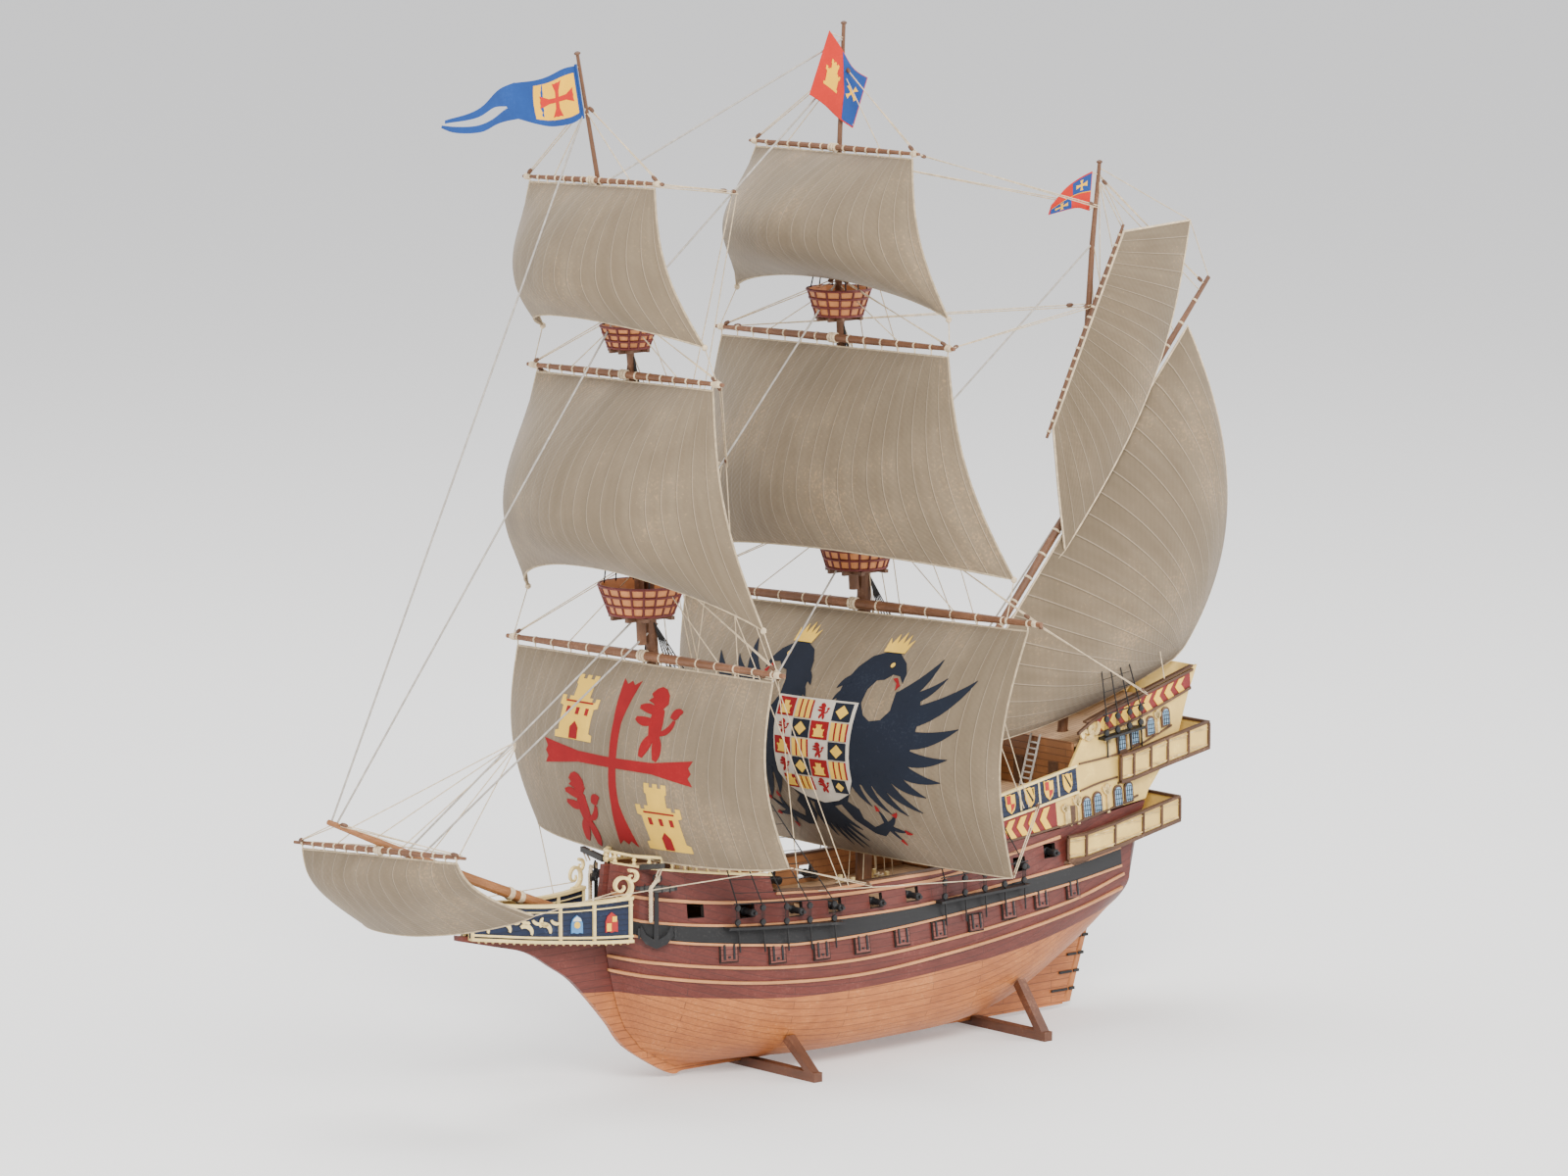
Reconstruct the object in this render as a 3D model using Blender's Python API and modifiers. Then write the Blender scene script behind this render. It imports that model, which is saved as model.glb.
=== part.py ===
"""Model sailing ship: a three-masted galleon on two cradles.

Lengths are millimetres until the mesh is made, X runs aft, Y to starboard, Z up.
"""
import math

import bmesh
import bpy
from mathutils import Matrix, Vector

MM = 0.001

# station marks are counted from a line on the keel; this moves the origin to the middle of the length
ORIGIN_SHIFT = 3.6

# hull lines
MAX_HALF_BREADTH = 38.2
HULL_SKIN = 2.0
RABBET_HALF = 1.65
KEEL_HALF = 1.3
GAP = 0.3
STATION_START = -101.3
STATION_RUN = 280.6
BREADTH_T = [0.0, 0.03, 0.06, 0.1, 0.2, 0.35, 0.5, 0.7, 0.85, 1.0, 1.14]
BREADTH_F = [0.0, 0.36, 0.52, 0.68, 0.88, 0.985, 1.0, 0.95, 0.86, 0.74, 0.62]
STEM_Z = [4.5, 14.0, 24.3, 33.0, 42.8, 55.0, 61.0, 75.0, 94.0]
STEM_X = [-64.0, -82.0, -91.0, -94.7, -97.5, -100.2, -101.3, -101.0, -98.5]
STERN_Z = [4.5, 34.6, 47.0, 63.0, 73.0, 82.0, 92.0, 100.0, 108.0, 113.0, 118.0, 127.0, 137.0, 147.0]
STERN_X = [153.9, 163.6, 164.6, 165.6, 167.9, 172.5, 179.0, 184.0, 192.0, 200.0, 202.8, 205.0, 212.0, 217.5]
FLOOR_X = [-64.0, 60.0, 80.0, 100.0, 120.0, 140.0, 153.0, 164.0, 180.0]
FLOOR_Z = [4.5, 4.5, 5.5, 8.5, 14.0, 22.5, 29.0, 36.0, 40.0]
FULL_X = [-100.0, -60.0, -25.0, 40.0, 80.0, 102.0, 130.0, 150.0, 165.0]
FULL_A = [2.0, 2.4, 3.0, 3.0, 2.7, 2.4, 2.0, 1.8, 1.6]
FULL_C = [0.75, 0.5, 0.34, 0.34, 0.38, 0.45, 0.62, 0.8, 1.0]
TUMBLEHOME = 0.0042
RAIL_X = [-101.0, -98.5, -86.7, -62.6, -35.3, -34.9, -10.0, 54.0, 75.0, 88.0, 124.0, 140.0, 180.0]
RAIL_Z = [94.0, 93.7, 91.4, 88.2, 84.9, 78.3, 76.9, 77.3, 79.5, 83.4, 85.9, 88.0, 92.0]
HULL_STATIONS = [0.0, 0.012, 0.028, 0.05, 0.08, 0.12, 0.17, 0.22, 0.2415, 0.2432, 0.29, 0.36, 0.43,
                 0.5, 0.57, 0.64, 0.7, 0.75, 0.8, 0.85, 0.9, 0.95, 1.0]
HULL_GIRTH = [0.0, 0.012, 0.04, 0.09, 0.17, 0.28, 0.42, 0.58, 0.78, 1.0]
TOPSIDE_STEPS = 5
PORT_SPOTS = [(-71.7, 73.9), (-49.1, 72.1), (-25.5, 70.2), (-5.4, 69.6), (16.5, 69.0), (36.5, 69.2),
              (98.8, 74.2), (117.4, 77.6)]
PORT_WIDTH = 7.0
PORT_HEIGHT = 6.0

# keel, stem and rudder
KEEL_PROFILE = [(-67.4, 2.2), (-89.8, 15.5), (-99.5, 27.0), (-109.4, 38.1), (-119.0, 47.6), (-129.0, 54.2),
                (-142.0, 61.9), (-160.0, 66.8), (-177.3, 71.1), (-177.3, 73.2), (-160.0, 70.3),
                (-142.0, 67.4),
                (-122.0, 64.4), (-103.8, 63.0), (-103.6, 72.0), (-101.2, 93.4), (-95.8, 93.0), (-97.6, 74.0),
                (-97.3, 60.0), (-93.5, 42.8), (-87.0, 25.5), (-78.0, 15.0), (-62.0, 7.0), (60.0, 7.0),
                (84.0, 8.5), (100.0, 11.5), (120.0, 17.5), (140.0, 26.0), (153.0, 33.0), (161.0, 38.8),
                (164.2, 40.0), (164.2, 34.6), (153.1, 2.2)]
STERNPOST_LOW = (153.1, 2.2)
STERNPOST_TOP = (164.2, 34.6)
RUDDER_CHORD = 3.6
RUDDER_NOSE = 1.1

# decks and stern
MAIN_DECK_Z = 64.5
DECK_THICK = 1.2
CASTLE_SKIN = 1.2
CASTLE_FRONT = 90.6
CASTLE_X = [90.0, 138.4, 138.8, 145.0, 160.0, 178.0, 217.6]
CASTLE_TOP = [104.0, 111.2, 122.3, 128.0, 132.0, 136.5, 145.8]
QUARTER_X = [90.0, 139.0]
QUARTER_Z = [93.0, 98.6]
POOP_X = [139.0, 178.0, 216.0]
POOP_Z = [119.6, 124.0, 134.5]

# spars: lower masts, topmasts with poles, bowsprit
FORE_MAST = [(-65.8, 58.0, 3.2), (-74.3, 177.5, 2.6), (-77.3, 221.0, 2.2)]
FORE_TOPMAST = [(-79.9, 182.0, 2.0), (-80.7, 195.0, 2.0), (-84.6, 294.0, 1.7), (-87.4, 316.0, 1.5),
                (-102.2, 374.0, 1.0), (-112.6, 425.0, 0.7)]
MAIN_MAST = [(40.4, 56.0, 3.6), (40.4, 188.0, 3.0), (40.4, 234.0, 2.5)]
MAIN_TOPMAST = [(35.0, 194.0, 2.2), (34.0, 208.0, 2.2), (27.6, 300.5, 1.8), (26.2, 322.0, 1.6),
                (26.6, 379.3, 1.1), (28.9, 430.4, 0.8)]
MIZZEN_MAST = [(152.4, 108.0, 2.3), (162.1, 230.0, 1.8), (169.2, 330.0, 1.2), (173.1, 364.0, 0.8)]
BOWSPRIT_HEEL = (-106.5, 69.4, 2.7)
BOWSPRIT_MID = (-170.1, 95.7, 2.1)
BOWSPRIT_TIP = (-241.0, 127.0, 1.1)

# tops: centre x, bottom z, hole radius, bottom radius, rim radius, height
TOPS = {"fore_lower_top": (-80.0, 194.9, 7.7, 13.0, 17.6, 12.2),
        "fore_upper_top": (-86.4, 304.7, 2.7, 8.2, 11.4, 8.9),
        "main_lower_top": (36.4, 203.2, 7.4, 12.4, 16.2, 12.0),
        "main_upper_top": (26.4, 309.6, 2.9, 9.6, 13.2, 11.2)}
TOP_WALL = 0.9

# yards: centre x, z, half length, brace degrees, cant degrees, radius
YARDS = {"spritsail_yard": (-215.8, 112.7, 47.6, 8.2, 2.8, 1.3), "fore_yard": (-79.2, 177.4, 83.5, 3.1,
                                                                               0.7, 2.0),
         "fore_topsail_yard": (-88.8, 293.8, 57.3, 4.4, 0.5, 1.6),
         "fore_topgallant_yard": (-105.3, 373.9, 40.6, 4.3, 1.5, 1.2),
         "main_yard": (34.8, 188.0, 101.0, 8.5, 0.5, 2.2), "main_topsail_yard": (23.4, 300.5, 70.7,
                                                                                 3.4, 0.8, 1.7),
         "main_topgallant_yard": (23.4, 379.6, 50.3, 3.3, 0.4, 1.3)}
LATEEN_YARDS = {"mizzen_yard": ((68.0, -4.6, 119.2), (233.4, -4.6, 311.6), 1.8),
                "mizzen_topsail_yard": ((139.6, -4.2, 249.2), (183.4, -4.2, 337.4), 1.2)}

# square sails: yard, inset, drop, starboard clew, port clew, belly, leech, arch, fullness
SAILS = {"fore_course": ("fore_yard", 0.92, 3.4, (-72.2, 78.0, 97.8), (-67.6, -78.0, 98.6), 15.0, 8.0,
                         -4.0, 0.65),
         "fore_topsail": ("fore_topsail_yard", 0.9, 2.8, (-76.9, 78.0, 197.2), (-81.0, -78.0, 196.8),
                          39.0, 7.0,
                          19.0, 0.8),
         "fore_topgallant": ("fore_topgallant_yard", 0.9, 2.2, (-88.5, 53.0, 309.2), (-90.6, -53.0,
                                                                                      309.5), 29.0,
                             7.0, 10.0, 0.65),
         "main_course": ("main_yard", 0.93, 3.4, (38.0, 90.0, 83.0), (43.2, -90.0, 83.0), 28.0, 11.0,
                         0.0, 0.95),
         "main_topsail": ("main_topsail_yard", 0.95, 3.6, (31.0, 80.0, 202.0), (52.5, -80.0, 205.0),
                          40.0, 8.0,
                          12.0, 0.55),
         "main_topgallant": ("main_topgallant_yard", 0.92, 2.4, (30.2, 70.0, 315.5), (25.0, -70.0,
                                                                                      313.8), 34.0,
                             6.0, 11.0, 0.95),
         "spritsail": ("spritsail_yard", 0.9, 2.4, (-193.8, 40.0, 76.5), (-168.9, -40.0, 86.0), 12.0,
                       8.0, -6.0,
                       0.6)}
SAIL_THICK = 0.4
MIZZEN_TACK = (71.6, -7.2, 120.4)
MIZZEN_PEAK = (218.6, -7.2, 291.6)
MIZZEN_CLEW = (216.1, -6.0, 148.6)
MIZZEN_BELLY = 17.0
MIZZEN_ROACH = 16.0
TOPSAIL_HEAD = (181.6, -6.4, 334.8)
TOPSAIL_FOOT = (141.2, -6.4, 253.6)
TOPSAIL_CLEW = (143.8, -11.4, 201.2)
TOPSAIL_PEAK = (218.9, -8.0, 337.3)

# flags, in the centre plane
PENNANT_BODY_TOP = [(-113.4, 420.4), (-119.2, 419.6), (-127.3, 417.3), (-135.4, 415.7), (-144.4, 415.0)]
PENNANT_BODY_LOW = [(-109.6, 399.8), (-115.6, 397.2), (-125.4, 396.7), (-133.5, 398.0), (-142.5, 400.7)]
PENNANT_TAIL_TOP = [(-154.4, 412.3), (-163.4, 406.3), (-170.3, 403.6), (-179.2, 402.0)]
PENNANT_TAIL_MID = [(-156.4, 406.0), (-163.8, 402.8), (-170.3, 401.4), (-179.2, 400.8)]
PENNANT_FORK = (-149.4, 405.2)
PENNANT_LOW_MID = [(-157.4, 401.3), (-165.4, 399.2), (-173.5, 399.2), (-181.2, 400.2)]
PENNANT_LOW_EDGE = [(-154.5, 399.2), (-163.4, 396.6), (-173.5, 396.7), (-181.6, 399.2)]
BANNER_CORNERS = [(18.3, 428.3), (39.2, 407.8), (30.4, 387.4), (6.8, 402.6)]
MIZZEN_FLAG_TOP = [(169.0, 360.8), (160.9, 357.9), (152.5, 354.3), (145.8, 347.8)]
MIZZEN_FLAG_LOW = [(167.4, 344.0), (160.9, 345.6), (152.5, 345.2), (144.4, 343.6)]
FLAG_THICK = 0.4

# galleries, channels, cradles, anchors
LOWER_GALLERY_HEIGHT = 9.6
UPPER_GALLERY_HEIGHT = 10.6
RAIL_THICK = 0.9
CHANNELS = {"fore_channel": (-61.0, -5.0, 66.6, 63.6, 5.0), "main_channel": (48.0, 99.6, 65.4, 66.6, 5.0),
            "mizzen_channel": (152.0, 177.5, 121.6, 124.0, 4.4)}
CRADLES = {"fore_cradle": -26.4, "aft_cradle": 101.8}
CRADLE_HALF = 48.5
CRADLE_BAR = 4.0
CRADLE_THICK = 4.4
ANCHOR_TOP = (-88.6, 87.6)
ANCHOR_DROP = 28.0
ANCHOR_STANDOFF = 3.4
ANCHOR_THICK = 1.5


def lerp_table(x, xs, ys):
    """Straight-line lookup that holds its end values."""
    if x <= xs[0]:
        return ys[0]
    for i in range(len(xs) - 1):
        if x <= xs[i + 1]:
            t = (x - xs[i]) / (xs[i + 1] - xs[i])
            return ys[i] + (ys[i + 1] - ys[i]) * t
    return ys[-1]


def hull_half_breadth(x, z):
    """Outer half breadth of the hull skin at a place along and up."""
    t = (x - STATION_START) / STATION_RUN
    full = MAX_HALF_BREADTH * lerp_table(t, BREADTH_T, BREADTH_F)
    z_wide = 49.6 + (x / 181.0) ** 2 * 13.4
    if z >= z_wide:
        return RABBET_HALF + max(full - RABBET_HALF, 0.0) * (1.0 - TUMBLEHOME * (z - z_wide))
    floor = lerp_table(x, FLOOR_X, FLOOR_Z)
    w = min(max((z - floor) / (z_wide - floor), 0.0), 1.0)
    a = lerp_table(x, FULL_X, FULL_A)
    c = lerp_table(x, FULL_X, FULL_C)
    shape = (1.0 - (1.0 - w) ** a) ** c
    return RABBET_HALF + max(full - RABBET_HALF, 0.0) * shape


def station_x(u, z):
    """Place along the hull of one station line at height z."""
    bow = lerp_table(z, STEM_Z, STEM_X)
    stern = lerp_table(z, STERN_Z, STERN_X)
    return bow + (stern - bow) * u


def bow_fade(u, x, z):
    """Half breadth that closes cleanly on the stem."""
    if u <= 0.0:
        return RABBET_HALF
    bow = lerp_table(z, STEM_Z, STEM_X)
    shifted = x - (bow - STATION_START) * max(0.0, 1.0 - u * 3.0)
    return max(RABBET_HALF + 0.05, hull_half_breadth(shifted, z))


def side_y(x, z):
    """Half breadth at a place, measured the same way the hull skin is built."""
    bow = lerp_table(z, STEM_Z, STEM_X)
    stern = lerp_table(z, STERN_Z, STERN_X)
    u = (x - bow) / (stern - bow)
    return bow_fade(u, x, z)


def rail_z(x):
    """Top of the hull side."""
    return lerp_table(x, RAIL_X, RAIL_Z)


def material(name, colour, rough, metal=0.0):
    """Plain Principled material."""
    mat = bpy.data.materials.get(name)
    if mat is None:
        mat = bpy.data.materials.new(name)
        mat.use_nodes = True
        shader = mat.node_tree.nodes["Principled BSDF"]
        shader.inputs["Base Color"].default_value = (*colour, 1.0)
        shader.inputs["Roughness"].default_value = rough
        shader.inputs["Metallic"].default_value = metal
    return mat


def add_object(name, verts, faces, mat, smooth=40.0):
    """Make one named object from points in millimetres."""
    mesh = bpy.data.meshes.new(name)
    mesh.from_pydata([((v[0] + ORIGIN_SHIFT) * MM, v[1] * MM, v[2] * MM) for v in verts], [], faces)
    mesh.materials.append(mat)
    bm = bmesh.new()
    bm.from_mesh(mesh)
    bmesh.ops.recalc_face_normals(bm, faces=bm.faces)
    bm.to_mesh(mesh)
    bm.free()
    mesh.shade_smooth()
    mesh.set_sharp_from_angle(angle=math.radians(smooth))
    obj = bpy.data.objects.new(name, mesh)
    bpy.context.scene.collection.objects.link(obj)
    return obj


def loft(name, rings, mat, smooth=40.0):
    """Skin closed rings of equal count and cap both ends."""
    verts = [p for ring in rings for p in ring]
    n = len(rings[0])
    faces = []
    for i in range(len(rings) - 1):
        for j in range(n):
            a = i * n + j
            b = i * n + (j + 1) % n
            faces.append((a, b, b + n, a + n))
    faces.append(tuple(range(n)))
    faces.append(tuple(range((len(rings) - 1) * n, len(rings) * n)))
    return add_object(name, verts, faces, mat, smooth)


def mirrored(name, obj):
    """Starboard copy of a port piece."""
    mesh = obj.data.copy()
    mesh.name = name
    mesh.transform(Matrix.Scale(-1.0, 4, (0.0, 1.0, 0.0)))
    mesh.flip_normals()
    twin = bpy.data.objects.new(name, mesh)
    bpy.context.scene.collection.objects.link(twin)
    return twin


def cut(obj, cutter):
    """Exact Boolean difference with a hidden cutter."""
    mod = obj.modifiers.new("cut_" + cutter.name, "BOOLEAN")
    mod.operation = "DIFFERENCE"
    mod.solver = "EXACT"
    mod.object = cutter


def hide_cutter(obj):
    obj.hide_render = True
    obj.display_type = "WIRE"
    return obj


def spar_rings(points, sides=12):
    """Round section rings along a list of (centre vector, radius)."""
    rings = []
    for i, (centre, radius) in enumerate(points):
        before = points[max(i - 1, 0)][0]
        after = points[min(i + 1, len(points) - 1)][0]
        axis = (after - before).normalized()
        side = Vector((0.0, 1.0, 0.0)) if abs(axis.y) < 0.8 else Vector((1.0, 0.0, 0.0))
        u = axis.cross(side).normalized()
        v = axis.cross(u).normalized()
        ring = []
        for k in range(sides):
            ang = math.tau * k / sides
            ring.append(centre + u * radius * math.cos(ang) + v * radius * math.sin(ang))
        rings.append(ring)
    return rings


def spar(name, points, mat, sides=12):
    return loft(name, spar_rings(points, sides), mat)


def mast(name, table, mat, sides=12):
    """Mast in the centre plane from a table of x, z, radius."""
    points = [(Vector((x, 0.0, z)), r) for x, z, r in table]
    return spar(name, points, mat, sides)


def mast_place(table, z):
    """Centre x and radius of a mast at height z."""
    zs = [row[1] for row in table]
    return lerp_table(z, zs, [row[0] for row in table]), lerp_table(z, zs, [row[2] for row in table])


def round_cutter(name, x, y, z0, z1, radius, lean=0.0):
    """Cylinder cutter along Z, leaning in the centre plane."""
    points = [(Vector((x, y, z0)), radius), (Vector((x + lean * (z1 - z0), y, z1)), radius)]
    return hide_cutter(spar(name, points, WOOD_DARK, 16))


def yard_point(name, t, drop=0.0):
    """Point on a yard; t runs -1 at the starboard end to 1 at the port end."""
    x, z, half, brace, cant, _ = YARDS[name]
    b = math.radians(brace)
    c = math.radians(cant)
    along = Vector((math.sin(b) * math.cos(c), -math.cos(b) * math.cos(c), math.sin(c)))
    return Vector((x, 0.0, z - drop)) + along * half * t


def plate(name, outline, thick, mat):
    """Deck plate: outline rows are (x, half breadth, z), port to starboard mirrored."""
    rings = []
    for x, half, z in outline:
        rings.append([(x, -half, z), (x, half, z), (x, half, z - thick), (x, -half, z - thick)])
    return loft(name, rings, mat, 30.0)


def prism_y(name, profile, y0, y1, mat):
    """Extrude an XZ outline between two breadths."""
    rings = [[(x, y0, z) for x, z in profile], [(x, y1, z) for x, z in profile]]
    return loft(name, rings, mat, 30.0)


def prism_x(name, profile, x0, x1, mat):
    """Extrude a YZ outline between two places along."""
    rings = [[(x0, y, z) for y, z in profile], [(x1, y, z) for y, z in profile]]
    return loft(name, rings, mat, 30.0)


def sheet(name, grid, thick, mat):
    """Cloth from a grid of points, given its thickness by Solidify."""
    rows = len(grid)
    cols = len(grid[0])
    verts = [p for row in grid for p in row]
    faces = []
    for i in range(rows - 1):
        for j in range(cols - 1):
            a = i * cols + j
            faces.append((a, a + 1, a + cols + 1, a + cols))
    obj = add_object(name, verts, faces, mat, 60.0)
    solid = obj.modifiers.new("cloth", "SOLIDIFY")
    solid.thickness = thick * MM
    solid.offset = 0.0
    return obj


def square_sail_point(spec, u, v):
    """Point of a square sail; u starboard to port, v head to foot."""
    yard, inset, drop, clew_s, clew_p, belly, leech, arch, full = spec
    head = yard_point(yard, -inset, drop).lerp(yard_point(yard, inset, drop), u)
    foot = Vector(clew_s).lerp(Vector(clew_p), u)
    point = head.lerp(foot, v)
    fill = max(4.0 * u * (1.0 - u), 0.0) ** 0.7
    depth = max(math.sin(math.pi * v * full), 0.0) ** 0.85
    point.x -= belly * fill * depth + leech * math.sin(math.pi * v)
    point.z += arch * fill * v ** 3
    return point


def lateen_point(a, b, c):
    """Point of the mizzen sail from shares of tack, peak and clew."""
    point = Vector(MIZZEN_TACK) * a + Vector(MIZZEN_PEAK) * b + Vector(MIZZEN_CLEW) * c
    bulge = max(27.0 * a * b * c, 0.0) ** 0.7
    point.y -= MIZZEN_BELLY * bulge + 10.0 * 4.0 * b * c
    point.x += MIZZEN_ROACH * 4.0 * b * c * (1.0 - 0.25 * (b - c))
    point.z -= 7.0 * 4.0 * a * c
    return point


def upper_lateen_point(u, v):
    """Point of the mizzen topsail; u along the yard, v from yard to leech."""
    yard_side = Vector(TOPSAIL_FOOT).lerp(Vector(TOPSAIL_HEAD), u)
    leech_side = Vector(TOPSAIL_CLEW).lerp(Vector(TOPSAIL_PEAK), u)
    point = yard_side.lerp(leech_side, v)
    point.y -= 9.0 * math.sin(math.pi * u) * math.sin(math.pi * v * 0.8)
    point.x += 9.0 * math.sin(math.pi * u) * v
    return point


for old in list(bpy.data.objects):
    bpy.data.objects.remove(old, do_unlink=True)

HULL_PAINT = material("hull_paint", (0.30, 0.10, 0.07), 0.55)
KEEL_PAINT = material("keel_paint", (0.55, 0.26, 0.10), 0.6)
WOOD = material("deck_wood", (0.45, 0.28, 0.15), 0.65)
WOOD_DARK = material("dark_wood", (0.16, 0.07, 0.035), 0.5)
SPAR_WOOD = material("spar_wood", (0.24, 0.11, 0.055), 0.5)
TOP_PAINT = material("top_paint", (0.60, 0.27, 0.09), 0.55)
CREAM = material("cream_paint", (0.78, 0.64, 0.33), 0.5)
BLUE = material("blue_paint", (0.03, 0.07, 0.18), 0.5)
IRON = material("black_iron", (0.015, 0.015, 0.017), 0.5)
SAILCLOTH = material("sailcloth", (0.36, 0.31, 0.24), 0.85)
FLAGCLOTH = material("flag_cloth", (0.05, 0.12, 0.42), 0.8)

# the hull: two half shells with open gunports, and the keel between them
rings = []
for u in HULL_STATIONS:
    x_low = station_x(u, 4.5)
    floor = lerp_table(x_low, FLOOR_X, FLOOR_Z)
    x_low = station_x(u, floor)
    x_top = station_x(u, 85.0)
    top = rail_z(x_top)
    x_mid = station_x(u, 50.0)
    wide = 49.6 + (x_mid / 181.0) ** 2 * 13.4
    heights = [floor + (wide - floor) * w for w in HULL_GIRTH]
    heights += [wide + (top - wide) * (k + 1) / TOPSIDE_STEPS for k in range(TOPSIDE_STEPS)]
    outer = []
    for k, z in enumerate(heights):
        x = station_x(u, z)
        y = RABBET_HALF if k == 0 else bow_fade(u, x, z)
        outer.append((x, y, z))
    inner = []
    for k, (x, y, z) in enumerate(outer):
        before = outer[max(k - 1, 0)]
        after = outer[min(k + 1, len(outer) - 1)]
        dy = after[1] - before[1]
        dz = after[2] - before[2]
        size = math.hypot(dy, dz)
        yi = max(y - HULL_SKIN * dz / size, RABBET_HALF)
        zi = z + HULL_SKIN * dy / size
        if k == 0:
            yi = RABBET_HALF
            zi = z + HULL_SKIN * 1.1
        if k == len(outer) - 1:
            yi = max(y - HULL_SKIN, RABBET_HALF)
            zi = z
        zi = min(max(zi, floor + HULL_SKIN * 1.1 + 0.05 * k), top - 0.05 * (len(outer) - 1 - k))
        xi = x + 2.4 * math.exp(-u / 0.02)
        inner.append((xi, yi, zi))
    ring = [(x, -y, z) for x, y, z in outer] + [(x, -y, z) for x, y, z in reversed(inner)]
    rings.append(ring)
hull_port = loft("hull_port", rings, HULL_PAINT, 28.0)
hull_starboard = mirrored("hull_starboard", hull_port)

verts = []
faces = []
for x, z in PORT_SPOTS:
    base = len(verts)
    for sx in (-0.5, 0.5):
        for sy in (-50.0, 50.0):
            for sz in (-0.5, 0.5):
                verts.append((x + sx * PORT_WIDTH, sy, z + sz * PORT_HEIGHT))
    for face in ((0, 1, 3, 2), (4, 6, 7, 5), (0, 4, 5, 1), (2, 3, 7, 6), (0, 2, 6, 4), (1, 5, 7, 3)):
        faces.append(tuple(base + k for k in face))
gunport_cutter = hide_cutter(add_object("gunport_cutter", verts, faces, WOOD_DARK))
cut(hull_port, gunport_cutter)
cut(hull_starboard, gunport_cutter)

keel_and_stem = prism_y("keel_and_stem", KEEL_PROFILE, -KEEL_HALF, KEEL_HALF, KEEL_PAINT)

# rudder: round nose on the hinge line, thin trailing edge
rake = (STERNPOST_TOP[0] - STERNPOST_LOW[0]) / (STERNPOST_TOP[1] - STERNPOST_LOW[1])
rings = []
for z, chord in ((2.7, RUDDER_CHORD + 0.8), (16.0, RUDDER_CHORD + 0.3), (36.6, RUDDER_CHORD)):
    hinge = STERNPOST_LOW[0] + rake * (z - STERNPOST_LOW[1]) + GAP + RUDDER_NOSE + 0.06
    ring = []
    for k in range(9):
        ang = math.pi / 2 + math.pi * k / 8
        ring.append((hinge + RUDDER_NOSE * math.cos(ang), RUDDER_NOSE * math.sin(ang), z))
    ring.append((hinge + chord - RUDDER_NOSE, -0.7, z))
    ring.append((hinge + chord - RUDDER_NOSE, 0.7, z))
    rings.append(ring)
rudder = loft("rudder", rings, KEEL_PAINT)

# decks
outline = []
for x in (-88.0, -80.0, -70.0, -54.0, -36.0, 0.0, 40.0, 80.0, 110.0, 135.0, 150.0, 160.0):
    z = MAIN_DECK_Z + (x - 20.0) ** 2 * 0.00033
    outline.append((x, side_y(x, z) - HULL_SKIN - 1.1, z))
main_deck = plate("main_deck", outline, DECK_THICK, WOOD)
outline = []
for x in (-88.0, -84.0, -78.0, -68.0, -54.0, -36.0):
    z = rail_z(x) - 1.6
    outline.append((x, side_y(x, z) - HULL_SKIN - 1.2, z))
forecastle_deck = plate("forecastle_deck", outline, DECK_THICK, WOOD)
outline = []
for x in (91.8, 105.0, 120.0, 138.0):
    z = lerp_table(x, QUARTER_X, QUARTER_Z)
    outline.append((x, side_y(x, z) - CASTLE_SKIN - 0.9, z))
quarter_deck = plate("quarter_deck", outline, DECK_THICK, WOOD)
outline = []
for x in (139.8, 150.0, 160.0, 178.0, 192.0, 204.0):
    z = lerp_table(x, POOP_X, POOP_Z)
    outline.append((x, side_y(x, z) - CASTLE_SKIN - 0.9, z))
poop_deck = plate("poop_deck", outline, DECK_THICK, WOOD)

for label, deck, table, z in (("fore_deck", forecastle_deck, FORE_MAST, 86.0), ("fore_main", main_deck,
                                                                                FORE_MAST, 66.6),
                              ("main", main_deck, MAIN_MAST, 64.0), ("mizzen", poop_deck, MIZZEN_MAST,
                                                                     120.6)):
    x, r = mast_place(table, z)
    slope = (table[1][0] - table[0][0]) / (table[1][1] - table[0][1])
    cutter = round_cutter(label + "_hole_cutter", x - slope * 4.0, 0.0, z - 4.0, z + 4.0, r + GAP, slope)
    cut(deck, cutter)

# bulkheads across the ship
z0 = MAIN_DECK_Z + 56.0 ** 2 * 0.00033 + GAP
z1 = rail_z(-36.4) - 1.6 - DECK_THICK - GAP
half_low = side_y(-35.9, z0) - HULL_SKIN - 0.9
half_top = side_y(-35.9, z1) - HULL_SKIN - 0.9
forecastle_bulkhead = prism_x("forecastle_bulkhead", [(-half_low, z0), (half_low, z0), (half_top, z1),
                                                      (-half_top, z1)],
                              -36.8, -35.6, WOOD)
z0 = MAIN_DECK_Z + 71.0 ** 2 * 0.00033 + GAP + 0.2
z1 = 94.6
half_low = side_y(91.0, z0) - HULL_SKIN - 0.9
half_top = side_y(91.0, z1) - HULL_SKIN - 0.7
quarterdeck_bulkhead = prism_x("quarterdeck_bulkhead", [(-half_low, z0), (half_low, z0), (half_top, z1),
                                                        (-half_top, z1)], 90.2, 91.4, WOOD)
z0 = 95.4
z1 = 120.4
half_low = side_y(139.0, z0) - CASTLE_SKIN - 1.1
half_top = side_y(139.0, z1) - CASTLE_SKIN - 1.1
poop_bulkhead = prism_x("poop_bulkhead", [(-half_low, z0), (half_low, z0), (half_top, z1), (-half_top, z1)],
                        138.3, 139.5, WOOD)

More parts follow.
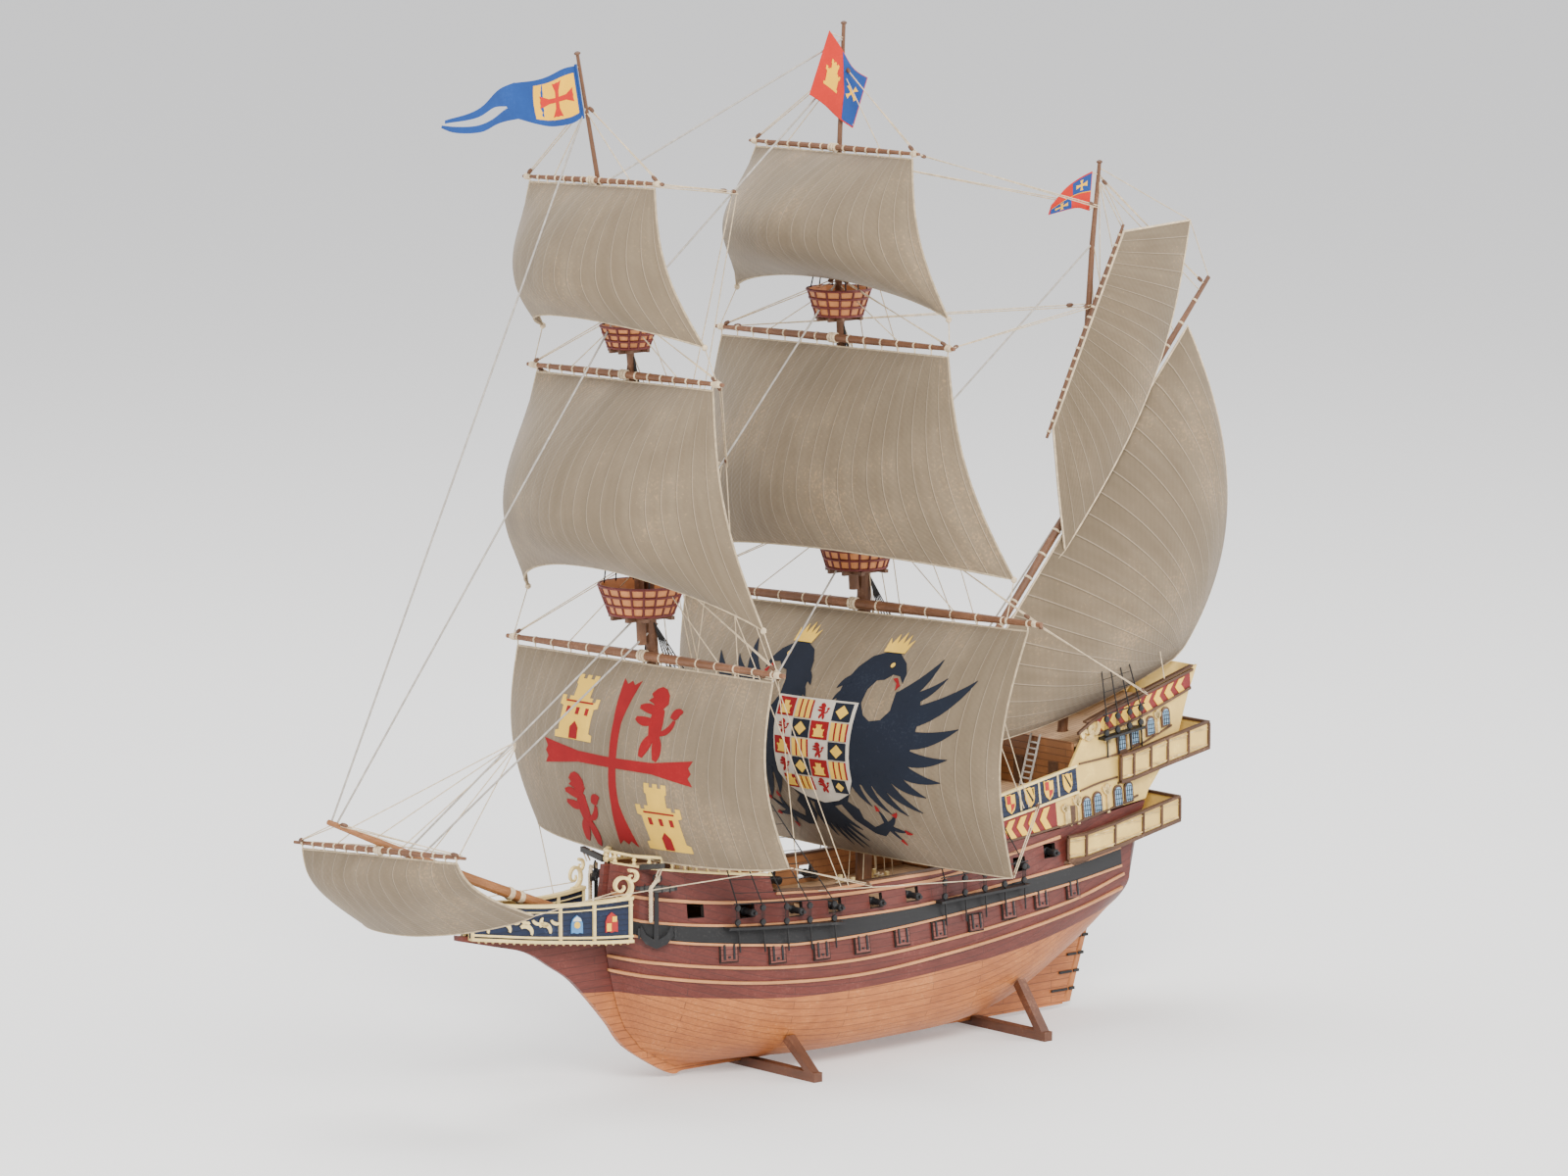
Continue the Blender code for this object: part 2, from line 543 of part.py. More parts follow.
# sterncastle sides above the hull rail, stepped down to the waist
rings = []
for s in (0.0, 0.12, 0.25, 0.37, 0.4065, 0.4095, 0.5, 0.6, 0.7, 0.8, 0.9, 1.0):
    x_low = CASTLE_FRONT + (179.6 - CASTLE_FRONT) * s
    x_top = CASTLE_FRONT + (217.2 - CASTLE_FRONT) * s
    low = rail_z(x_low) + GAP
    x_step = CASTLE_FRONT + (lerp_table(112.0, STERN_Z, STERN_X) - CASTLE_FRONT) * s
    ring_out = []
    ring_in = []
    top = lerp_table(x_step, CASTLE_X, CASTLE_TOP)
    if x_step > 138.6:
        for _ in range(6):
            x_top = CASTLE_FRONT + (lerp_table(top, STERN_Z, STERN_X) - CASTLE_FRONT) * s
            top = lerp_table(max(x_top, 138.8), CASTLE_X, CASTLE_TOP)
    for k in range(9):
        z = low + (top - low) * k / 8
        x = CASTLE_FRONT + (lerp_table(z, STERN_Z, STERN_X) - CASTLE_FRONT) * s
        y = side_y(x, z)
        ring_out.append((x, -y, z))
        ring_in.append((x, -y + CASTLE_SKIN, z))
    rings.append(ring_out + ring_in[::-1])
sterncastle_side_port = loft("sterncastle_side_port", rings, CREAM, 30.0)
sterncastle_side_starboard = mirrored("sterncastle_side_starboard", sterncastle_side_port)

# transom closing the stern from the sternpost head to the taffrail
rings = []
for z in (44.0, 50.0, 57.0, 65.0, 73.0, 82.0, 91.0, 100.0, 108.0, 113.0, 118.0, 127.0, 137.0, 145.4):
    x = lerp_table(z, STERN_Z, STERN_X)
    skin = HULL_SKIN if z < 92.5 else CASTLE_SKIN
    half = side_y(x - 0.8, z) - skin - (2.4 if z < 60.0 else 1.3)
    rings.append([(x - 1.5, -half, z), (x - 0.3, -half, z), (x - 0.3, half, z), (x - 1.5, half, z)])
stern_transom = loft("stern_transom", rings, WOOD, 20.0)


def gallery(name, stops, height, mat):
    """Walkway tray round the stern: rows are outer x, outer y, inner x, inner y, floor z."""
    rings = []
    path = [(xo, -yo, xi, -yi, z) for xo, yo, xi, yi, z in stops]
    path += [(xo, yo, xi, yi, z) for xo, yo, xi, yi, z in reversed(stops)]
    for xo, yo, xi, yi, z in path:
        dx = xi - xo
        dy = yi - yo
        size = math.hypot(dx, dy)
        xw = xo + dx / size * RAIL_THICK * 1.25
        yw = yo + dy / size * RAIL_THICK * 1.25
        rings.append([(xo, yo, z), (xo, yo, z + height), (xw, yw, z + height), (xw, yw, z + 1.0),
                      (xi, yi, z + 1.0), (xi, yi, z)])
    return loft(name, rings, mat, 30.0)


stops = []
z = 72.4
stops.append((126.6, side_y(126.6, z) + 1.6, 127.6, side_y(127.6, z) + 0.8, z))
stops.append((134.0, 36.4, 136.0, side_y(136.0, 73.4) + 1.0, 73.4))
stops.append((152.0, 34.8, 152.5, side_y(152.5, 75.6) + 1.0, 75.6))
stops.append((170.0, 33.0, 169.0, side_y(169.0, 78.4) + 1.2, 78.4))
stops.append((193.8, 30.6, 177.4, 25.4, 82.0))
lower_gallery = gallery("lower_gallery", stops, LOWER_GALLERY_HEIGHT, CREAM)
stops = []
z = 101.6
stops.append((162.8, side_y(162.8, z) + 1.6, 163.8, side_y(163.8, z) + 0.8, z))
stops.append((169.4, 27.6, 171.2, side_y(171.2, 102.6) + 0.9, 102.6))
stops.append((190.0, 26.8, 189.2, side_y(189.2, 106.8) + 0.9, 106.4))
stops.append((215.4, 25.6, 204.4, 20.6, 110.6))
upper_gallery = gallery("upper_gallery", stops, UPPER_GALLERY_HEIGHT, CREAM)

# beakhead: floor and a painted panel each side
outline = []
for x, half in ((-168.0, 2.2), (-150.0, 4.8), (-130.0, 8.0), (-110.0, 11.0), (-105.0, 11.6)):
    z = lerp_table(x, [-177.3, -160.0, -142.0, -122.0, -103.8], [73.2, 70.3, 67.4, 64.4, 63.0]) + 1.9
    outline.append((x, half, z))
beakhead_deck = plate("beakhead_deck", outline, 1.2, WOOD)
rings = []
for x, y, low, high in ((-172.2, 3.0, 71.9, 86.0), (-160.0, 4.8, 70.2, 83.6), (-145.0, 7.2, 68.1, 81.6),
                        (-130.0, 9.6, 66.4, 80.4), (-112.0, 12.6, 64.6, 80.2), (-98.0, 15.9, 63.9, 80.8)):
    rings.append([(x, -y, low), (x, -y, high), (x, -y + RAIL_THICK, high), (x, -y + RAIL_THICK, low)])
beakhead_rail_port = loft("beakhead_rail_port", rings, BLUE, 30.0)
beakhead_rail_starboard = mirrored("beakhead_rail_starboard", beakhead_rail_port)

# channels: shelves that spread the shrouds
for name, (x0, x1, z_fore, z_aft, width) in CHANNELS.items():
    rings = []
    for k in range(6):
        x = x0 + (x1 - x0) * k / 5
        z = z_fore + (z_aft - z_fore) * k / 5
        inner = max(side_y(x, z), side_y(x, z - 1.1), side_y(x, z + 0.2)) + 0.45
        rings.append([(x, -inner, z), (x, -inner - width, z), (x, -inner - width, z - 1.1), (x, -inner,
                                                                                             z - 1.1)])
    port = loft(name + "_port", rings, IRON, 30.0)
    mirrored(name + "_starboard", port)

# masts and bowsprit
fore_lower_mast = mast("fore_lower_mast", FORE_MAST, SPAR_WOOD)
fore_topmast = mast("fore_topmast", FORE_TOPMAST, SPAR_WOOD)
main_lower_mast = mast("main_lower_mast", MAIN_MAST, SPAR_WOOD)
main_topmast = mast("main_topmast", MAIN_TOPMAST, SPAR_WOOD)
mizzen_mast = mast("mizzen_mast", MIZZEN_MAST, SPAR_WOOD)
bowsprit = mast("bowsprit", [BOWSPRIT_HEEL, BOWSPRIT_MID, BOWSPRIT_TIP], SPAR_WOOD)

# tops: open baskets with one hole the masts pass through
for name, (cx, cz, r_hole, r_low, r_rim, height) in TOPS.items():
    sides = 24
    profile = [(r_hole, 0.0), (r_low, 0.0), (r_rim, height), (r_rim - TOP_WALL, height),
               (r_low - TOP_WALL, 1.2),
               (r_hole, 1.2)]
    verts = []
    faces = []
    for k in range(sides):
        ang = math.tau * k / sides
        for r, h in profile:
            verts.append((cx + r * math.cos(ang), r * math.sin(ang), cz + h))
    n = len(profile)
    for k in range(sides):
        for j in range(n):
            a = k * n + j
            b = k * n + (j + 1) % n
            c = ((k + 1) % sides) * n + (j + 1) % n
            d = ((k + 1) % sides) * n + j
            faces.append((a, b, c, d))
    add_object(name, verts, faces, TOP_PAINT, 30.0)

# yards
for name, (x, z, half, brace, cant, radius) in YARDS.items():
    points = []
    for t, share in ((-1.0, 0.5), (-0.55, 0.85), (-0.2, 1.0), (0.2, 1.0), (0.55, 0.85), (1.0, 0.5)):
        points.append((yard_point(name, t), radius * share))
    spar(name, points, SPAR_WOOD, 10)
for name, (low, high, radius) in LATEEN_YARDS.items():
    points = []
    for t, share in ((0.0, 0.5), (0.3, 0.9), (0.55, 1.0), (0.8, 0.85), (1.0, 0.5)):
        points.append((Vector(low).lerp(Vector(high), t), radius * share))
    spar(name, points, SPAR_WOOD, 10)

# sails
for name, spec in SAILS.items():
    grid = [[square_sail_point(spec, u / 10, v / 9) for u in range(11)] for v in range(10)]
    sheet(name, grid, SAIL_THICK, SAILCLOTH)
steps = 10
index = {}
verts = []
for i in range(steps + 1):
    for j in range(steps + 1 - i):
        index[(i, j)] = len(verts)
        verts.append(lateen_point(1.0 - (i + j) / steps, i / steps, j / steps))
faces = []
for i in range(steps):
    for j in range(steps - i):
        faces.append((index[(i, j)], index[(i + 1, j)], index[(i, j + 1)]))
        if i + j < steps - 1:
            faces.append((index[(i + 1, j)], index[(i + 1, j + 1)], index[(i, j + 1)]))
mizzen_course = add_object("mizzen_course", verts, faces, SAILCLOTH, 60.0)
solid = mizzen_course.modifiers.new("cloth", "SOLIDIFY")
solid.thickness = SAIL_THICK * MM
solid.offset = 0.0
grid = [[upper_lateen_point(u / 10, v / 5) for v in range(6)] for u in range(11)]
mizzen_topsail = sheet("mizzen_topsail", grid, SAIL_THICK, SAILCLOTH)

# flags
def wave(x, z, amount, start, length):
    """Sideways ripple that grows from the hoist."""
    run = abs(x - start)
    return amount * math.sin(run / length * math.tau) * min(run / length, 1.0)


verts = []
faces = []
body = []
for (xt, zt), (xl, zl) in zip(PENNANT_BODY_TOP, PENNANT_BODY_LOW):
    body.append([(xt, zt), ((xt + xl) / 2, (zt + zl) / 2), (xl, zl)])
body[-1][1] = PENNANT_FORK
for row in body:
    for x, z in row:
        verts.append((x, wave(x, z, 1.6, -108.0, 30.0), z))
for k in range(4):
    for j in range(2):
        a = k * 3 + j
        faces.append((a, a + 1, a + 4, a + 3))
last = 4 * 3
for first, second, start in ((PENNANT_TAIL_TOP, PENNANT_TAIL_MID, (last, last + 1)),
                             (PENNANT_LOW_MID, PENNANT_LOW_EDGE, (last + 1, last + 2))):
    a, b = start
    for (x0, z0), (x1, z1) in zip(first, second):
        verts.append((x0, wave(x0, z0, 1.6, -108.0, 30.0), z0))
        verts.append((x1, wave(x1, z1, 1.6, -108.0, 30.0), z1))
        c = len(verts) - 2
        faces.append((a, b, c + 1, c))
        a = c
        b = c + 1
fore_pennant = add_object("fore_pennant", verts, faces, FLAGCLOTH, 60.0)
solid = fore_pennant.modifiers.new("cloth", "SOLIDIFY")
solid.thickness = FLAG_THICK * MM
solid.offset = 0.0

top_left, top_right, low_right, low_left = BANNER_CORNERS
grid = []
for i in range(7):
    v = i / 6
    row = []
    for j in range(7):
        u = j / 6
        upper_x = top_left[0] * (1 - u) + top_right[0] * u
        lower_x = low_left[0] * (1 - u) + low_right[0] * u
        x = upper_x * (1 - v) + lower_x * v
        upper_z = top_left[1] * (1 - u) + top_right[1] * u
        lower_z = low_left[1] * (1 - u) + low_right[1] * u
        z = upper_z * (1 - v) + lower_z * v
        z -= 3.0 * math.sin(math.pi * u) * (1 - v)
        row.append((x, -3.2 - 1.2 * math.sin(math.pi * 2 * u) - 0.8 * v, z))
    grid.append(row)
main_banner = sheet("main_banner", grid, FLAG_THICK, FLAGCLOTH)
grid = []
for i in range(4):
    row = []
    for j in range(4):
        v = j / 3
        x = MIZZEN_FLAG_TOP[i][0] * (1 - v) + MIZZEN_FLAG_LOW[i][0] * v
        z = MIZZEN_FLAG_TOP[i][1] * (1 - v) + MIZZEN_FLAG_LOW[i][1] * v
        row.append((x, wave(x, z, 1.2, 171.0, 24.0), z))
    grid.append(row)
mizzen_flag = sheet("mizzen_flag", grid, FLAG_THICK, FLAGCLOTH)

# cradles: a bar across with two slanting arms and a slot for the keel
for name, x in CRADLES.items():
    reach_z = 14.5 if name == "fore_cradle" else 21.5
    reach_y = max(side_y(x - 2.2, reach_z), side_y(x + 2.2, reach_z)) + 0.5
    bar = CRADLE_BAR
    profile = [(-CRADLE_HALF, 0.0), (CRADLE_HALF, 0.0), (CRADLE_HALF, bar), (46.5, bar),
               (reach_y + 2.6, reach_z + 2.6), (reach_y, reach_z), (42.0, bar), (1.9, bar), (1.9, 1.8),
               (-1.9, 1.8), (-1.9, bar), (-42.0, bar), (-reach_y, reach_z), (-reach_y - 2.6, reach_z + 2.6),
               (-46.5, bar), (-CRADLE_HALF, bar)]
    prism_x(name, profile, x - CRADLE_THICK / 2, x + CRADLE_THICK / 2, WOOD_DARK)

# anchors: shank, stock, arms and flukes joined into one iron body
ax, az = ANCHOR_TOP
turn = math.atan2(side_y(ax + 9.0, 58.0) - side_y(ax - 9.0, 58.0), 18.0)
ay = side_y(ax, 56.0) + ANCHOR_STANDOFF
profile = [(-0.7, 0.0), (0.7, 0.0), (0.7, -3.0), (8.5, -2.2), (8.5, -3.7), (0.8, -4.4), (1.0, -24.6),
           (4.1, -22.6), (6.3, -18.6), (7.0, -21.8), (7.4, -22.6), (4.4, -26.6), (0.0, -28.6), (-4.4, -26.6),
           (-7.4, -22.6), (-7.0, -21.8), (-6.3, -18.6), (-4.1, -22.6), (-1.0, -24.6), (-0.8, -4.4),
           (-8.5, -3.7), (-8.5, -2.2), (-0.7, -3.0)]
rings = []
for side in (-ANCHOR_THICK / 2, ANCHOR_THICK / 2):
    ring = []
    for px, pz in profile:
        x = ax + px * math.cos(turn) + side * math.sin(turn)
        y = -ay - px * math.sin(turn) + side * math.cos(turn)
        ring.append((x, y, az + pz * ANCHOR_DROP / 28.6))
    rings.append(ring)
anchor_port = loft("anchor_port", rings, IRON, 30.0)
anchor_starboard = mirrored("anchor_starboard", anchor_port)
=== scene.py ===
# %% [markdown]
# # A model galleon, piece by piece
# This file dresses a ready-made frame: hull shells, decks, masts, yards, sails and cradles that
# already stand in the right places. Each cell makes one thing and prints what it made.
# The frame is loaded first. Nothing may grow out of it.

# %% load the frame
import math
import random

import bmesh
import bpy
from mathutils import Matrix, Vector


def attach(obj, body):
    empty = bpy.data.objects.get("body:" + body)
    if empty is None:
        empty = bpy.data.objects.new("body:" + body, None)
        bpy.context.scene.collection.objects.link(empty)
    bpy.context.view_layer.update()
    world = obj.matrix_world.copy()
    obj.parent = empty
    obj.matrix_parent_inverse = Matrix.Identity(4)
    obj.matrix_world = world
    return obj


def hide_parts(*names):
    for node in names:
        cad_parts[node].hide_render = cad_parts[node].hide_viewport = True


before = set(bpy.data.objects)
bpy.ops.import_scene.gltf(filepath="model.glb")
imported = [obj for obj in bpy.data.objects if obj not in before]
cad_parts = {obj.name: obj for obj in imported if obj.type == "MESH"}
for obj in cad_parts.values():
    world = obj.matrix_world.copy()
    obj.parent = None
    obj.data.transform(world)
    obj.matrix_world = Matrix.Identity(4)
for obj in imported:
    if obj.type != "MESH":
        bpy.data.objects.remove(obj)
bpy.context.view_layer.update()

# %% [markdown]
# The camera comes first. A long lens a little above the deck, off the port bow, keeps the
# perspective flat, the way a product photographer would stand well back. There are no loose cords
# on this ship: every line is made fast at both ends, so none needs a route of its own.

# %% camera and studio
MM = 0.001
SHIFT = 3.6
CAMERA_REACH = 3.24899


def place(x, y, z):
    """Station marks in millimetres to the frame's metres."""
    return Vector(((x + SHIFT) * MM, y * MM, z * MM))


camera_data = bpy.data.cameras.new("studio_camera")
camera_data.lens = 180.0
camera_data.sensor_width = 36.0
camera_data.clip_end = 50.0
camera = bpy.data.objects.new("studio_camera", camera_data)
bpy.context.scene.collection.objects.link(camera)
azimuth = math.radians(-40.5)
elevation = math.radians(8.39)
back = Vector((math.sin(azimuth) * math.cos(elevation), -math.cos(azimuth) * math.cos(elevation),
               math.sin(elevation)))
aim = Vector((0.00006, 0.0, 0.19807))
camera.location = aim + back * CAMERA_REACH
camera.rotation_euler = (-back).to_track_quat("-Z", "Y").to_euler()
bpy.context.scene.camera = camera


def area_light(name, spot, size, power, colour=(1.0, 1.0, 1.0)):
    """Soft square light aimed at the middle of the ship."""
    data = bpy.data.lights.new(name, "AREA")
    data.shape = "SQUARE"
    data.size = size
    data.energy = power
    data.color = colour
    light = bpy.data.objects.new(name, data)
    bpy.context.scene.collection.objects.link(light)
    light.location = spot
    light.rotation_euler = (Vector(spot) - Vector((0.0, 0.0, 0.2))).to_track_quat("Z", "Y").to_euler()
    return light


area_light("key_softbox", (-1.0, -1.7, 1.5), 0.9, 66.0, (1.0, 0.985, 0.96))
area_light("fill_softbox", (1.6, -1.3, 0.9), 1.2, 26.0)
area_light("top_softbox", (0.2, 0.6, 2.0), 1.4, 40.0)
area_light("bow_softbox", (-1.9, 0.5, 0.6), 1.0, 12.0)
world = bpy.data.worlds.new("studio_world")
world.use_nodes = True
world.node_tree.nodes["Background"].inputs["Color"].default_value = (0.95, 0.96, 1.0, 1.0)
world.node_tree.nodes["Background"].inputs["Strength"].default_value = 0.95
bpy.context.scene.world = world
print("camera at", [round(v, 3) for v in camera.location])

# %% [markdown]
# Small helpers. `tree_node` adds a shader or geometry node and sets its properties, and
# `build_piece` turns points and faces into an object whose place is in its mesh.

# %% helpers for nodes and meshes


def tree_node(tree, kind, **settings):
    """Add a node; keys starting with in_ set input values by name or number."""
    made = tree.nodes.new(kind)
    for key, value in settings.items():
        if key.startswith("in_"):
            socket = key[3:]
            made.inputs[int(socket) if socket.isdigit() else socket.replace("_", " ")].default_value = value
        else:
            setattr(made, key, value)
    return made


def new_group(name, kind, inputs, outputs):
    """Node group with named sockets: rows are (name, socket type, default)."""
    group = bpy.data.node_groups.new(name, kind)
    for label, socket, default in inputs:
        item = group.interface.new_socket(label, in_out="INPUT", socket_type=socket)
        if default is not None:
            item.default_value = default
    for label, socket in outputs:
        group.interface.new_socket(label, in_out="OUTPUT", socket_type=socket)
    return group, group.nodes.new("NodeGroupInput"), group.nodes.new("NodeGroupOutput")


def build_piece(name, points, faces, finish, uvs=None, smooth=40.0, fix=True, merge=0.0):
    """Object from points in metres, with faces outward and an optional UV per corner."""
    mesh = bpy.data.meshes.new(name)
    mesh.from_pydata([tuple(p) for p in points], [], faces)
    mesh.materials.append(finish)
    if uvs is not None:
        layer = mesh.uv_layers.new(name="UVMap")
        for loop in mesh.loops:
            layer.data[loop.index].uv = uvs[loop.vertex_index]
    work = bmesh.new()
    work.from_mesh(mesh)
    if merge > 0.0:
        bmesh.ops.remove_doubles(work, verts=work.verts, dist=merge)
    if fix:
        bmesh.ops.recalc_face_normals(work, faces=work.faces)
    work.to_mesh(mesh)
    work.free()
    if smooth > 0.0:
        mesh.shade_smooth()
        mesh.set_sharp_from_angle(angle=math.radians(smooth))
    piece = bpy.data.objects.new(name, mesh)
    bpy.context.scene.collection.objects.link(piece)
    return piece


def fit_out(piece, body="ship"):
    """The piece rides on a body."""
    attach(piece, body)
    return piece


def skin_rings(name, rings, finish, smooth=40.0, closed=True, caps=True, uvs=None):
    """Skin rings of points, each ring closed or open."""
    count = len(rings[0])
    points = [p for ring in rings for p in ring]
    faces = []
    span = count if closed else count - 1
    for i in range(len(rings) - 1):
        for j in range(span):
            a = i * count + j
            b = i * count + (j + 1) % count
            faces.append((a, b, b + count, a + count))
    if caps and closed:
        faces.append(tuple(range(count)))
        faces.append(tuple(range((len(rings) - 1) * count, len(rings) * count)))
    return build_piece(name, points, faces, finish, uvs, smooth)


def block(points, faces, low, high):
    """Append a box to point and face lists."""
    base = len(points)
    for x in (low[0], high[0]):
        for y in (low[1], high[1]):
            for z in (low[2], high[2]):
                points.append(Vector((x, y, z)))
    for face in ((0, 1, 3, 2), (4, 6, 7, 5), (0, 4, 5, 1), (2, 3, 7, 6), (0, 2, 6, 4), (1, 5, 7, 3)):
        faces.append(tuple(base + k for k in face))


def soft_lookup(x, xs, ys):
    """Smooth table: a cubic through the marks with no overshoot at the ends."""
    if x <= xs[0]:
        return ys[0]
    if x >= xs[-1]:
        return ys[-1]
    slopes = []
    for i in range(len(xs)):
        a = max(i - 1, 0)
        b = min(i + 1, len(xs) - 1)
        slopes.append((ys[b] - ys[a]) / (xs[b] - xs[a]))
    for i in range(len(xs) - 1):
        if x <= xs[i + 1]:
            h = xs[i + 1] - xs[i]
            t = (x - xs[i]) / h
            p = (1 + 2 * t) * (1 - t) ** 2 * ys[i] + t * (1 - t) ** 2 * h * slopes[i]
            return p + t * t * (3 - 2 * t) * ys[i + 1] + t * t * (t - 1) * h * slopes[i + 1]
    return ys[-1]


# %% [markdown]
# Finishes share a few effects, so each effect is a node group: aged paint that is lighter where
# it has been rubbed and darker where dust and wash have settled, wood grain that runs along a
# chosen direction, plank seams with their butt joints, and a woven cloth.

# %% shared shader effects


def make_aged_group():
    """Paint that varies: Colour, Dark and Light in; Colour, Roughness and Height out."""
    group, gin, gout = new_group("aged_paint", "ShaderNodeTree",
                                 [("Colour", "NodeSocketColor", (0.5, 0.5, 0.5, 1.0)),
                                  ("Dark", "NodeSocketColor", (0.2, 0.2, 0.2, 1.0)),
                                  ("Light", "NodeSocketColor", (0.8, 0.8, 0.8, 1.0)),
                                  ("Patch Size", "NodeSocketFloat", 60.0), ("Wash", "NodeSocketFloat", 0.5),
                                  ("Rub", "NodeSocketFloat", 0.3), ("Roughness", "NodeSocketFloat", 0.5)],
                                 [("Colour", "NodeSocketColor"), ("Roughness", "NodeSocketFloat"),
                                  ("Height", "NodeSocketFloat")])
    link = group.links.new
    coord = tree_node(group, "ShaderNodeTexCoord")
    patch = tree_node(group, "ShaderNodeTexNoise", in_Detail=5.0, in_Roughness=0.62)
    link(coord.outputs["Object"], patch.inputs["Vector"])
    link(gin.outputs["Patch Size"], patch.inputs["Scale"])
    fine = tree_node(group, "ShaderNodeTexNoise", in_Scale=900.0, in_Detail=3.0)
    link(coord.outputs["Object"], fine.inputs["Vector"])
    dark = tree_node(group, "ShaderNodeMapRange", in_From_Min=0.42, in_From_Max=0.62, in_To_Min=1.0,
                     in_To_Max=0.0)
    link(patch.outputs["Fac"], dark.inputs["Value"])
    dark_amount = tree_node(group, "ShaderNodeMath", operation="MULTIPLY")
    link(dark.outputs["Result"], dark_amount.inputs[0])
    link(gin.outputs["Wash"], dark_amount.inputs[1])
    first = tree_node(group, "ShaderNodeMix", data_type="RGBA")
    link(dark_amount.outputs[0], first.inputs["Factor"])
    link(gin.outputs["Colour"], first.inputs["A"])
    link(gin.outputs["Dark"], first.inputs["B"])
    both = tree_node(group, "ShaderNodeMath", operation="ADD")
    link(patch.outputs["Fac"], both.inputs[0])
    link(fine.outputs["Fac"], both.inputs[1])
    rub = tree_node(group, "ShaderNodeMapRange", in_From_Min=1.12, in_From_Max=1.3, in_To_Min=0.0,
                    in_To_Max=1.0)
    link(both.outputs[0], rub.inputs["Value"])
    rub_amount = tree_node(group, "ShaderNodeMath", operation="MULTIPLY")
    link(rub.outputs["Result"], rub_amount.inputs[0])
    link(gin.outputs["Rub"], rub_amount.inputs[1])
    second = tree_node(group, "ShaderNodeMix", data_type="RGBA")
    link(rub_amount.outputs[0], second.inputs["Factor"])
    link(first.outputs["Result"], second.inputs["A"])
    link(gin.outputs["Light"], second.inputs["B"])
    link(second.outputs["Result"], gout.inputs["Colour"])
    gloss = tree_node(group, "ShaderNodeMath", operation="MULTIPLY_ADD", in_1=0.22)
    link(patch.outputs["Fac"], gloss.inputs[0])
    link(gin.outputs["Roughness"], gloss.inputs[2])
    link(gloss.outputs[0], gout.inputs["Roughness"])
    link(fine.outputs["Fac"], gout.inputs["Height"])
    return group


def make_grain_group():
    """Wood grain stretched by a Stretch vector; Tone and Height out."""
    group, gin, gout = new_group("wood_grain", "ShaderNodeTree", [
        ("Stretch", "NodeSocketVector", (1.0, 12.0, 12.0)), ("Scale", "NodeSocketFloat", 90.0)],
        [("Tone", "NodeSocketFloat"), ("Height", "NodeSocketFloat")])
    link = group.links.new
    coord = tree_node(group, "ShaderNodeTexCoord")
    stretch = tree_node(group, "ShaderNodeVectorMath", operation="MULTIPLY")
    link(coord.outputs["Object"], stretch.inputs[0])
    link(gin.outputs["Stretch"], stretch.inputs[1])
    rings = tree_node(group, "ShaderNodeTexNoise", in_Detail=6.0, in_Roughness=0.7, in_Distortion=0.6)
    link(stretch.outputs["Vector"], rings.inputs["Vector"])
    link(gin.outputs["Scale"], rings.inputs["Scale"])
    ramp = tree_node(group, "ShaderNodeMapRange", in_From_Min=0.35, in_From_Max=0.68)
    link(rings.outputs["Fac"], ramp.inputs["Value"])
    link(ramp.outputs["Result"], gout.inputs["Tone"])
    link(rings.outputs["Fac"], gout.inputs["Height"])
    return group


def make_plank_group():
    """Plank seams on a chosen pair of directions; Seam, Tone and Height out."""
    group, gin, gout = new_group("plank_seams", "ShaderNodeTree", [
        ("Vector", "NodeSocketVector", None), ("Width", "NodeSocketFloat", 0.0025),
        ("Length", "NodeSocketFloat", 0.04)],
        [("Seam", "NodeSocketFloat"), ("Tone", "NodeSocketFloat"), ("Height", "NodeSocketFloat")])
    link = group.links.new
    bricks = tree_node(group, "ShaderNodeTexBrick", in_Scale=1.0, in_Mortar_Size=0.00022,
                       in_Mortar_Smooth=0.4)
    bricks.offset = 0.37
    bricks.inputs["Color1"].default_value = (0.0, 0.0, 0.0, 1.0)
    bricks.inputs["Color2"].default_value = (1.0, 1.0, 1.0, 1.0)
    bricks.inputs["Mortar"].default_value = (0.5, 0.5, 0.5, 1.0)
    link(gin.outputs["Vector"], bricks.inputs["Vector"])
    link(gin.outputs["Length"], bricks.inputs["Brick Width"])
    link(gin.outputs["Width"], bricks.inputs["Row Height"])
    tone = tree_node(group, "ShaderNodeSeparateColor")
    link(bricks.outputs["Color"], tone.inputs["Color"])
    link(bricks.outputs["Fac"], gout.inputs["Seam"])
    link(tone.outputs["Red"], gout.inputs["Tone"])
    flip = tree_node(group, "ShaderNodeMath", operation="SUBTRACT", in_0=1.0)
    link(bricks.outputs["Fac"], flip.inputs[1])
    link(flip.outputs[0], gout.inputs["Height"])
    return group


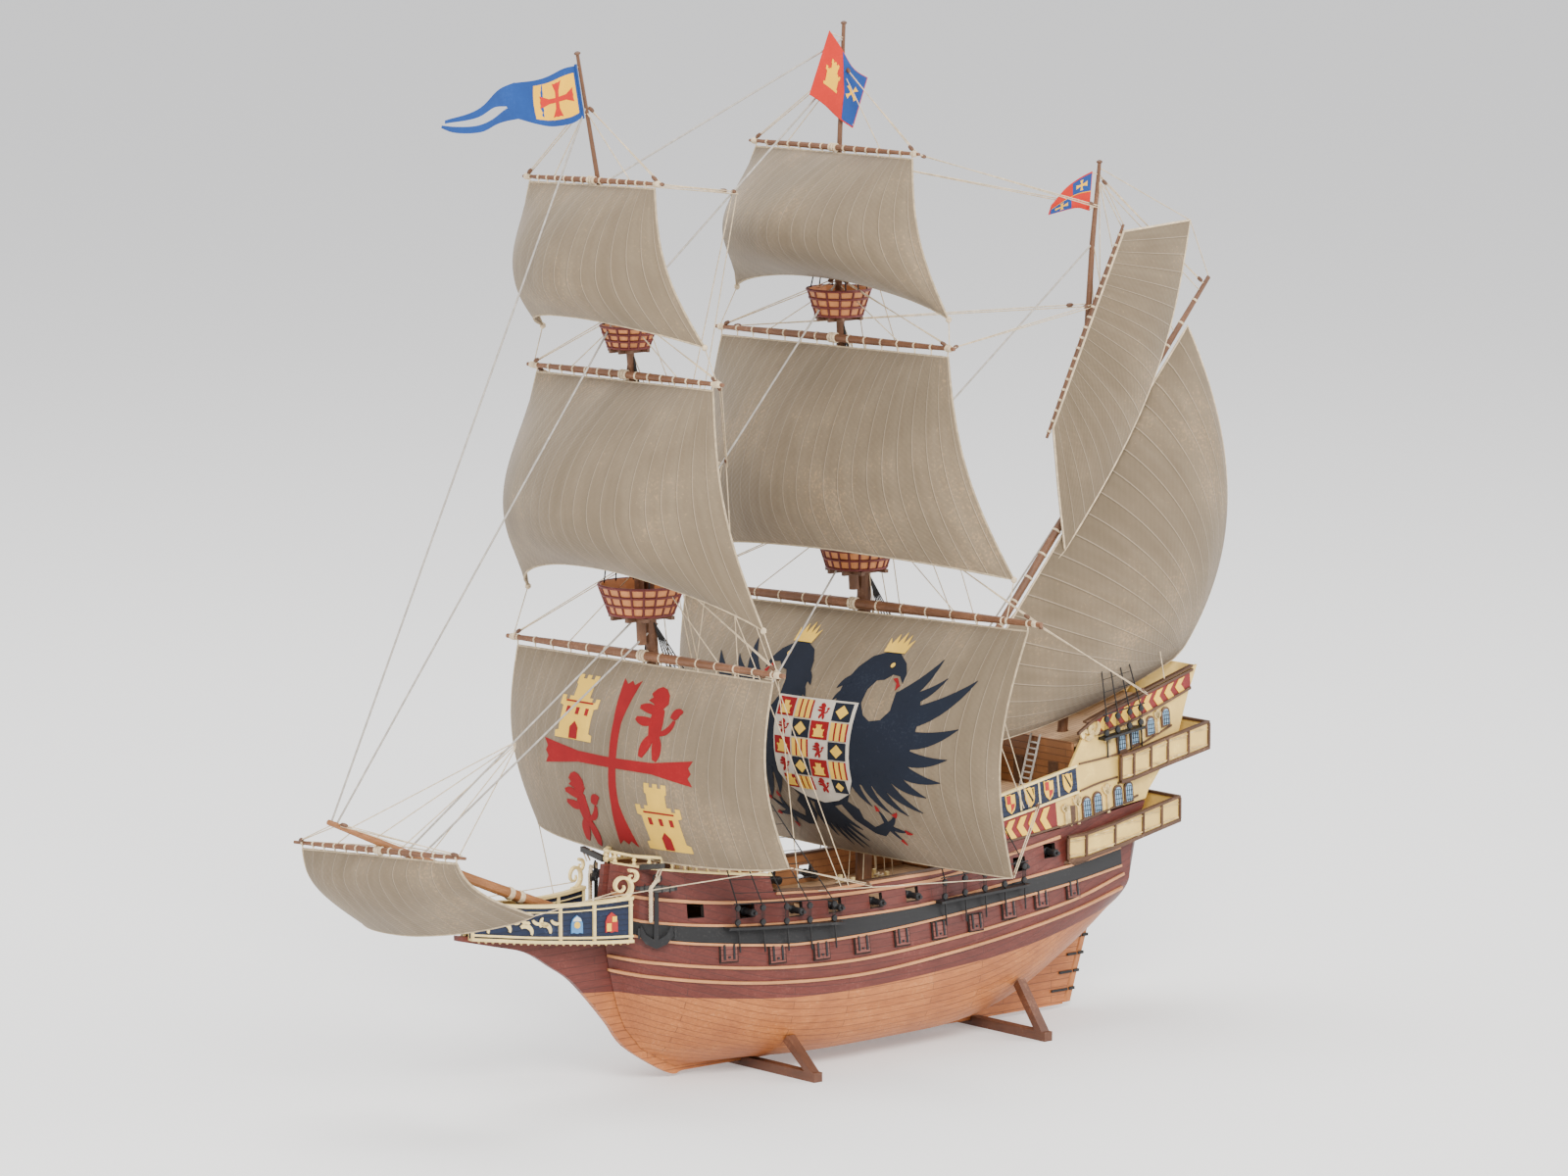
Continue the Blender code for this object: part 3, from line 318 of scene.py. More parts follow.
def make_weave_group():
    """Plain weave on UV metres; Tone and Height out."""
    group, gin, gout = new_group("plain_weave", "ShaderNodeTree", [("Threads", "NodeSocketFloat", 2200.0)],
                                 [("Tone", "NodeSocketFloat"), ("Height", "NodeSocketFloat")])
    link = group.links.new
    uv = tree_node(group, "ShaderNodeTexCoord")
    split = tree_node(group, "ShaderNodeSeparateXYZ")
    link(uv.outputs["UV"], split.inputs["Vector"])
    waves = []
    for axis in ("X", "Y"):
        scaled = tree_node(group, "ShaderNodeMath", operation="MULTIPLY")
        link(split.outputs[axis], scaled.inputs[0])
        link(gin.outputs["Threads"], scaled.inputs[1])
        wave = tree_node(group, "ShaderNodeMath", operation="SINE")
        link(scaled.outputs[0], wave.inputs[0])
        waves.append(wave)
    product = tree_node(group, "ShaderNodeMath", operation="MULTIPLY_ADD", in_2=0.5)
    link(waves[0].outputs[0], product.inputs[0])
    link(waves[1].outputs[0], product.inputs[1])
    slub = tree_node(group, "ShaderNodeTexNoise", in_Scale=260.0, in_Detail=4.0)
    stretch = tree_node(group, "ShaderNodeVectorMath", operation="MULTIPLY")
    stretch.inputs[1].default_value = (1.0, 0.12, 1.0)
    link(uv.outputs["UV"], stretch.inputs[0])
    link(stretch.outputs["Vector"], slub.inputs["Vector"])
    link(slub.outputs["Fac"], gout.inputs["Tone"])
    link(product.outputs[0], gout.inputs["Height"])
    return group


AGED = make_aged_group()
GRAIN = make_grain_group()
PLANKS = make_plank_group()
WEAVE = make_weave_group()
print("shader groups:", [g.name for g in (AGED, GRAIN, PLANKS, WEAVE)])

# %% [markdown]
# A painted finish is one material maker: aged paint, with optional grain or planks pressed into
# it. The Principled shader stays in the material, and fixed numbers are set on its own sockets.

# %% finishes


def add_group(mat, group, **values):
    made = mat.node_tree.nodes.new("ShaderNodeGroup")
    made.node_tree = group
    for key, value in values.items():
        made.inputs[key.replace("_", " ")].default_value = value
    return made


def start_finish(name, sheen=0.0, coat=0.0, metal=0.0, specular=0.35):
    """Empty finish with its shader ready; returns material, link and shader."""
    mat = bpy.data.materials.new(name)
    mat.use_nodes = True
    shader = mat.node_tree.nodes["Principled BSDF"]
    shader.inputs["Metallic"].default_value = metal
    shader.inputs["Sheen Weight"].default_value = sheen
    shader.inputs["Coat Weight"].default_value = coat
    shader.inputs["Specular IOR Level"].default_value = specular
    return mat, mat.node_tree.links.new, shader


def shade(colour, factor):
    return (colour[0] * factor, colour[1] * factor, colour[2] * factor, 1.0)


def paint_finish(name, colour, wash=0.5, rub=0.3, rough=0.45, grain=None, grain_depth=0.15, planks=None,
                 patch=60.0, coat=0.0, light=None, dark=0.45, metal=0.0):
    """Aged paint or stain, with grain along a stretch vector and plank seams if wanted."""
    mat, link, shader = start_finish(name, coat=coat, metal=metal)
    aged = add_group(mat, AGED, Patch_Size=patch, Wash=wash, Rub=rub, Roughness=rough)
    aged.inputs["Colour"].default_value = shade(colour, 1.0)
    aged.inputs["Dark"].default_value = shade(colour, dark)
    bright = light if light else tuple(min(1.0, c * 1.5 + 0.04) for c in colour)
    aged.inputs["Light"].default_value = (*bright, 1.0)
    colour_out = aged.outputs["Colour"]
    height_out = aged.outputs["Height"]
    depth = 0.05
    if grain is not None:
        veins = add_group(mat, GRAIN)
        veins.inputs["Stretch"].default_value = grain
        tint = tree_node(mat.node_tree, "ShaderNodeMix", data_type="RGBA", blend_type="MULTIPLY")
        tone = tree_node(mat.node_tree, "ShaderNodeMapRange", in_To_Min=grain_depth * 2.4, in_To_Max=0.0)
        link(veins.outputs["Tone"], tone.inputs["Value"])
        link(tone.outputs["Result"], tint.inputs["Factor"])
        link(colour_out, tint.inputs["A"])
        tint.inputs["B"].default_value = (0.35, 0.28, 0.22, 1.0)
        colour_out = tint.outputs["Result"]
        height_out = veins.outputs["Height"]
        depth = 0.12
    if planks is not None:
        along, across, width, length, seam = planks
        coord = tree_node(mat.node_tree, "ShaderNodeTexCoord")
        split = tree_node(mat.node_tree, "ShaderNodeSeparateXYZ")
        join = tree_node(mat.node_tree, "ShaderNodeCombineXYZ")
        link(coord.outputs["Object"], split.inputs["Vector"])
        link(split.outputs[along], join.inputs["X"])
        link(split.outputs[across], join.inputs["Y"])
        boards = add_group(mat, PLANKS, Width=width, Length=length)
        link(join.outputs["Vector"], boards.inputs["Vector"])
        vary = tree_node(mat.node_tree, "ShaderNodeMix", data_type="RGBA", blend_type="MULTIPLY")
        fade = tree_node(mat.node_tree, "ShaderNodeMath", operation="MULTIPLY", in_1=0.28)
        link(boards.outputs["Tone"], fade.inputs[0])
        link(fade.outputs[0], vary.inputs["Factor"])
        link(colour_out, vary.inputs["A"])
        vary.inputs["B"].default_value = (0.62, 0.55, 0.5, 1.0)
        gap = tree_node(mat.node_tree, "ShaderNodeMix", data_type="RGBA")
        strength = tree_node(mat.node_tree, "ShaderNodeMath", operation="MULTIPLY", in_1=seam)
        link(boards.outputs["Seam"], strength.inputs[0])
        link(strength.outputs[0], gap.inputs["Factor"])
        link(vary.outputs["Result"], gap.inputs["A"])
        gap.inputs["B"].default_value = shade(colour, 0.2)
        colour_out = gap.outputs["Result"]
        height_out = boards.outputs["Height"]
        depth = 0.3
    link(colour_out, shader.inputs["Base Color"])
    link(aged.outputs["Roughness"], shader.inputs["Roughness"])
    bump = tree_node(mat.node_tree, "ShaderNodeBump", in_Distance=0.0002)
    bump.inputs["Strength"].default_value = depth * 2.0
    link(height_out, bump.inputs["Height"])
    link(bump.outputs["Normal"], shader.inputs["Normal"])
    return mat


BURGUNDY = (0.155, 0.034, 0.024)
TAN = (0.54, 0.19, 0.05)
CREAM = (0.78, 0.53, 0.15)
NAVY = (0.008, 0.017, 0.05)
SAIL_BEIGE = (0.225, 0.172, 0.112)
WALE_BLACK = paint_finish("wale_black", (0.012, 0.012, 0.013), wash=0.3, rub=0.35, rough=0.42,
                          grain=(1.0, 10.0, 14.0), light=(0.05, 0.047, 0.044))
FITTING_BLACK = paint_finish("fitting_black", (0.011, 0.011, 0.012), wash=0.2, rub=0.4, rough=0.4,
                             patch=200.0, light=(0.05, 0.047, 0.044))
TAN_STRIP = paint_finish("tan_strip", (0.60, 0.27, 0.11), wash=0.25, rub=0.3, rough=0.4,
                         grain=(1.0, 14.0, 14.0))
CREAM_PAINT = paint_finish("cream_paint_aged", CREAM, wash=0.32, rub=0.25, rough=0.45, patch=110.0, dark=0.62)
CREAM_TRIM = paint_finish("cream_trim", (0.86, 0.66, 0.28), wash=0.3, rub=0.3, rough=0.42, patch=160.0,
                          dark=0.5)
GILT = paint_finish("gilt_carving", (0.74, 0.52, 0.20), wash=0.55, rub=0.5, rough=0.36, patch=220.0,
                    dark=0.32, light=(0.95, 0.82, 0.52))
NAVY_PAINT = paint_finish("navy_paint", NAVY, wash=0.4, rub=0.3, rough=0.45, light=(0.08, 0.11, 0.2),
                          planks=("X", "Z", 0.0022, 0.06, 0.5))
BROWN_TRIM = paint_finish("brown_trim", (0.115, 0.055, 0.028), wash=0.45, rub=0.45, rough=0.45,
                          grain=(1.0, 10.0, 10.0), light=(0.33, 0.2, 0.11))
CABIN_WOOD = paint_finish("cabin_wood", (0.30, 0.125, 0.045), wash=0.5, rub=0.3, rough=0.5,
                          planks=("Y", "Z", 0.003, 0.05, 0.6))
DECK_WOOD = paint_finish("deck_planks", (0.42, 0.25, 0.125), wash=0.45, rub=0.25, rough=0.55,
                         planks=("X", "Y", 0.0026, 0.05, 0.8))
SPAR_STAIN = paint_finish("spar_stain", (0.17, 0.075, 0.035), wash=0.45, rub=0.4, rough=0.42,
                          grain=(8.0, 8.0, 1.0), light=(0.36, 0.19, 0.1))
YARD_STAIN = paint_finish("yard_stain", (0.20, 0.088, 0.042), wash=0.45, rub=0.4, rough=0.42,
                          grain=(10.0, 1.0, 10.0), light=(0.38, 0.2, 0.11))
BOWSPRIT_STAIN = paint_finish("bowsprit_stain", (0.36, 0.15, 0.055), wash=0.4, rub=0.3, rough=0.42,
                              grain=(1.2, 9.0, 9.0))
TOP_TAN = paint_finish("top_tan", (0.58, 0.22, 0.072), wash=0.35, rub=0.3, rough=0.45, patch=120.0)
TOP_RED = paint_finish("top_batten_red", (0.135, 0.024, 0.02), wash=0.3, rub=0.35, rough=0.42, patch=160.0)
CRADLE_WOOD = paint_finish("cradle_wood", (0.135, 0.05, 0.024), wash=0.4, rub=0.4, rough=0.35,
                           grain=(6.0, 1.0, 6.0), coat=0.15, light=(0.3, 0.13, 0.07))
ROPE_CREAM = paint_finish("rope_cream", (0.66, 0.52, 0.34), wash=0.5, rub=0.3, rough=0.8, patch=400.0,
                          dark=0.5)
ROPE_GREY = paint_finish("rope_grey", (0.42, 0.38, 0.33), wash=0.4, rub=0.3, rough=0.85, patch=400.0,
                         dark=0.5)
ROPE_DARK = paint_finish("rope_tarred", (0.018, 0.016, 0.015), wash=0.3, rub=0.3, rough=0.65, patch=400.0,
                         light=(0.07, 0.065, 0.06))
BLOCK_BROWN = paint_finish("block_brown", (0.13, 0.06, 0.03), wash=0.4, rub=0.4, rough=0.45, patch=300.0)
RED_PAINT = paint_finish("red_paint", (0.40, 0.022, 0.018), wash=0.35, rub=0.2, rough=0.45, patch=140.0)
YELLOW_PAINT = paint_finish("yellow_paint", (0.88, 0.52, 0.045), wash=0.2, rub=0.2, rough=0.42, patch=140.0)
CHEVRON_RED = paint_finish("chevron_red", (0.20, 0.015, 0.014), wash=0.3, rub=0.2, rough=0.45, patch=140.0)
WHITE_PAINT = paint_finish("white_paint", (0.75, 0.74, 0.7), wash=0.3, rub=0.1, rough=0.45, patch=140.0)
SKY_PAINT = paint_finish("sky_paint", (0.09, 0.27, 0.55), wash=0.3, rub=0.2, rough=0.45, patch=140.0)
# Near-black painted shade: it fills the cut faces of the gunports and the rims round the closed lids,
# standing in for the shade in the openings and gaps.
PAINTED_SHADE_INSIDE = paint_finish("painted_shade_inside", (0.02, 0.013, 0.01), wash=0.2, rub=0.1, rough=0.8)
print("finishes so far:", len(bpy.data.materials))
# %% [markdown]
# The ship is described by tables in millimetres: X runs aft, Y to starboard, Z up. The same
# tables drive everything that must lie on the hull or hang from a yard, so wales, ports, sails
# and rigging all meet where they should.

# %% tables of the ship
MAX_HALF_BREADTH = 38.2
HULL_SKIN = 2.0
RABBET_HALF = 1.65
STATION_START = -101.3
STATION_RUN = 280.6
BREADTH_T = [0.0, 0.03, 0.06, 0.1, 0.2, 0.35, 0.5, 0.7, 0.85, 1.0, 1.14]
BREADTH_F = [0.0, 0.36, 0.52, 0.68, 0.88, 0.985, 1.0, 0.95, 0.86, 0.74, 0.62]
STEM_Z = [4.5, 14.0, 24.3, 33.0, 42.8, 55.0, 61.0, 75.0, 94.0]
STEM_X = [-64.0, -82.0, -91.0, -94.7, -97.5, -100.2, -101.3, -101.0, -98.5]
STERN_Z = [4.5, 34.6, 47.0, 63.0, 73.0, 82.0, 92.0, 100.0, 108.0, 113.0, 118.0, 127.0, 137.0, 147.0]
STERN_X = [153.9, 163.6, 164.6, 165.6, 167.9, 172.5, 179.0, 184.0, 192.0, 200.0, 202.8, 205.0, 212.0, 217.5]
FLOOR_X = [-64.0, 60.0, 80.0, 100.0, 120.0, 140.0, 153.0, 164.0, 180.0]
FLOOR_Z = [4.5, 4.5, 5.5, 8.5, 14.0, 22.5, 29.0, 36.0, 40.0]
FULL_X = [-100.0, -60.0, -25.0, 40.0, 80.0, 102.0, 130.0, 150.0, 165.0]
FULL_A = [2.0, 2.4, 3.0, 3.0, 2.7, 2.4, 2.0, 1.8, 1.6]
FULL_C = [0.75, 0.5, 0.34, 0.34, 0.38, 0.45, 0.62, 0.8, 1.0]
TUMBLEHOME = 0.0042
RAIL_X = [-101.0, -98.5, -86.7, -62.6, -35.3, -34.9, -10.0, 54.0, 75.0, 88.0, 124.0, 140.0, 180.0]
RAIL_Z = [94.0, 93.7, 91.4, 88.2, 84.9, 78.3, 76.9, 77.3, 79.5, 83.4, 85.9, 88.0, 92.0]
PORT_SPOTS = [(-71.7, 73.9), (-49.1, 72.1), (-25.5, 70.2), (-5.4, 69.6), (16.5, 69.0), (36.5, 69.2),
              (98.8, 74.2), (117.4, 77.6)]
PORT_WIDTH = 7.0
PORT_HEIGHT = 6.0

STERNPOST_LOW = (153.1, 2.2)
STERNPOST_TOP = (164.2, 34.6)
MAIN_DECK_Z = 64.5
CASTLE_X = [90.0, 138.4, 138.8, 145.0, 160.0, 178.0, 217.6]
CASTLE_TOP = [104.0, 111.2, 122.3, 128.0, 132.0, 136.5, 145.8]

FORE_MAST = [(-65.8, 58.0, 3.2), (-74.3, 177.5, 2.6), (-77.3, 221.0, 2.2)]
MAIN_MAST = [(40.4, 56.0, 3.6), (40.4, 188.0, 3.0), (40.4, 234.0, 2.5)]
MIZZEN_MAST = [(152.4, 108.0, 2.3), (162.1, 230.0, 1.8), (169.2, 330.0, 1.2), (173.1, 364.0, 0.8)]
BOWSPRIT_MID = (-170.1, 95.7, 2.1)

# tops: centre x, bottom z, hole radius, bottom radius, rim radius, height
TOPS = {
    "fore_lower_top": (-80.0, 194.9, 7.7, 13.0, 17.6, 12.2),
    "fore_upper_top": (-86.4, 304.7, 2.7, 8.2, 11.4, 8.9),
    "main_lower_top": (36.4, 203.2, 7.4, 12.4, 16.2, 12.0),
    "main_upper_top": (26.4, 309.6, 2.9, 9.6, 13.2, 11.2),
}

# yards: centre x, z, half length, brace degrees, cant degrees, radius
YARDS = {
    "spritsail_yard": (-215.8, 112.7, 47.6, 8.2, 2.8, 1.3),
    "fore_yard": (-79.2, 177.4, 83.5, 3.1, 0.7, 2.0),
    "fore_topsail_yard": (-88.8, 293.8, 57.3, 4.4, 0.5, 1.6),
    "fore_topgallant_yard": (-105.3, 373.9, 40.6, 4.3, 1.5, 1.2),
    "main_yard": (34.8, 188.0, 101.0, 8.5, 0.5, 2.2),
    "main_topsail_yard": (23.4, 300.5, 70.7, 3.4, 0.8, 1.7),
    "main_topgallant_yard": (23.4, 379.6, 50.3, 3.3, 0.4, 1.3),
}
LATEEN_YARDS = {
    "mizzen_yard": ((68.0, -4.6, 119.2), (233.4, -4.6, 311.6), 1.8),
    "mizzen_topsail_yard": ((139.6, -4.2, 249.2), (183.4, -4.2, 337.4), 1.2),
}

# square sails: yard, inset, drop, starboard clew, port clew, belly, leech, arch, fullness
SAILS = {
    "fore_course": ("fore_yard", 0.92, 3.4, (-72.2, 78.0, 97.8), (-67.6, -78.0, 98.6), 15.0, 8.0, -4.0, 0.65),
    "fore_topsail": ("fore_topsail_yard", 0.9, 2.8, (-76.9, 78.0, 197.2), (-81.0, -78.0, 196.8), 39.0, 7.0,
                     19.0, 0.8),
    "fore_topgallant": ("fore_topgallant_yard", 0.9, 2.2, (-88.5, 53.0, 309.2), (-90.6, -53.0, 309.5), 29.0,
                        7.0, 10.0, 0.65),
    "main_course": ("main_yard", 0.93, 3.4, (38.0, 90.0, 83.0), (43.2, -90.0, 83.0), 28.0, 11.0, 0.0, 0.95),
    "main_topsail": ("main_topsail_yard", 0.95, 3.6, (31.0, 80.0, 202.0), (52.5, -80.0, 205.0), 40.0, 8.0,
                     12.0, 0.55),
    "main_topgallant": ("main_topgallant_yard", 0.92, 2.4, (30.2, 70.0, 315.5), (25.0, -70.0, 313.8), 34.0,
                        6.0, 11.0, 0.95),
    "spritsail": ("spritsail_yard", 0.9, 2.4, (-193.8, 40.0, 76.5), (-168.9, -40.0, 86.0), 12.0, 8.0, -6.0,
                  0.6),
}
SAIL_THICK = 0.4
MIZZEN_TACK = (71.6, -7.2, 120.4)
MIZZEN_PEAK = (218.6, -7.2, 291.6)
MIZZEN_CLEW = (216.1, -6.0, 148.6)
MIZZEN_BELLY = 17.0
MIZZEN_ROACH = 16.0
TOPSAIL_HEAD = (181.6, -6.4, 334.8)
TOPSAIL_FOOT = (141.2, -6.4, 253.6)
TOPSAIL_CLEW = (143.8, -11.4, 201.2)
TOPSAIL_PEAK = (218.9, -8.0, 337.3)

# flags, in the centre plane
PENNANT_BODY_TOP = [(-113.4, 420.4), (-119.2, 419.6), (-127.3, 417.3), (-135.4, 415.7), (-144.4, 415.0)]
PENNANT_BODY_LOW = [(-109.6, 399.8), (-115.6, 397.2), (-125.4, 396.7), (-133.5, 398.0), (-142.5, 400.7)]
PENNANT_TAIL_TOP = [(-154.4, 412.3), (-163.4, 406.3), (-170.3, 403.6), (-179.2, 402.0)]
PENNANT_TAIL_MID = [(-156.4, 406.0), (-163.8, 402.8), (-170.3, 401.4), (-179.2, 400.8)]
PENNANT_LOW_MID = [(-157.4, 401.3), (-165.4, 399.2), (-173.5, 399.2), (-181.2, 400.2)]
PENNANT_LOW_EDGE = [(-154.5, 399.2), (-163.4, 396.6), (-173.5, 396.7), (-181.6, 399.2)]
BANNER_CORNERS = [(18.3, 428.3), (39.2, 407.8), (30.4, 387.4), (6.8, 402.6)]
MIZZEN_FLAG_TOP = [(169.0, 360.8), (160.9, 357.9), (152.5, 354.3), (145.8, 347.8)]
MIZZEN_FLAG_LOW = [(167.4, 344.0), (160.9, 345.6), (152.5, 345.2), (144.4, 343.6)]
FLAG_THICK = 0.4

LOWER_GALLERY_HEIGHT = 9.6
UPPER_GALLERY_HEIGHT = 10.6
CRADLES = {"fore_cradle": -26.4, "aft_cradle": 101.8}
CRADLE_BAR = 4.0
ANCHOR_STANDOFF = 3.4


def lerp_table(x, xs, ys):
    """Straight-line lookup that holds its end values."""
    if x <= xs[0]:
        return ys[0]
    for i in range(len(xs) - 1):
        if x <= xs[i + 1]:
            t = (x - xs[i]) / (xs[i + 1] - xs[i])
            return ys[i] + (ys[i + 1] - ys[i]) * t
    return ys[-1]


def hull_half_breadth(x, z):
    """Outer half breadth of the hull skin at a place along and up."""
    t = (x - STATION_START) / STATION_RUN
    full = MAX_HALF_BREADTH * soft_lookup(t, BREADTH_T, BREADTH_F)
    z_wide = 49.6 + (x / 181.0) ** 2 * 13.4
    if z >= z_wide:
        return RABBET_HALF + max(full - RABBET_HALF, 0.0) * (1.0 - TUMBLEHOME * (z - z_wide))
    floor = soft_lookup(x, FLOOR_X, FLOOR_Z)
    w = min(max((z - floor) / (z_wide - floor), 0.0), 1.0)
    a = soft_lookup(x, FULL_X, FULL_A)
    c = soft_lookup(x, FULL_X, FULL_C)
    shape = (1.0 - (1.0 - w) ** a) ** c
    return RABBET_HALF + max(full - RABBET_HALF, 0.0) * shape


def station_x(u, z):
    """Place along the hull of one station line at height z."""
    bow = lerp_table(z, STEM_Z, STEM_X)
    stern = lerp_table(z, STERN_Z, STERN_X)
    return bow + (stern - bow) * u


def bow_fade(u, x, z):
    """Half breadth that closes cleanly on the stem."""
    if u <= 0.0:
        return RABBET_HALF
    bow = lerp_table(z, STEM_Z, STEM_X)
    shifted = x - (bow - STATION_START) * max(0.0, 1.0 - u * 3.0)
    return max(RABBET_HALF + 0.05, hull_half_breadth(shifted, z))


def side_y(x, z):
    """Half breadth at a place, measured the same way the hull skin is built."""
    bow = lerp_table(z, STEM_Z, STEM_X)
    stern = lerp_table(z, STERN_Z, STERN_X)
    u = (x - bow) / (stern - bow)
    return bow_fade(u, x, z)


def rail_z(x):
    """Top of the hull side."""
    return lerp_table(x, RAIL_X, RAIL_Z)


def mast_place(table, z):
    """Centre x and radius of a mast at height z."""
    zs = [row[1] for row in table]
    return lerp_table(z, zs, [row[0] for row in table]), lerp_table(z, zs, [row[2] for row in table])


def yard_point(name, t, drop=0.0):
    """Point on a yard; t runs -1 at the starboard end to 1 at the port end."""
    x, z, half, brace, cant, _ = YARDS[name]
    b = math.radians(brace)
    c = math.radians(cant)
    along = Vector((math.sin(b) * math.cos(c), -math.cos(b) * math.cos(c), math.sin(c)))
    return Vector((x, 0.0, z - drop)) + along * half * t


def square_sail_point(spec, u, v):
    """Point of a square sail; u starboard to port, v head to foot."""
    yard, inset, drop, clew_s, clew_p, belly, leech, arch, full = spec
    head = yard_point(yard, -inset, drop).lerp(yard_point(yard, inset, drop), u)
    foot = Vector(clew_s).lerp(Vector(clew_p), u)
    point = head.lerp(foot, v)
    fill = max(4.0 * u * (1.0 - u), 0.0) ** 0.7
    depth = max(math.sin(math.pi * v * full), 0.0) ** 0.85
    point.x -= belly * fill * depth + leech * math.sin(math.pi * v)
    point.z += arch * fill * v ** 3
    return point


def lateen_point(a, b, c):
    """Point of the mizzen sail from shares of tack, peak and clew."""
    point = Vector(MIZZEN_TACK) * a + Vector(MIZZEN_PEAK) * b + Vector(MIZZEN_CLEW) * c
    bulge = max(27.0 * a * b * c, 0.0) ** 0.7
    point.y -= MIZZEN_BELLY * bulge + 10.0 * 4.0 * b * c
    point.x += MIZZEN_ROACH * 4.0 * b * c * (1.0 - 0.25 * (b - c))
    point.z -= 7.0 * 4.0 * a * c
    return point


def upper_lateen_point(u, v):
    """Point of the mizzen topsail; u along the yard, v from yard to leech."""
    yard_side = Vector(TOPSAIL_FOOT).lerp(Vector(TOPSAIL_HEAD), u)
    leech_side = Vector(TOPSAIL_CLEW).lerp(Vector(TOPSAIL_PEAK), u)
    point = yard_side.lerp(leech_side, v)
    point.y -= 9.0 * math.sin(math.pi * u) * math.sin(math.pi * v * 0.8)
    point.x += 9.0 * math.sin(math.pi * u) * v
    return point


print("hull half breadth amidships:", round(side_y(20.0, 50.0), 2), "mm")

# %% [markdown]
# Two Geometry Nodes trees do the repeating work. `repeat_on_points` puts a copy of a small part on
# every point, turned and scaled by the point's own attributes. `line_along_path` gives any chain
# of edges a round body, which is how every rope, batten and moulding is made.

# %% geometry node trees


def make_repeat_tree():
    tree = bpy.data.node_groups.new("repeat_on_points", "GeometryNodeTree")
    for label, kind in (("Geometry", "NodeSocketGeometry"), ("Part", "NodeSocketObject"),
                        ("Finish", "NodeSocketMaterial"), ("Overall Size", "NodeSocketFloat")):
        tree.interface.new_socket(label, in_out="INPUT", socket_type=kind)
    tree.interface.new_socket("Geometry", in_out="OUTPUT", socket_type="NodeSocketGeometry")
    link = tree.links.new
    gin = tree.nodes.new("NodeGroupInput")
    gout = tree.nodes.new("NodeGroupOutput")
    part = tree_node(tree, "GeometryNodeObjectInfo")
    link(gin.outputs["Part"], part.inputs["Object"])
    turn = tree_node(tree, "GeometryNodeInputNamedAttribute", data_type="FLOAT_VECTOR", in_Name="turn")
    size = tree_node(tree, "GeometryNodeInputNamedAttribute", data_type="FLOAT_VECTOR", in_Name="size")
    euler = tree_node(tree, "FunctionNodeEulerToRotation")
    link(turn.outputs["Attribute"], euler.inputs["Euler"])
    grown = tree_node(tree, "ShaderNodeVectorMath", operation="SCALE")
    link(size.outputs["Attribute"], grown.inputs[0])
    link(gin.outputs["Overall Size"], grown.inputs["Scale"])
    copies = tree_node(tree, "GeometryNodeInstanceOnPoints")
    link(gin.outputs["Geometry"], copies.inputs["Points"])
    link(part.outputs["Geometry"], copies.inputs["Instance"])
    link(euler.outputs["Rotation"], copies.inputs["Rotation"])
    link(grown.outputs["Vector"], copies.inputs["Scale"])
    real = tree_node(tree, "GeometryNodeRealizeInstances")
    link(copies.outputs["Instances"], real.inputs["Geometry"])
    finish = tree_node(tree, "GeometryNodeSetMaterial")
    link(real.outputs["Geometry"], finish.inputs["Geometry"])
    link(gin.outputs["Finish"], finish.inputs["Material"])
    link(finish.outputs["Geometry"], gout.inputs["Geometry"])
    return tree


def make_line_tree():
    tree = bpy.data.node_groups.new("line_along_path", "GeometryNodeTree")
    for label, kind in (("Geometry", "NodeSocketGeometry"), ("Radius", "NodeSocketFloat"),
                        ("Sides", "NodeSocketInt"), ("Finish", "NodeSocketMaterial")):
        tree.interface.new_socket(label, in_out="INPUT", socket_type=kind)
    tree.interface.new_socket("Geometry", in_out="OUTPUT", socket_type="NodeSocketGeometry")
    link = tree.links.new
    gin = tree.nodes.new("NodeGroupInput")
    gout = tree.nodes.new("NodeGroupOutput")
    path = tree_node(tree, "GeometryNodeMeshToCurve")
    link(gin.outputs["Geometry"], path.inputs["Mesh"])
    ring = tree_node(tree, "GeometryNodeCurvePrimitiveCircle")
    link(gin.outputs["Radius"], ring.inputs["Radius"])
    link(gin.outputs["Sides"], ring.inputs["Resolution"])
    body = tree_node(tree, "GeometryNodeCurveToMesh")
    body.inputs["Fill Caps"].default_value = True
    link(path.outputs["Curve"], body.inputs["Curve"])
    link(ring.outputs["Curve"], body.inputs["Profile Curve"])
    smooth = tree_node(tree, "GeometryNodeSetShadeSmooth")
    link(body.outputs["Mesh"], smooth.inputs["Geometry"])
    real = tree_node(tree, "GeometryNodeRealizeInstances")
    link(smooth.outputs["Geometry"], real.inputs["Geometry"])
    finish = tree_node(tree, "GeometryNodeSetMaterial")
    link(real.outputs["Geometry"], finish.inputs["Geometry"])
    link(gin.outputs["Finish"], finish.inputs["Material"])
    link(finish.outputs["Geometry"], gout.inputs["Geometry"])
    return tree


REPEAT_TREE = make_repeat_tree()
LINE_TREE = make_line_tree()


def run_tree(name, carrier, tree, values, finish):
    """Evaluate a tree on a carrier mesh and keep the result as a plain mesh."""
    holder = bpy.data.objects.new(name, carrier)
    bpy.context.scene.collection.objects.link(holder)
    modifier = holder.modifiers.new(tree.name, "NODES")
    modifier.node_group = tree
    for item in tree.interface.items_tree:
        if item.in_out == "INPUT" and item.name in values:
            modifier[item.identifier] = values[item.name]
    bpy.context.view_layer.update()
    depsgraph = bpy.context.evaluated_depsgraph_get()
    mesh = bpy.data.meshes.new_from_object(holder.evaluated_get(depsgraph), depsgraph=depsgraph)
    holder.modifiers.clear()
    holder.data = mesh
    mesh.name = name
    mesh.materials.clear()
    mesh.materials.append(finish)
    return holder


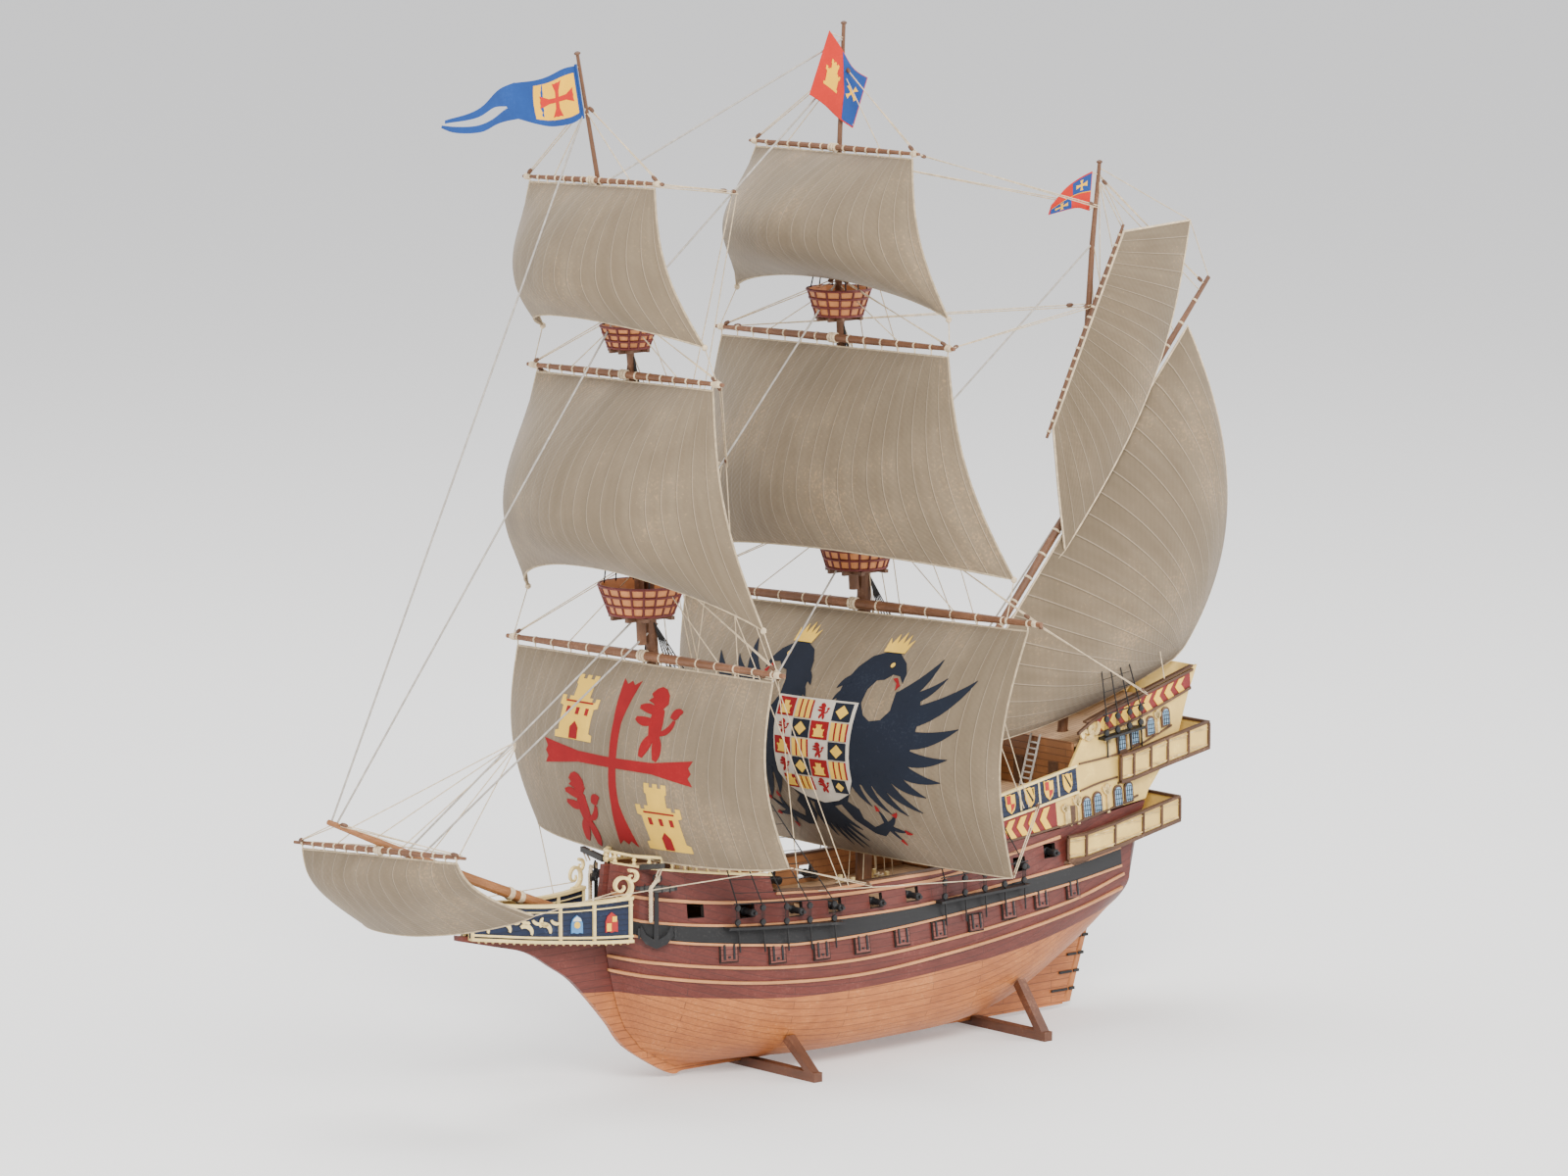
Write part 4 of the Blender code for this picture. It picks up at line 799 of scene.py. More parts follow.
def rope_lines(name, paths, radius, finish, sides=6, body="ship"):
    """Round lines in one piece; paths are lists of points in millimetres."""
    points = []
    edges = []
    for path in paths:
        base = len(points)
        points += [place(*p) for p in path]
        edges += [(base + i, base + i + 1) for i in range(len(path) - 1)]
    mesh = bpy.data.meshes.new(name)
    mesh.from_pydata([tuple(p) for p in points], edges, [])
    values = {"Radius": radius * MM, "Sides": sides, "Finish": finish}
    piece = run_tree(name, mesh, LINE_TREE, values, finish)
    return fit_out(piece, body)


def stamp(name, prototype, spots, finish, body="ship", smooth=35.0):
    """Copies of a small part; spots are (point mm, turn, size) and the part is in metres."""
    mesh = bpy.data.meshes.new(name)
    mesh.from_pydata([tuple(place(*spot[0])) for spot in spots], [], [])
    turn = mesh.attributes.new("turn", "FLOAT_VECTOR", "POINT")
    size = mesh.attributes.new("size", "FLOAT_VECTOR", "POINT")
    for i, spot in enumerate(spots):
        turn.data[i].vector = spot[1]
        size.data[i].vector = spot[2] if len(spot) > 2 else (1.0, 1.0, 1.0)
    part = bpy.data.objects.new(name + "_part", prototype)
    bpy.context.scene.collection.objects.link(part)
    values = {"Part": part, "Finish": finish, "Overall Size": 1.0}
    piece = run_tree(name, mesh, REPEAT_TREE, values, finish)
    piece.data.shade_smooth()
    piece.data.set_sharp_from_angle(angle=math.radians(smooth))
    bpy.data.objects.remove(part, do_unlink=True)
    return fit_out(piece, body)


def plain_mesh(name, points, faces):
    """Prototype mesh, in millimetres, with faces outward."""
    mesh = bpy.data.meshes.new(name)
    mesh.from_pydata([(p[0] * MM, p[1] * MM, p[2] * MM) for p in points], [], faces)
    work = bmesh.new()
    work.from_mesh(mesh)
    bmesh.ops.recalc_face_normals(work, faces=work.faces)
    work.to_mesh(mesh)
    work.free()
    return mesh


def box_part(boxes):
    """Prototype of several boxes: rows are (low, high) corners in millimetres."""
    points = []
    faces = []
    for low, high in boxes:
        block(points, faces, low, high)
    return plain_mesh("box_part", points, faces)


def round_part(profile, sides=10, axis="Z"):
    """Prototype turned from rows of (radius, height) in millimetres; ends are closed."""
    points = []
    faces = []
    for radius, height in profile:
        for k in range(sides):
            ang = math.tau * k / sides
            p = (radius * math.cos(ang), radius * math.sin(ang), height)
            points.append((p[2], p[0], p[1]) if axis == "X" else ((p[1], p[2], p[0]) if axis == "Y" else p))
    for i in range(len(profile) - 1):
        for k in range(sides):
            a = i * sides + k
            b = i * sides + (k + 1) % sides
            faces.append((a, b, b + sides, a + sides))
    faces.append(tuple(range(sides)))
    faces.append(tuple(range((len(profile) - 1) * sides, len(profile) * sides)))
    return plain_mesh("round_part", points, faces)


print("trees:", REPEAT_TREE.name, LINE_TREE.name)

# %% [markdown]
# The hull sides are skinned again from the tables, several times finer than the frame, and the
# gunports are cut through them. A `waterline` attribute says how far each point is above the
# painted line, so one finish can be burgundy above it and tan below it.

# %% hull shells
PAINT_X = [-120.0, -98.4, -71.2, -24.3, 19.3, 54.9, 91.8, 130.6, 165.0]
PAINT_Z = [42.0, 40.2, 37.5, 33.7, 33.9, 35.6, 38.0, 43.3, 50.0]


def hull_finish():
    """Two paints parted by the waterline attribute, over planks laid in UV metres."""
    mat, link, shader = start_finish("hull_planked")
    tree = mat.node_tree
    upper = add_group(mat, AGED, Patch_Size=45.0, Wash=0.4, Rub=0.22, Roughness=0.36)
    upper.inputs["Colour"].default_value = shade(BURGUNDY, 1.0)
    upper.inputs["Dark"].default_value = shade(BURGUNDY, 0.55)
    upper.inputs["Light"].default_value = (0.30, 0.12, 0.095, 1.0)
    lower = add_group(mat, AGED, Patch_Size=38.0, Wash=0.5, Rub=0.3, Roughness=0.34)
    lower.inputs["Colour"].default_value = shade(TAN, 1.0)
    lower.inputs["Dark"].default_value = (0.33, 0.105, 0.04, 1.0)
    lower.inputs["Light"].default_value = (0.66, 0.34, 0.16, 1.0)
    level = tree_node(tree, "ShaderNodeAttribute", attribute_name="waterline")
    edge = tree_node(tree, "ShaderNodeMapRange", in_From_Min=-0.00012, in_From_Max=0.00012)
    link(level.outputs["Fac"], edge.inputs["Value"])
    body = tree_node(tree, "ShaderNodeMix", data_type="RGBA")
    link(edge.outputs["Result"], body.inputs["Factor"])
    link(lower.outputs["Colour"], body.inputs["A"])
    link(upper.outputs["Colour"], body.inputs["B"])
    uv = tree_node(tree, "ShaderNodeTexCoord")
    boards = add_group(mat, PLANKS, Width=0.0033, Length=0.075)
    link(uv.outputs["UV"], boards.inputs["Vector"])
    veins = add_group(mat, GRAIN, Scale=150.0)
    veins.inputs["Stretch"].default_value = (0.8, 9.0, 9.0)
    tint = tree_node(tree, "ShaderNodeMix", data_type="RGBA", blend_type="MULTIPLY")
    part = tree_node(tree, "ShaderNodeMapRange", in_To_Min=0.55, in_To_Max=0.0)
    link(veins.outputs["Tone"], part.inputs["Value"])
    link(part.outputs["Result"], tint.inputs["Factor"])
    link(body.outputs["Result"], tint.inputs["A"])
    tint.inputs["B"].default_value = (0.42, 0.33, 0.3, 1.0)
    vary = tree_node(tree, "ShaderNodeMix", data_type="RGBA", blend_type="MULTIPLY")
    fade = tree_node(tree, "ShaderNodeMath", operation="MULTIPLY", in_1=0.3)
    link(boards.outputs["Tone"], fade.inputs[0])
    link(fade.outputs[0], vary.inputs["Factor"])
    link(tint.outputs["Result"], vary.inputs["A"])
    vary.inputs["B"].default_value = (0.6, 0.5, 0.48, 1.0)
    gap = tree_node(tree, "ShaderNodeMix", data_type="RGBA")
    seam = tree_node(tree, "ShaderNodeMath", operation="MULTIPLY", in_1=0.55)
    link(boards.outputs["Seam"], seam.inputs[0])
    link(seam.outputs[0], gap.inputs["Factor"])
    link(vary.outputs["Result"], gap.inputs["A"])
    gap.inputs["B"].default_value = (0.05, 0.018, 0.014, 1.0)
    link(gap.outputs["Result"], shader.inputs["Base Color"])
    link(upper.outputs["Roughness"], shader.inputs["Roughness"])
    bump = tree_node(tree, "ShaderNodeBump", in_Distance=0.0002, in_Strength=0.45)
    link(boards.outputs["Height"], bump.inputs["Height"])
    link(bump.outputs["Normal"], shader.inputs["Normal"])
    return mat


HULL_FINISH = hull_finish()
WAIST_INSIDE = paint_finish("waist_inside", (0.40, 0.175, 0.07), wash=0.5, rub=0.3, rough=0.5,
                            planks=("X", "Z", 0.0032, 0.07, 0.6))


def hull_rings(count_u, count_z):
    """Rings of the port shell, outer then inner points, with stations crowded at the bow."""
    marks = [i / count_u for i in range(count_u + 1)]
    marks += [0.006, 0.014, 0.02, 0.032, 0.2415, 0.2432]
    rings = []
    for u in sorted(set(marks)):
        floor = soft_lookup(station_x(u, 4.5), FLOOR_X, FLOOR_Z)
        top = rail_z(station_x(u, 85.0))
        wide = 49.6 + (station_x(u, 50.0) / 181.0) ** 2 * 13.4
        heights = [floor + (wide - floor) * (k / count_z) ** 1.7 for k in range(count_z + 1)]
        heights += [wide + (top - wide) * (k + 1) / 8 for k in range(8)]
        outer = []
        for k, z in enumerate(heights):
            x = station_x(u, z)
            outer.append((x, RABBET_HALF if k == 0 else bow_fade(u, x, z), z))
        inner = []
        for k, (x, y, z) in enumerate(outer):
            before = outer[max(k - 1, 0)]
            after = outer[min(k + 1, len(outer) - 1)]
            dy = after[1] - before[1]
            dz = after[2] - before[2]
            size = math.hypot(dy, dz)
            yi = max(y - HULL_SKIN * dz / size, RABBET_HALF)
            zi = z + HULL_SKIN * dy / size
            if k == 0:
                yi = RABBET_HALF
                zi = z + HULL_SKIN * 1.1
            if k == len(outer) - 1:
                yi = max(y - HULL_SKIN, RABBET_HALF)
                zi = z
            low = floor + HULL_SKIN * 1.1 + 0.02 * k
            zi = min(max(zi, low), top - 0.02 * (len(outer) - 1 - k))
            inner.append((x + 2.4 * math.exp(-u / 0.02), yi, zi))
        rings.append((outer, inner))
    return rings


def hull_shell(name, node, side):
    rings = hull_rings(96, 26)
    points = []
    uvs = []
    for outer, inner in rings:
        girth = 0.0
        for k, (x, y, z) in enumerate(outer):
            if k:
                girth += math.hypot(y - outer[k - 1][1], z - outer[k - 1][2])
            points.append(place(x, side * y, z))
            uvs.append((x * MM, girth * MM))
        for x, y, z in reversed(inner):
            points.append(place(x, side * y, z))
            uvs.append((x * MM, z * MM))
    count = len(rings[0][0]) * 2
    half = count // 2
    faces = []
    inside = []
    for i in range(len(rings) - 1):
        for j in range(count):
            a = i * count + j
            b = i * count + (j + 1) % count
            faces.append((a, b, b + count, a + count))
            inside.append(1 if half <= j < count - 1 else 0)
    faces.append(tuple(range(count)))
    faces.append(tuple(range((len(rings) - 1) * count, len(rings) * count)))
    inside += [0, 0]
    shell = build_piece(name, points, faces, HULL_FINISH, uvs, 0.0)
    shell.data.materials.append(WAIST_INSIDE)
    shell.data.materials.append(PAINTED_SHADE_INSIDE)
    for poly, index in zip(shell.data.polygons, inside):
        poly.material_index = index
    points = []
    faces = []
    for x, z in PORT_SPOTS:
        y = side * side_y(x, z)
        low = place(x - PORT_WIDTH / 2, y - 9.0, z - PORT_HEIGHT / 2)
        high = place(x + PORT_WIDTH / 2, y + 9.0, z + PORT_HEIGHT / 2)
        block(points, faces, low, high)
    cutter = build_piece(name + "_cutter", points, faces, HULL_FINISH, None, 0.0)
    cutter.data.materials.append(WAIST_INSIDE)
    cutter.data.materials.append(PAINTED_SHADE_INSIDE)
    # The cut faces of each port take the near-black painted shade, standing in for the shade inside the
    # opening.
    for poly in cutter.data.polygons:
        poly.material_index = 2
    ports = shell.modifiers.new("gunports", "BOOLEAN")
    ports.object = cutter
    ports.solver = "EXACT"
    depsgraph = bpy.context.evaluated_depsgraph_get()
    mesh = bpy.data.meshes.new_from_object(shell.evaluated_get(depsgraph), depsgraph=depsgraph)
    shell.modifiers.clear()
    shell.data = mesh
    bpy.data.objects.remove(cutter, do_unlink=True)
    level = mesh.attributes.new("waterline", "FLOAT", "POINT")
    for vert in mesh.vertices:
        x = vert.co.x / MM - SHIFT
        level.data[vert.index].value = vert.co.z - soft_lookup(x, PAINT_X, PAINT_Z) * MM
    mesh.shade_smooth()
    mesh.set_sharp_from_angle(angle=math.radians(32.0))
    fit_out(shell)
    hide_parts(node)
    return shell


for side, node in ((-1.0, "hull_port"), (1.0, "hull_starboard")):
    shell = hull_shell(node + "_planked", node, side)
    print(shell.name, len(shell.data.polygons), "faces")

# %% [markdown]
# Wales, rubbing strips and painted edges are bands that follow the hull. Each band is a thin
# closed body between two lines drawn along the side, standing a little proud of the planking.

# %% bands along the hull


def side_normal(x, z):
    """Outward direction of the port side as a unit vector."""
    dx = (side_y(x + 0.6, z) - side_y(x - 0.6, z)) / 1.2
    dz = (side_y(x, z + 0.6) - side_y(x, z - 0.6)) / 1.2
    return Vector((-dx, -1.0, -dz)).normalized()


def side_point(x, z, proud=0.0, side=-1.0):
    """Point on the hull side in station millimetres, pushed outward by proud."""
    normal = side_normal(x, z)
    p = Vector((x, -side_y(x, z), z)) + normal * proud
    return Vector((p.x, p.y * -side, p.z))


def along_line(line, step=4.0):
    """Even places along a line of (x, z) marks, smoothly curved."""
    xs = [p[0] for p in line]
    zs = [p[1] for p in line]
    count = max(2, int((xs[-1] - xs[0]) / step))
    return [(xs[0] + (xs[-1] - xs[0]) * k / count,
             soft_lookup(xs[0] + (xs[-1] - xs[0]) * k / count, xs, zs)) for k in range(count + 1)]


def hull_band(name, low_line, high_line, proud, finish, rows=3, sink=0.25, step=4.0,
              smooth=40.0):
    """Closed band on both sides between two lines of equal reach."""
    low = along_line(low_line, step)
    hx = [p[0] for p in high_line]
    hz = [p[1] for p in high_line]
    points = []
    faces = []
    for side in (-1.0, 1.0):
        rings = []
        for x, z in low:
            top = soft_lookup(x, hx, hz)
            outer = [side_point(x, z + (top - z) * k / (rows - 1), proud, side) for k in range(rows)]
            inner = [side_point(x, z + (top - z) * k / (rows - 1), -sink, side) for k in range(rows)]
            rings.append([place(*p) for p in outer + inner[::-1]])
        count = len(rings[0])
        base = len(points)
        for ring in rings:
            points += ring
        for i in range(len(rings) - 1):
            for j in range(count):
                a = base + i * count + j
                b = base + i * count + (j + 1) % count
                faces.append((a, b, b + count, a + count))
        faces.append(tuple(base + k for k in range(count)))
        last = base + (len(rings) - 1) * count
        faces.append(tuple(last + k for k in range(count)))
    return fit_out(build_piece(name, points, faces, finish, None, smooth))


def strip(name, line, width, proud, finish):
    low = [(x, z - width / 2) for x, z in line]
    high = [(x, z + width / 2) for x, z in line]
    return hull_band(name, low, high, proud, finish, 2)


WALE_LOW = [(-96.0, 65.8), (-82.3, 62.5), (-43.9, 58.1), (-25.3, 56.6), (18.3, 56.9), (72.4, 59.7),
            (130.0, 63.4), (160.0, 66.6)]
WALE_HIGH = [(-96.0, 71.2), (-89.8, 69.6), (-60.6, 66.4), (-25.0, 64.2), (18.3, 63.4), (46.4, 63.9),
             (91.9, 66.9), (131.0, 69.6), (160.0, 73.0)]
STRIP_LOW = [(-99.8, 49.6), (-89.8, 47.6), (-60.8, 43.5), (-37.9, 41.3), (-12.7, 39.9), (13.8, 39.8),
             (53.7, 42.3), (90.6, 45.6), (129.7, 50.4), (161.5, 56.3)]
STRIP_MID = [(-100.2, 55.6), (-89.8, 53.6), (-61.0, 49.8), (-38.3, 47.6), (-13.2, 46.3), (13.2, 46.3),
             (53.0, 48.3), (90.3, 51.2), (129.4, 55.5), (161.5, 62.2)]
STRIP_HIGH = [(-98.5, 81.6), (-87.7, 79.6), (-58.5, 76.1), (-20.0, 74.0), (20.0, 73.4), (53.3, 73.9),
              (90.0, 78.6), (124.0, 82.6)]
hull_band("main_wale", WALE_LOW, WALE_HIGH, 1.0, WALE_BLACK, rows=5)
strip("strip_low", STRIP_LOW, 1.15, 0.85, TAN_STRIP)
strip("strip_mid", STRIP_MID, 1.15, 0.85, TAN_STRIP)
strip("strip_high", STRIP_HIGH, 1.3, 0.85, TAN_STRIP)
strip("wale_edge_low", [(x, z - 0.7) for x, z in WALE_LOW], 1.0, 1.25, TAN_STRIP)
strip("wale_edge_high", [(x, z + 0.6) for x, z in WALE_HIGH], 1.0, 1.25, TAN_STRIP)
rail_line = [(x, rail_z(x) - 0.55) for x in (-34.6, -22.0, -10.0, 12.0, 34.0, 54.0, 75.0, 88.0)]
strip("waist_rail_strip", rail_line, 1.3, 0.7, TAN_STRIP)
capping = []
for x in (-34.6, -22.0, -10.0, 12.0, 34.0, 54.0, 75.0, 89.0):
    capping.append((x, rail_z(x) + 0.15))
print("wales and strips laid along", round(WALE_LOW[-1][0] - WALE_LOW[0][0]), "mm")

# %% [markdown]
# Rails that stand on the hull's top edge are bars swept along it. A fence is two such bars with
# turned posts stamped between them.

# %% rails on the hull's edge


def edge_bar(name, spots, width, height, finish, sides=(-1.0, 1.0), inset=1.0):
    """Bar along the top edge; spots are (x, z of the bar's underside)."""
    points = []
    faces = []
    for side in sides:
        rings = []
        for x, z in spots:
            y = side_y(x, min(z, rail_z(x))) - inset
            rings.append([place(x, side * (y - width / 2), z), place(x, side * (y + width / 2), z),
                          place(x, side * (y + width / 2), z + height),
                          place(x, side * (y - width / 2), z + height)])
        base = len(points)
        for ring in rings:
            points += ring
        for i in range(len(rings) - 1):
            for j in range(4):
                a = base + i * 4 + j
                b = base + i * 4 + (j + 1) % 4
                faces.append((a, b, b + 4, a + 4))
        faces.append(tuple(base + k for k in range(4)))
        faces.append(tuple(base + (len(rings) - 1) * 4 + k for k in range(4)))
    return fit_out(build_piece(name, points, faces, finish, None, 30.0))


waist = [(x, rail_z(x) - 0.02) for x in (-34.4, -22.0, -10.0, 12.0, 34.0, 54.0, 75.0, 88.0)]
edge_bar("waist_cap", waist, 3.0, 0.8, BROWN_TRIM)
fore_edge = [(x, rail_z(x) - 0.02) for x in (-97.6, -92.0, -86.7, -75.0, -62.6, -50.0, -35.6)]
edge_bar("forecastle_sill", fore_edge, 3.0, 0.8, CREAM_TRIM)
fence = [(x, rail_z(x) + 4.4) for x in (-80.0, -75.0, -68.0, -62.6, -50.0, -35.6)]
edge_bar("forecastle_fence", fence, 1.8, 0.9, CREAM_TRIM)
post = round_part([(0.55, 0.0), (0.75, 0.6), (0.4, 1.3), (0.75, 2.2), (0.4, 3.2), (0.65, 3.9), (0.55, 4.5)],
                  8)
spots = []
for k in range(10):
    x = -79.0 + 43.0 * k / 9
    for side in (-1.0, 1.0):
        spots.append(((x, side * (side_y(x, rail_z(x)) - 1.0), rail_z(x) + 0.4), (0.0, 0.0, 0.0)))
stamp("forecastle_posts", post, spots, CREAM_TRIM)
rise = soft_lookup(-86.7, RAIL_X, RAIL_Z)
edge_bar("bow_bulwark_rail", [(-97.4, 97.8), (-92.0, 96.4), (-86.7, rise + 4.6), (-80.0, 95.2)], 2.2, 1.1,
         CREAM_TRIM)
spots = []
for x, z in ((-96.6, 94.0), (-92.0, 93.0), (-87.4, 92.0), (-82.6, 91.2)):
    for side in (-1.0, 1.0):
        spots.append(((x, side * (side_y(x, 91.0) - 1.0), z), (0.0, 0.0, 0.0), (1.3, 1.3, 1.0)))
stamp("bow_bulwark_posts", post, spots, CREAM_TRIM)
fife = [(x, rail_z(x) + 4.2) for x in (55.0, 62.0, 70.0, 80.0, 88.0)]
edge_bar("waist_fence", fife, 1.6, 0.8, BROWN_TRIM)
spots = []
for k in range(7):
    x = 56.0 + 31.0 * k / 6
    for side in (-1.0, 1.0):
        spots.append(((x, side * (side_y(x, rail_z(x)) - 1.0), rail_z(x) + 0.4), (0.0, 0.0, 0.0)))
stamp("waist_posts", post, spots, BROWN_TRIM)
print("fences stand on the forecastle, the bow and the waist")

# %% [markdown]
# Ten closed lids a side sit between the strips, each a plate in a near-black frame with two strap hinges; the
# frame is painted shade for the gap round the lid. Above the wale the open ports carry guns: a turned barrel
# poking out level.

# %% gunports and guns
LID_SPOTS = [(-59.0, 59.4), (-36.8, 56.8), (-14.7, 55.9), (6.5, 56.0), (28.3, 56.4), (49.2, 56.8),
             (70.0, 57.3), (89.8, 60.0), (109.4, 61.9), (129.1, 63.6)]


def side_turn(x, z, side):
    """Euler turn that faces a part's -Y outward from the hull side, with its Z kept up."""
    normal = side_normal(x, z)
    if side > 0.0:
        normal = Vector((normal.x, -normal.y, normal.z))
    ahead = Vector((0.0, 0.0, 1.0)).cross(-normal).normalized() * -1.0
    up = ahead.cross(-normal).normalized()
    frame_of = Matrix((ahead, -normal, up)).transposed()
    if frame_of.determinant() < 0.0:
        frame_of = Matrix((-ahead, -normal, up)).transposed()
    return tuple(frame_of.to_euler())


lids = []
frames = []
for x, z in LID_SPOTS:
    for side in (-1.0, 1.0):
        mid = z - 3.9
        spot = tuple(side_point(x, mid, 0.0, side))
        lids.append((spot, side_turn(x, mid, side)))
lid = box_part([((-3.6, -1.05, -3.3), (3.6, 0.3, 3.3))])
rim = box_part([((-4.15, -0.75, -3.85), (4.15, 0.3, 3.85))])
strap = box_part([((-2.6, -1.45, -2.5), (-1.7, -0.9, 3.7)), ((1.7, -1.45, -2.5), (2.6, -0.9, 3.7)),
                  ((-0.5, -1.5, -2.0), (0.5, -0.9, -1.2))])
LID_PAINT = paint_finish("lid_paint", (0.20, 0.06, 0.045), wash=0.45, rub=0.3, rough=0.4,
                         planks=("X", "Z", 0.0022, 0.03, 0.6))
stamp("port_lids", lid, lids, LID_PAINT)
# The rims are near-black painted shade for the gap round each lid.
stamp("port_rims", rim, lids, PAINTED_SHADE_INSIDE)
stamp("port_straps", strap, lids, FITTING_BLACK)
barrel = round_part([(0.0, -8.6), (0.75, -8.5), (0.75, -7.4), (1.3, -7.2), (1.55, -6.9), (1.65, -6.1),
                     (1.25, -5.6), (1.4, -1.2), (1.75, -0.8), (1.75, -0.2), (1.5, 0.2), (1.9, 6.0),
                     (0.0, 6.4)], 14, "Y")
guns = []
for x, z in PORT_SPOTS[1:]:
    for side in (-1.0, 1.0):
        y = side * (side_y(x, z) - 2.6)
        guns.append(((x, y, z - 0.4), (0.0, 0.0, 0.0 if side < 0.0 else math.pi)))
stamp("gun_barrels", barrel, guns, FITTING_BLACK)
print(len(lids), "closed lids,", len(guns), "guns")

# %% [markdown]
# Each sail is woven again over the same surface as its frame sheet, with many more points, a
# UV map in metres of cloth and a rope sewn round its edge. The painted emblems are thin cut-out
# shapes laid a quarter of a millimetre off the canvas, so they follow every curve of the belly.

# %% sail cloth finish


def sail_finish(name, colour, strips):
    """Canvas with sewn seams every strip width, each painted as a ridge lit from one side (painted shade on
    one side of the seam, a painted highlight on the other), with weave and settled dust.
    """
    mat, link, shader = start_finish(name, sheen=0.15, specular=0.15)
    tree = mat.node_tree
    aged = add_group(mat, AGED, Patch_Size=22.0, Wash=0.65, Rub=0.6, Roughness=0.82)
    aged.inputs["Colour"].default_value = shade(colour, 1.0)
    aged.inputs["Dark"].default_value = shade(colour, 0.72)
    aged.inputs["Light"].default_value = (colour[0] * 1.65, colour[1] * 1.5, colour[2] * 1.3, 1.0)
    uv = tree_node(tree, "ShaderNodeTexCoord")
    split = tree_node(tree, "ShaderNodeSeparateXYZ")
    link(uv.outputs["UV"], split.inputs["Vector"])
    wide = tree_node(tree, "ShaderNodeMath", operation="DIVIDE", in_1=strips)
    link(split.outputs["X"], wide.inputs[0])
    part = tree_node(tree, "ShaderNodeMath", operation="FRACT")
    link(wide.outputs[0], part.inputs[0])
    centre = tree_node(tree, "ShaderNodeMath", operation="SUBTRACT", in_1=0.5)
    link(part.outputs[0], centre.inputs[0])
    far = tree_node(tree, "ShaderNodeMath", operation="ABSOLUTE")
    link(centre.outputs[0], far.inputs[0])
    seam = tree_node(tree, "ShaderNodeMapRange", in_From_Min=0.44, in_From_Max=0.475)
    link(far.outputs[0], seam.inputs["Value"])
    weave = add_group(mat, WEAVE)
    tint = tree_node(tree, "ShaderNodeMix", data_type="RGBA", blend_type="MULTIPLY")
    slub = tree_node(tree, "ShaderNodeMapRange", in_From_Min=0.35, in_From_Max=0.7, in_To_Min=0.35,
                     in_To_Max=0.0)
    link(weave.outputs["Tone"], slub.inputs["Value"])
    link(slub.outputs["Result"], tint.inputs["Factor"])
    link(aged.outputs["Colour"], tint.inputs["A"])
    tint.inputs["B"].default_value = (0.6, 0.56, 0.5, 1.0)
    # Painted light: the canvas beside each seam takes painted shade on one side and a painted highlight on
    # the other, as if each seam were a ridge lit from one side.
    seams_painted_shade_highlight = tree_node(tree, "ShaderNodeMix", data_type="RGBA")
    soft = tree_node(tree, "ShaderNodeMath", operation="MULTIPLY", in_1=0.5)
    link(seam.outputs["Result"], soft.inputs[0])
    link(soft.outputs[0], seams_painted_shade_highlight.inputs["Factor"])
    link(tint.outputs["Result"], seams_painted_shade_highlight.inputs["A"])
    lit = tree_node(tree, "ShaderNodeMath", operation="LESS_THAN", in_1=0.5)
    link(part.outputs[0], lit.inputs[0])
    seam_shade_and_highlight = tree_node(tree, "ShaderNodeMix", data_type="RGBA")
    link(lit.outputs[0], seam_shade_and_highlight.inputs["Factor"])
    # Painted shade for one side of the seam, painted highlight for the other.
    seam_shade_and_highlight.inputs["A"].default_value = shade(colour, 0.3)
    seam_shade_and_highlight.inputs["B"].default_value = (*tuple(min(1.0, c * 1.6 + 0.06) for c in colour), 1.0)
    link(seam_shade_and_highlight.outputs["Result"], seams_painted_shade_highlight.inputs["B"])
    link(seams_painted_shade_highlight.outputs["Result"], shader.inputs["Base Color"])
    link(aged.outputs["Roughness"], shader.inputs["Roughness"])
    both = tree_node(tree, "ShaderNodeMath", operation="MULTIPLY_ADD", in_1=1.6)
    link(seam.outputs["Result"], both.inputs[0])
    link(weave.outputs["Height"], both.inputs[2])
    bump = tree_node(tree, "ShaderNodeBump", in_Distance=0.00012, in_Strength=0.5)
    link(both.outputs[0], bump.inputs["Height"])
    link(bump.outputs["Normal"], shader.inputs["Normal"])
    return mat


CLOTH_STRIP = 0.0066
CANVAS = sail_finish("sail_canvas", SAIL_BEIGE, CLOTH_STRIP)
BOLT_ROPE = paint_finish("bolt_rope", (0.46, 0.36, 0.23), wash=0.5, rub=0.3, rough=0.85, patch=400.0,
                         dark=0.5)
EMBLEM_RED = paint_finish("emblem_red", (0.27, 0.006, 0.009), wash=0.4, rub=0.35, rough=0.85, patch=45.0,
                          dark=0.6, light=(0.36, 0.025, 0.022))
EMBLEM_YELLOW = paint_finish("emblem_yellow", (0.80, 0.50, 0.07), wash=0.35, rub=0.3, rough=0.85, patch=45.0,
                             dark=0.6, light=(0.9, 0.62, 0.14))
EMBLEM_NAVY = paint_finish("emblem_navy", (0.009, 0.013, 0.024), wash=0.3, rub=0.35, rough=0.85, patch=45.0,
                           light=(0.03, 0.036, 0.052))
EMBLEM_WHITE = paint_finish("emblem_white", (0.55, 0.50, 0.42), wash=0.35, rub=0.3, rough=0.8, patch=45.0,
                            dark=0.75)


def surface_normal(shape, u, v):
    """Unit normal of a surface function, pointing ahead of the ship or to port."""
    e = 0.01
    a = shape(min(u + e, 1.0), v) - shape(max(u - e, 0.0), v)
    b = shape(u, min(v + e, 1.0)) - shape(u, max(v - e, 0.0))
    return a.cross(b).normalized()


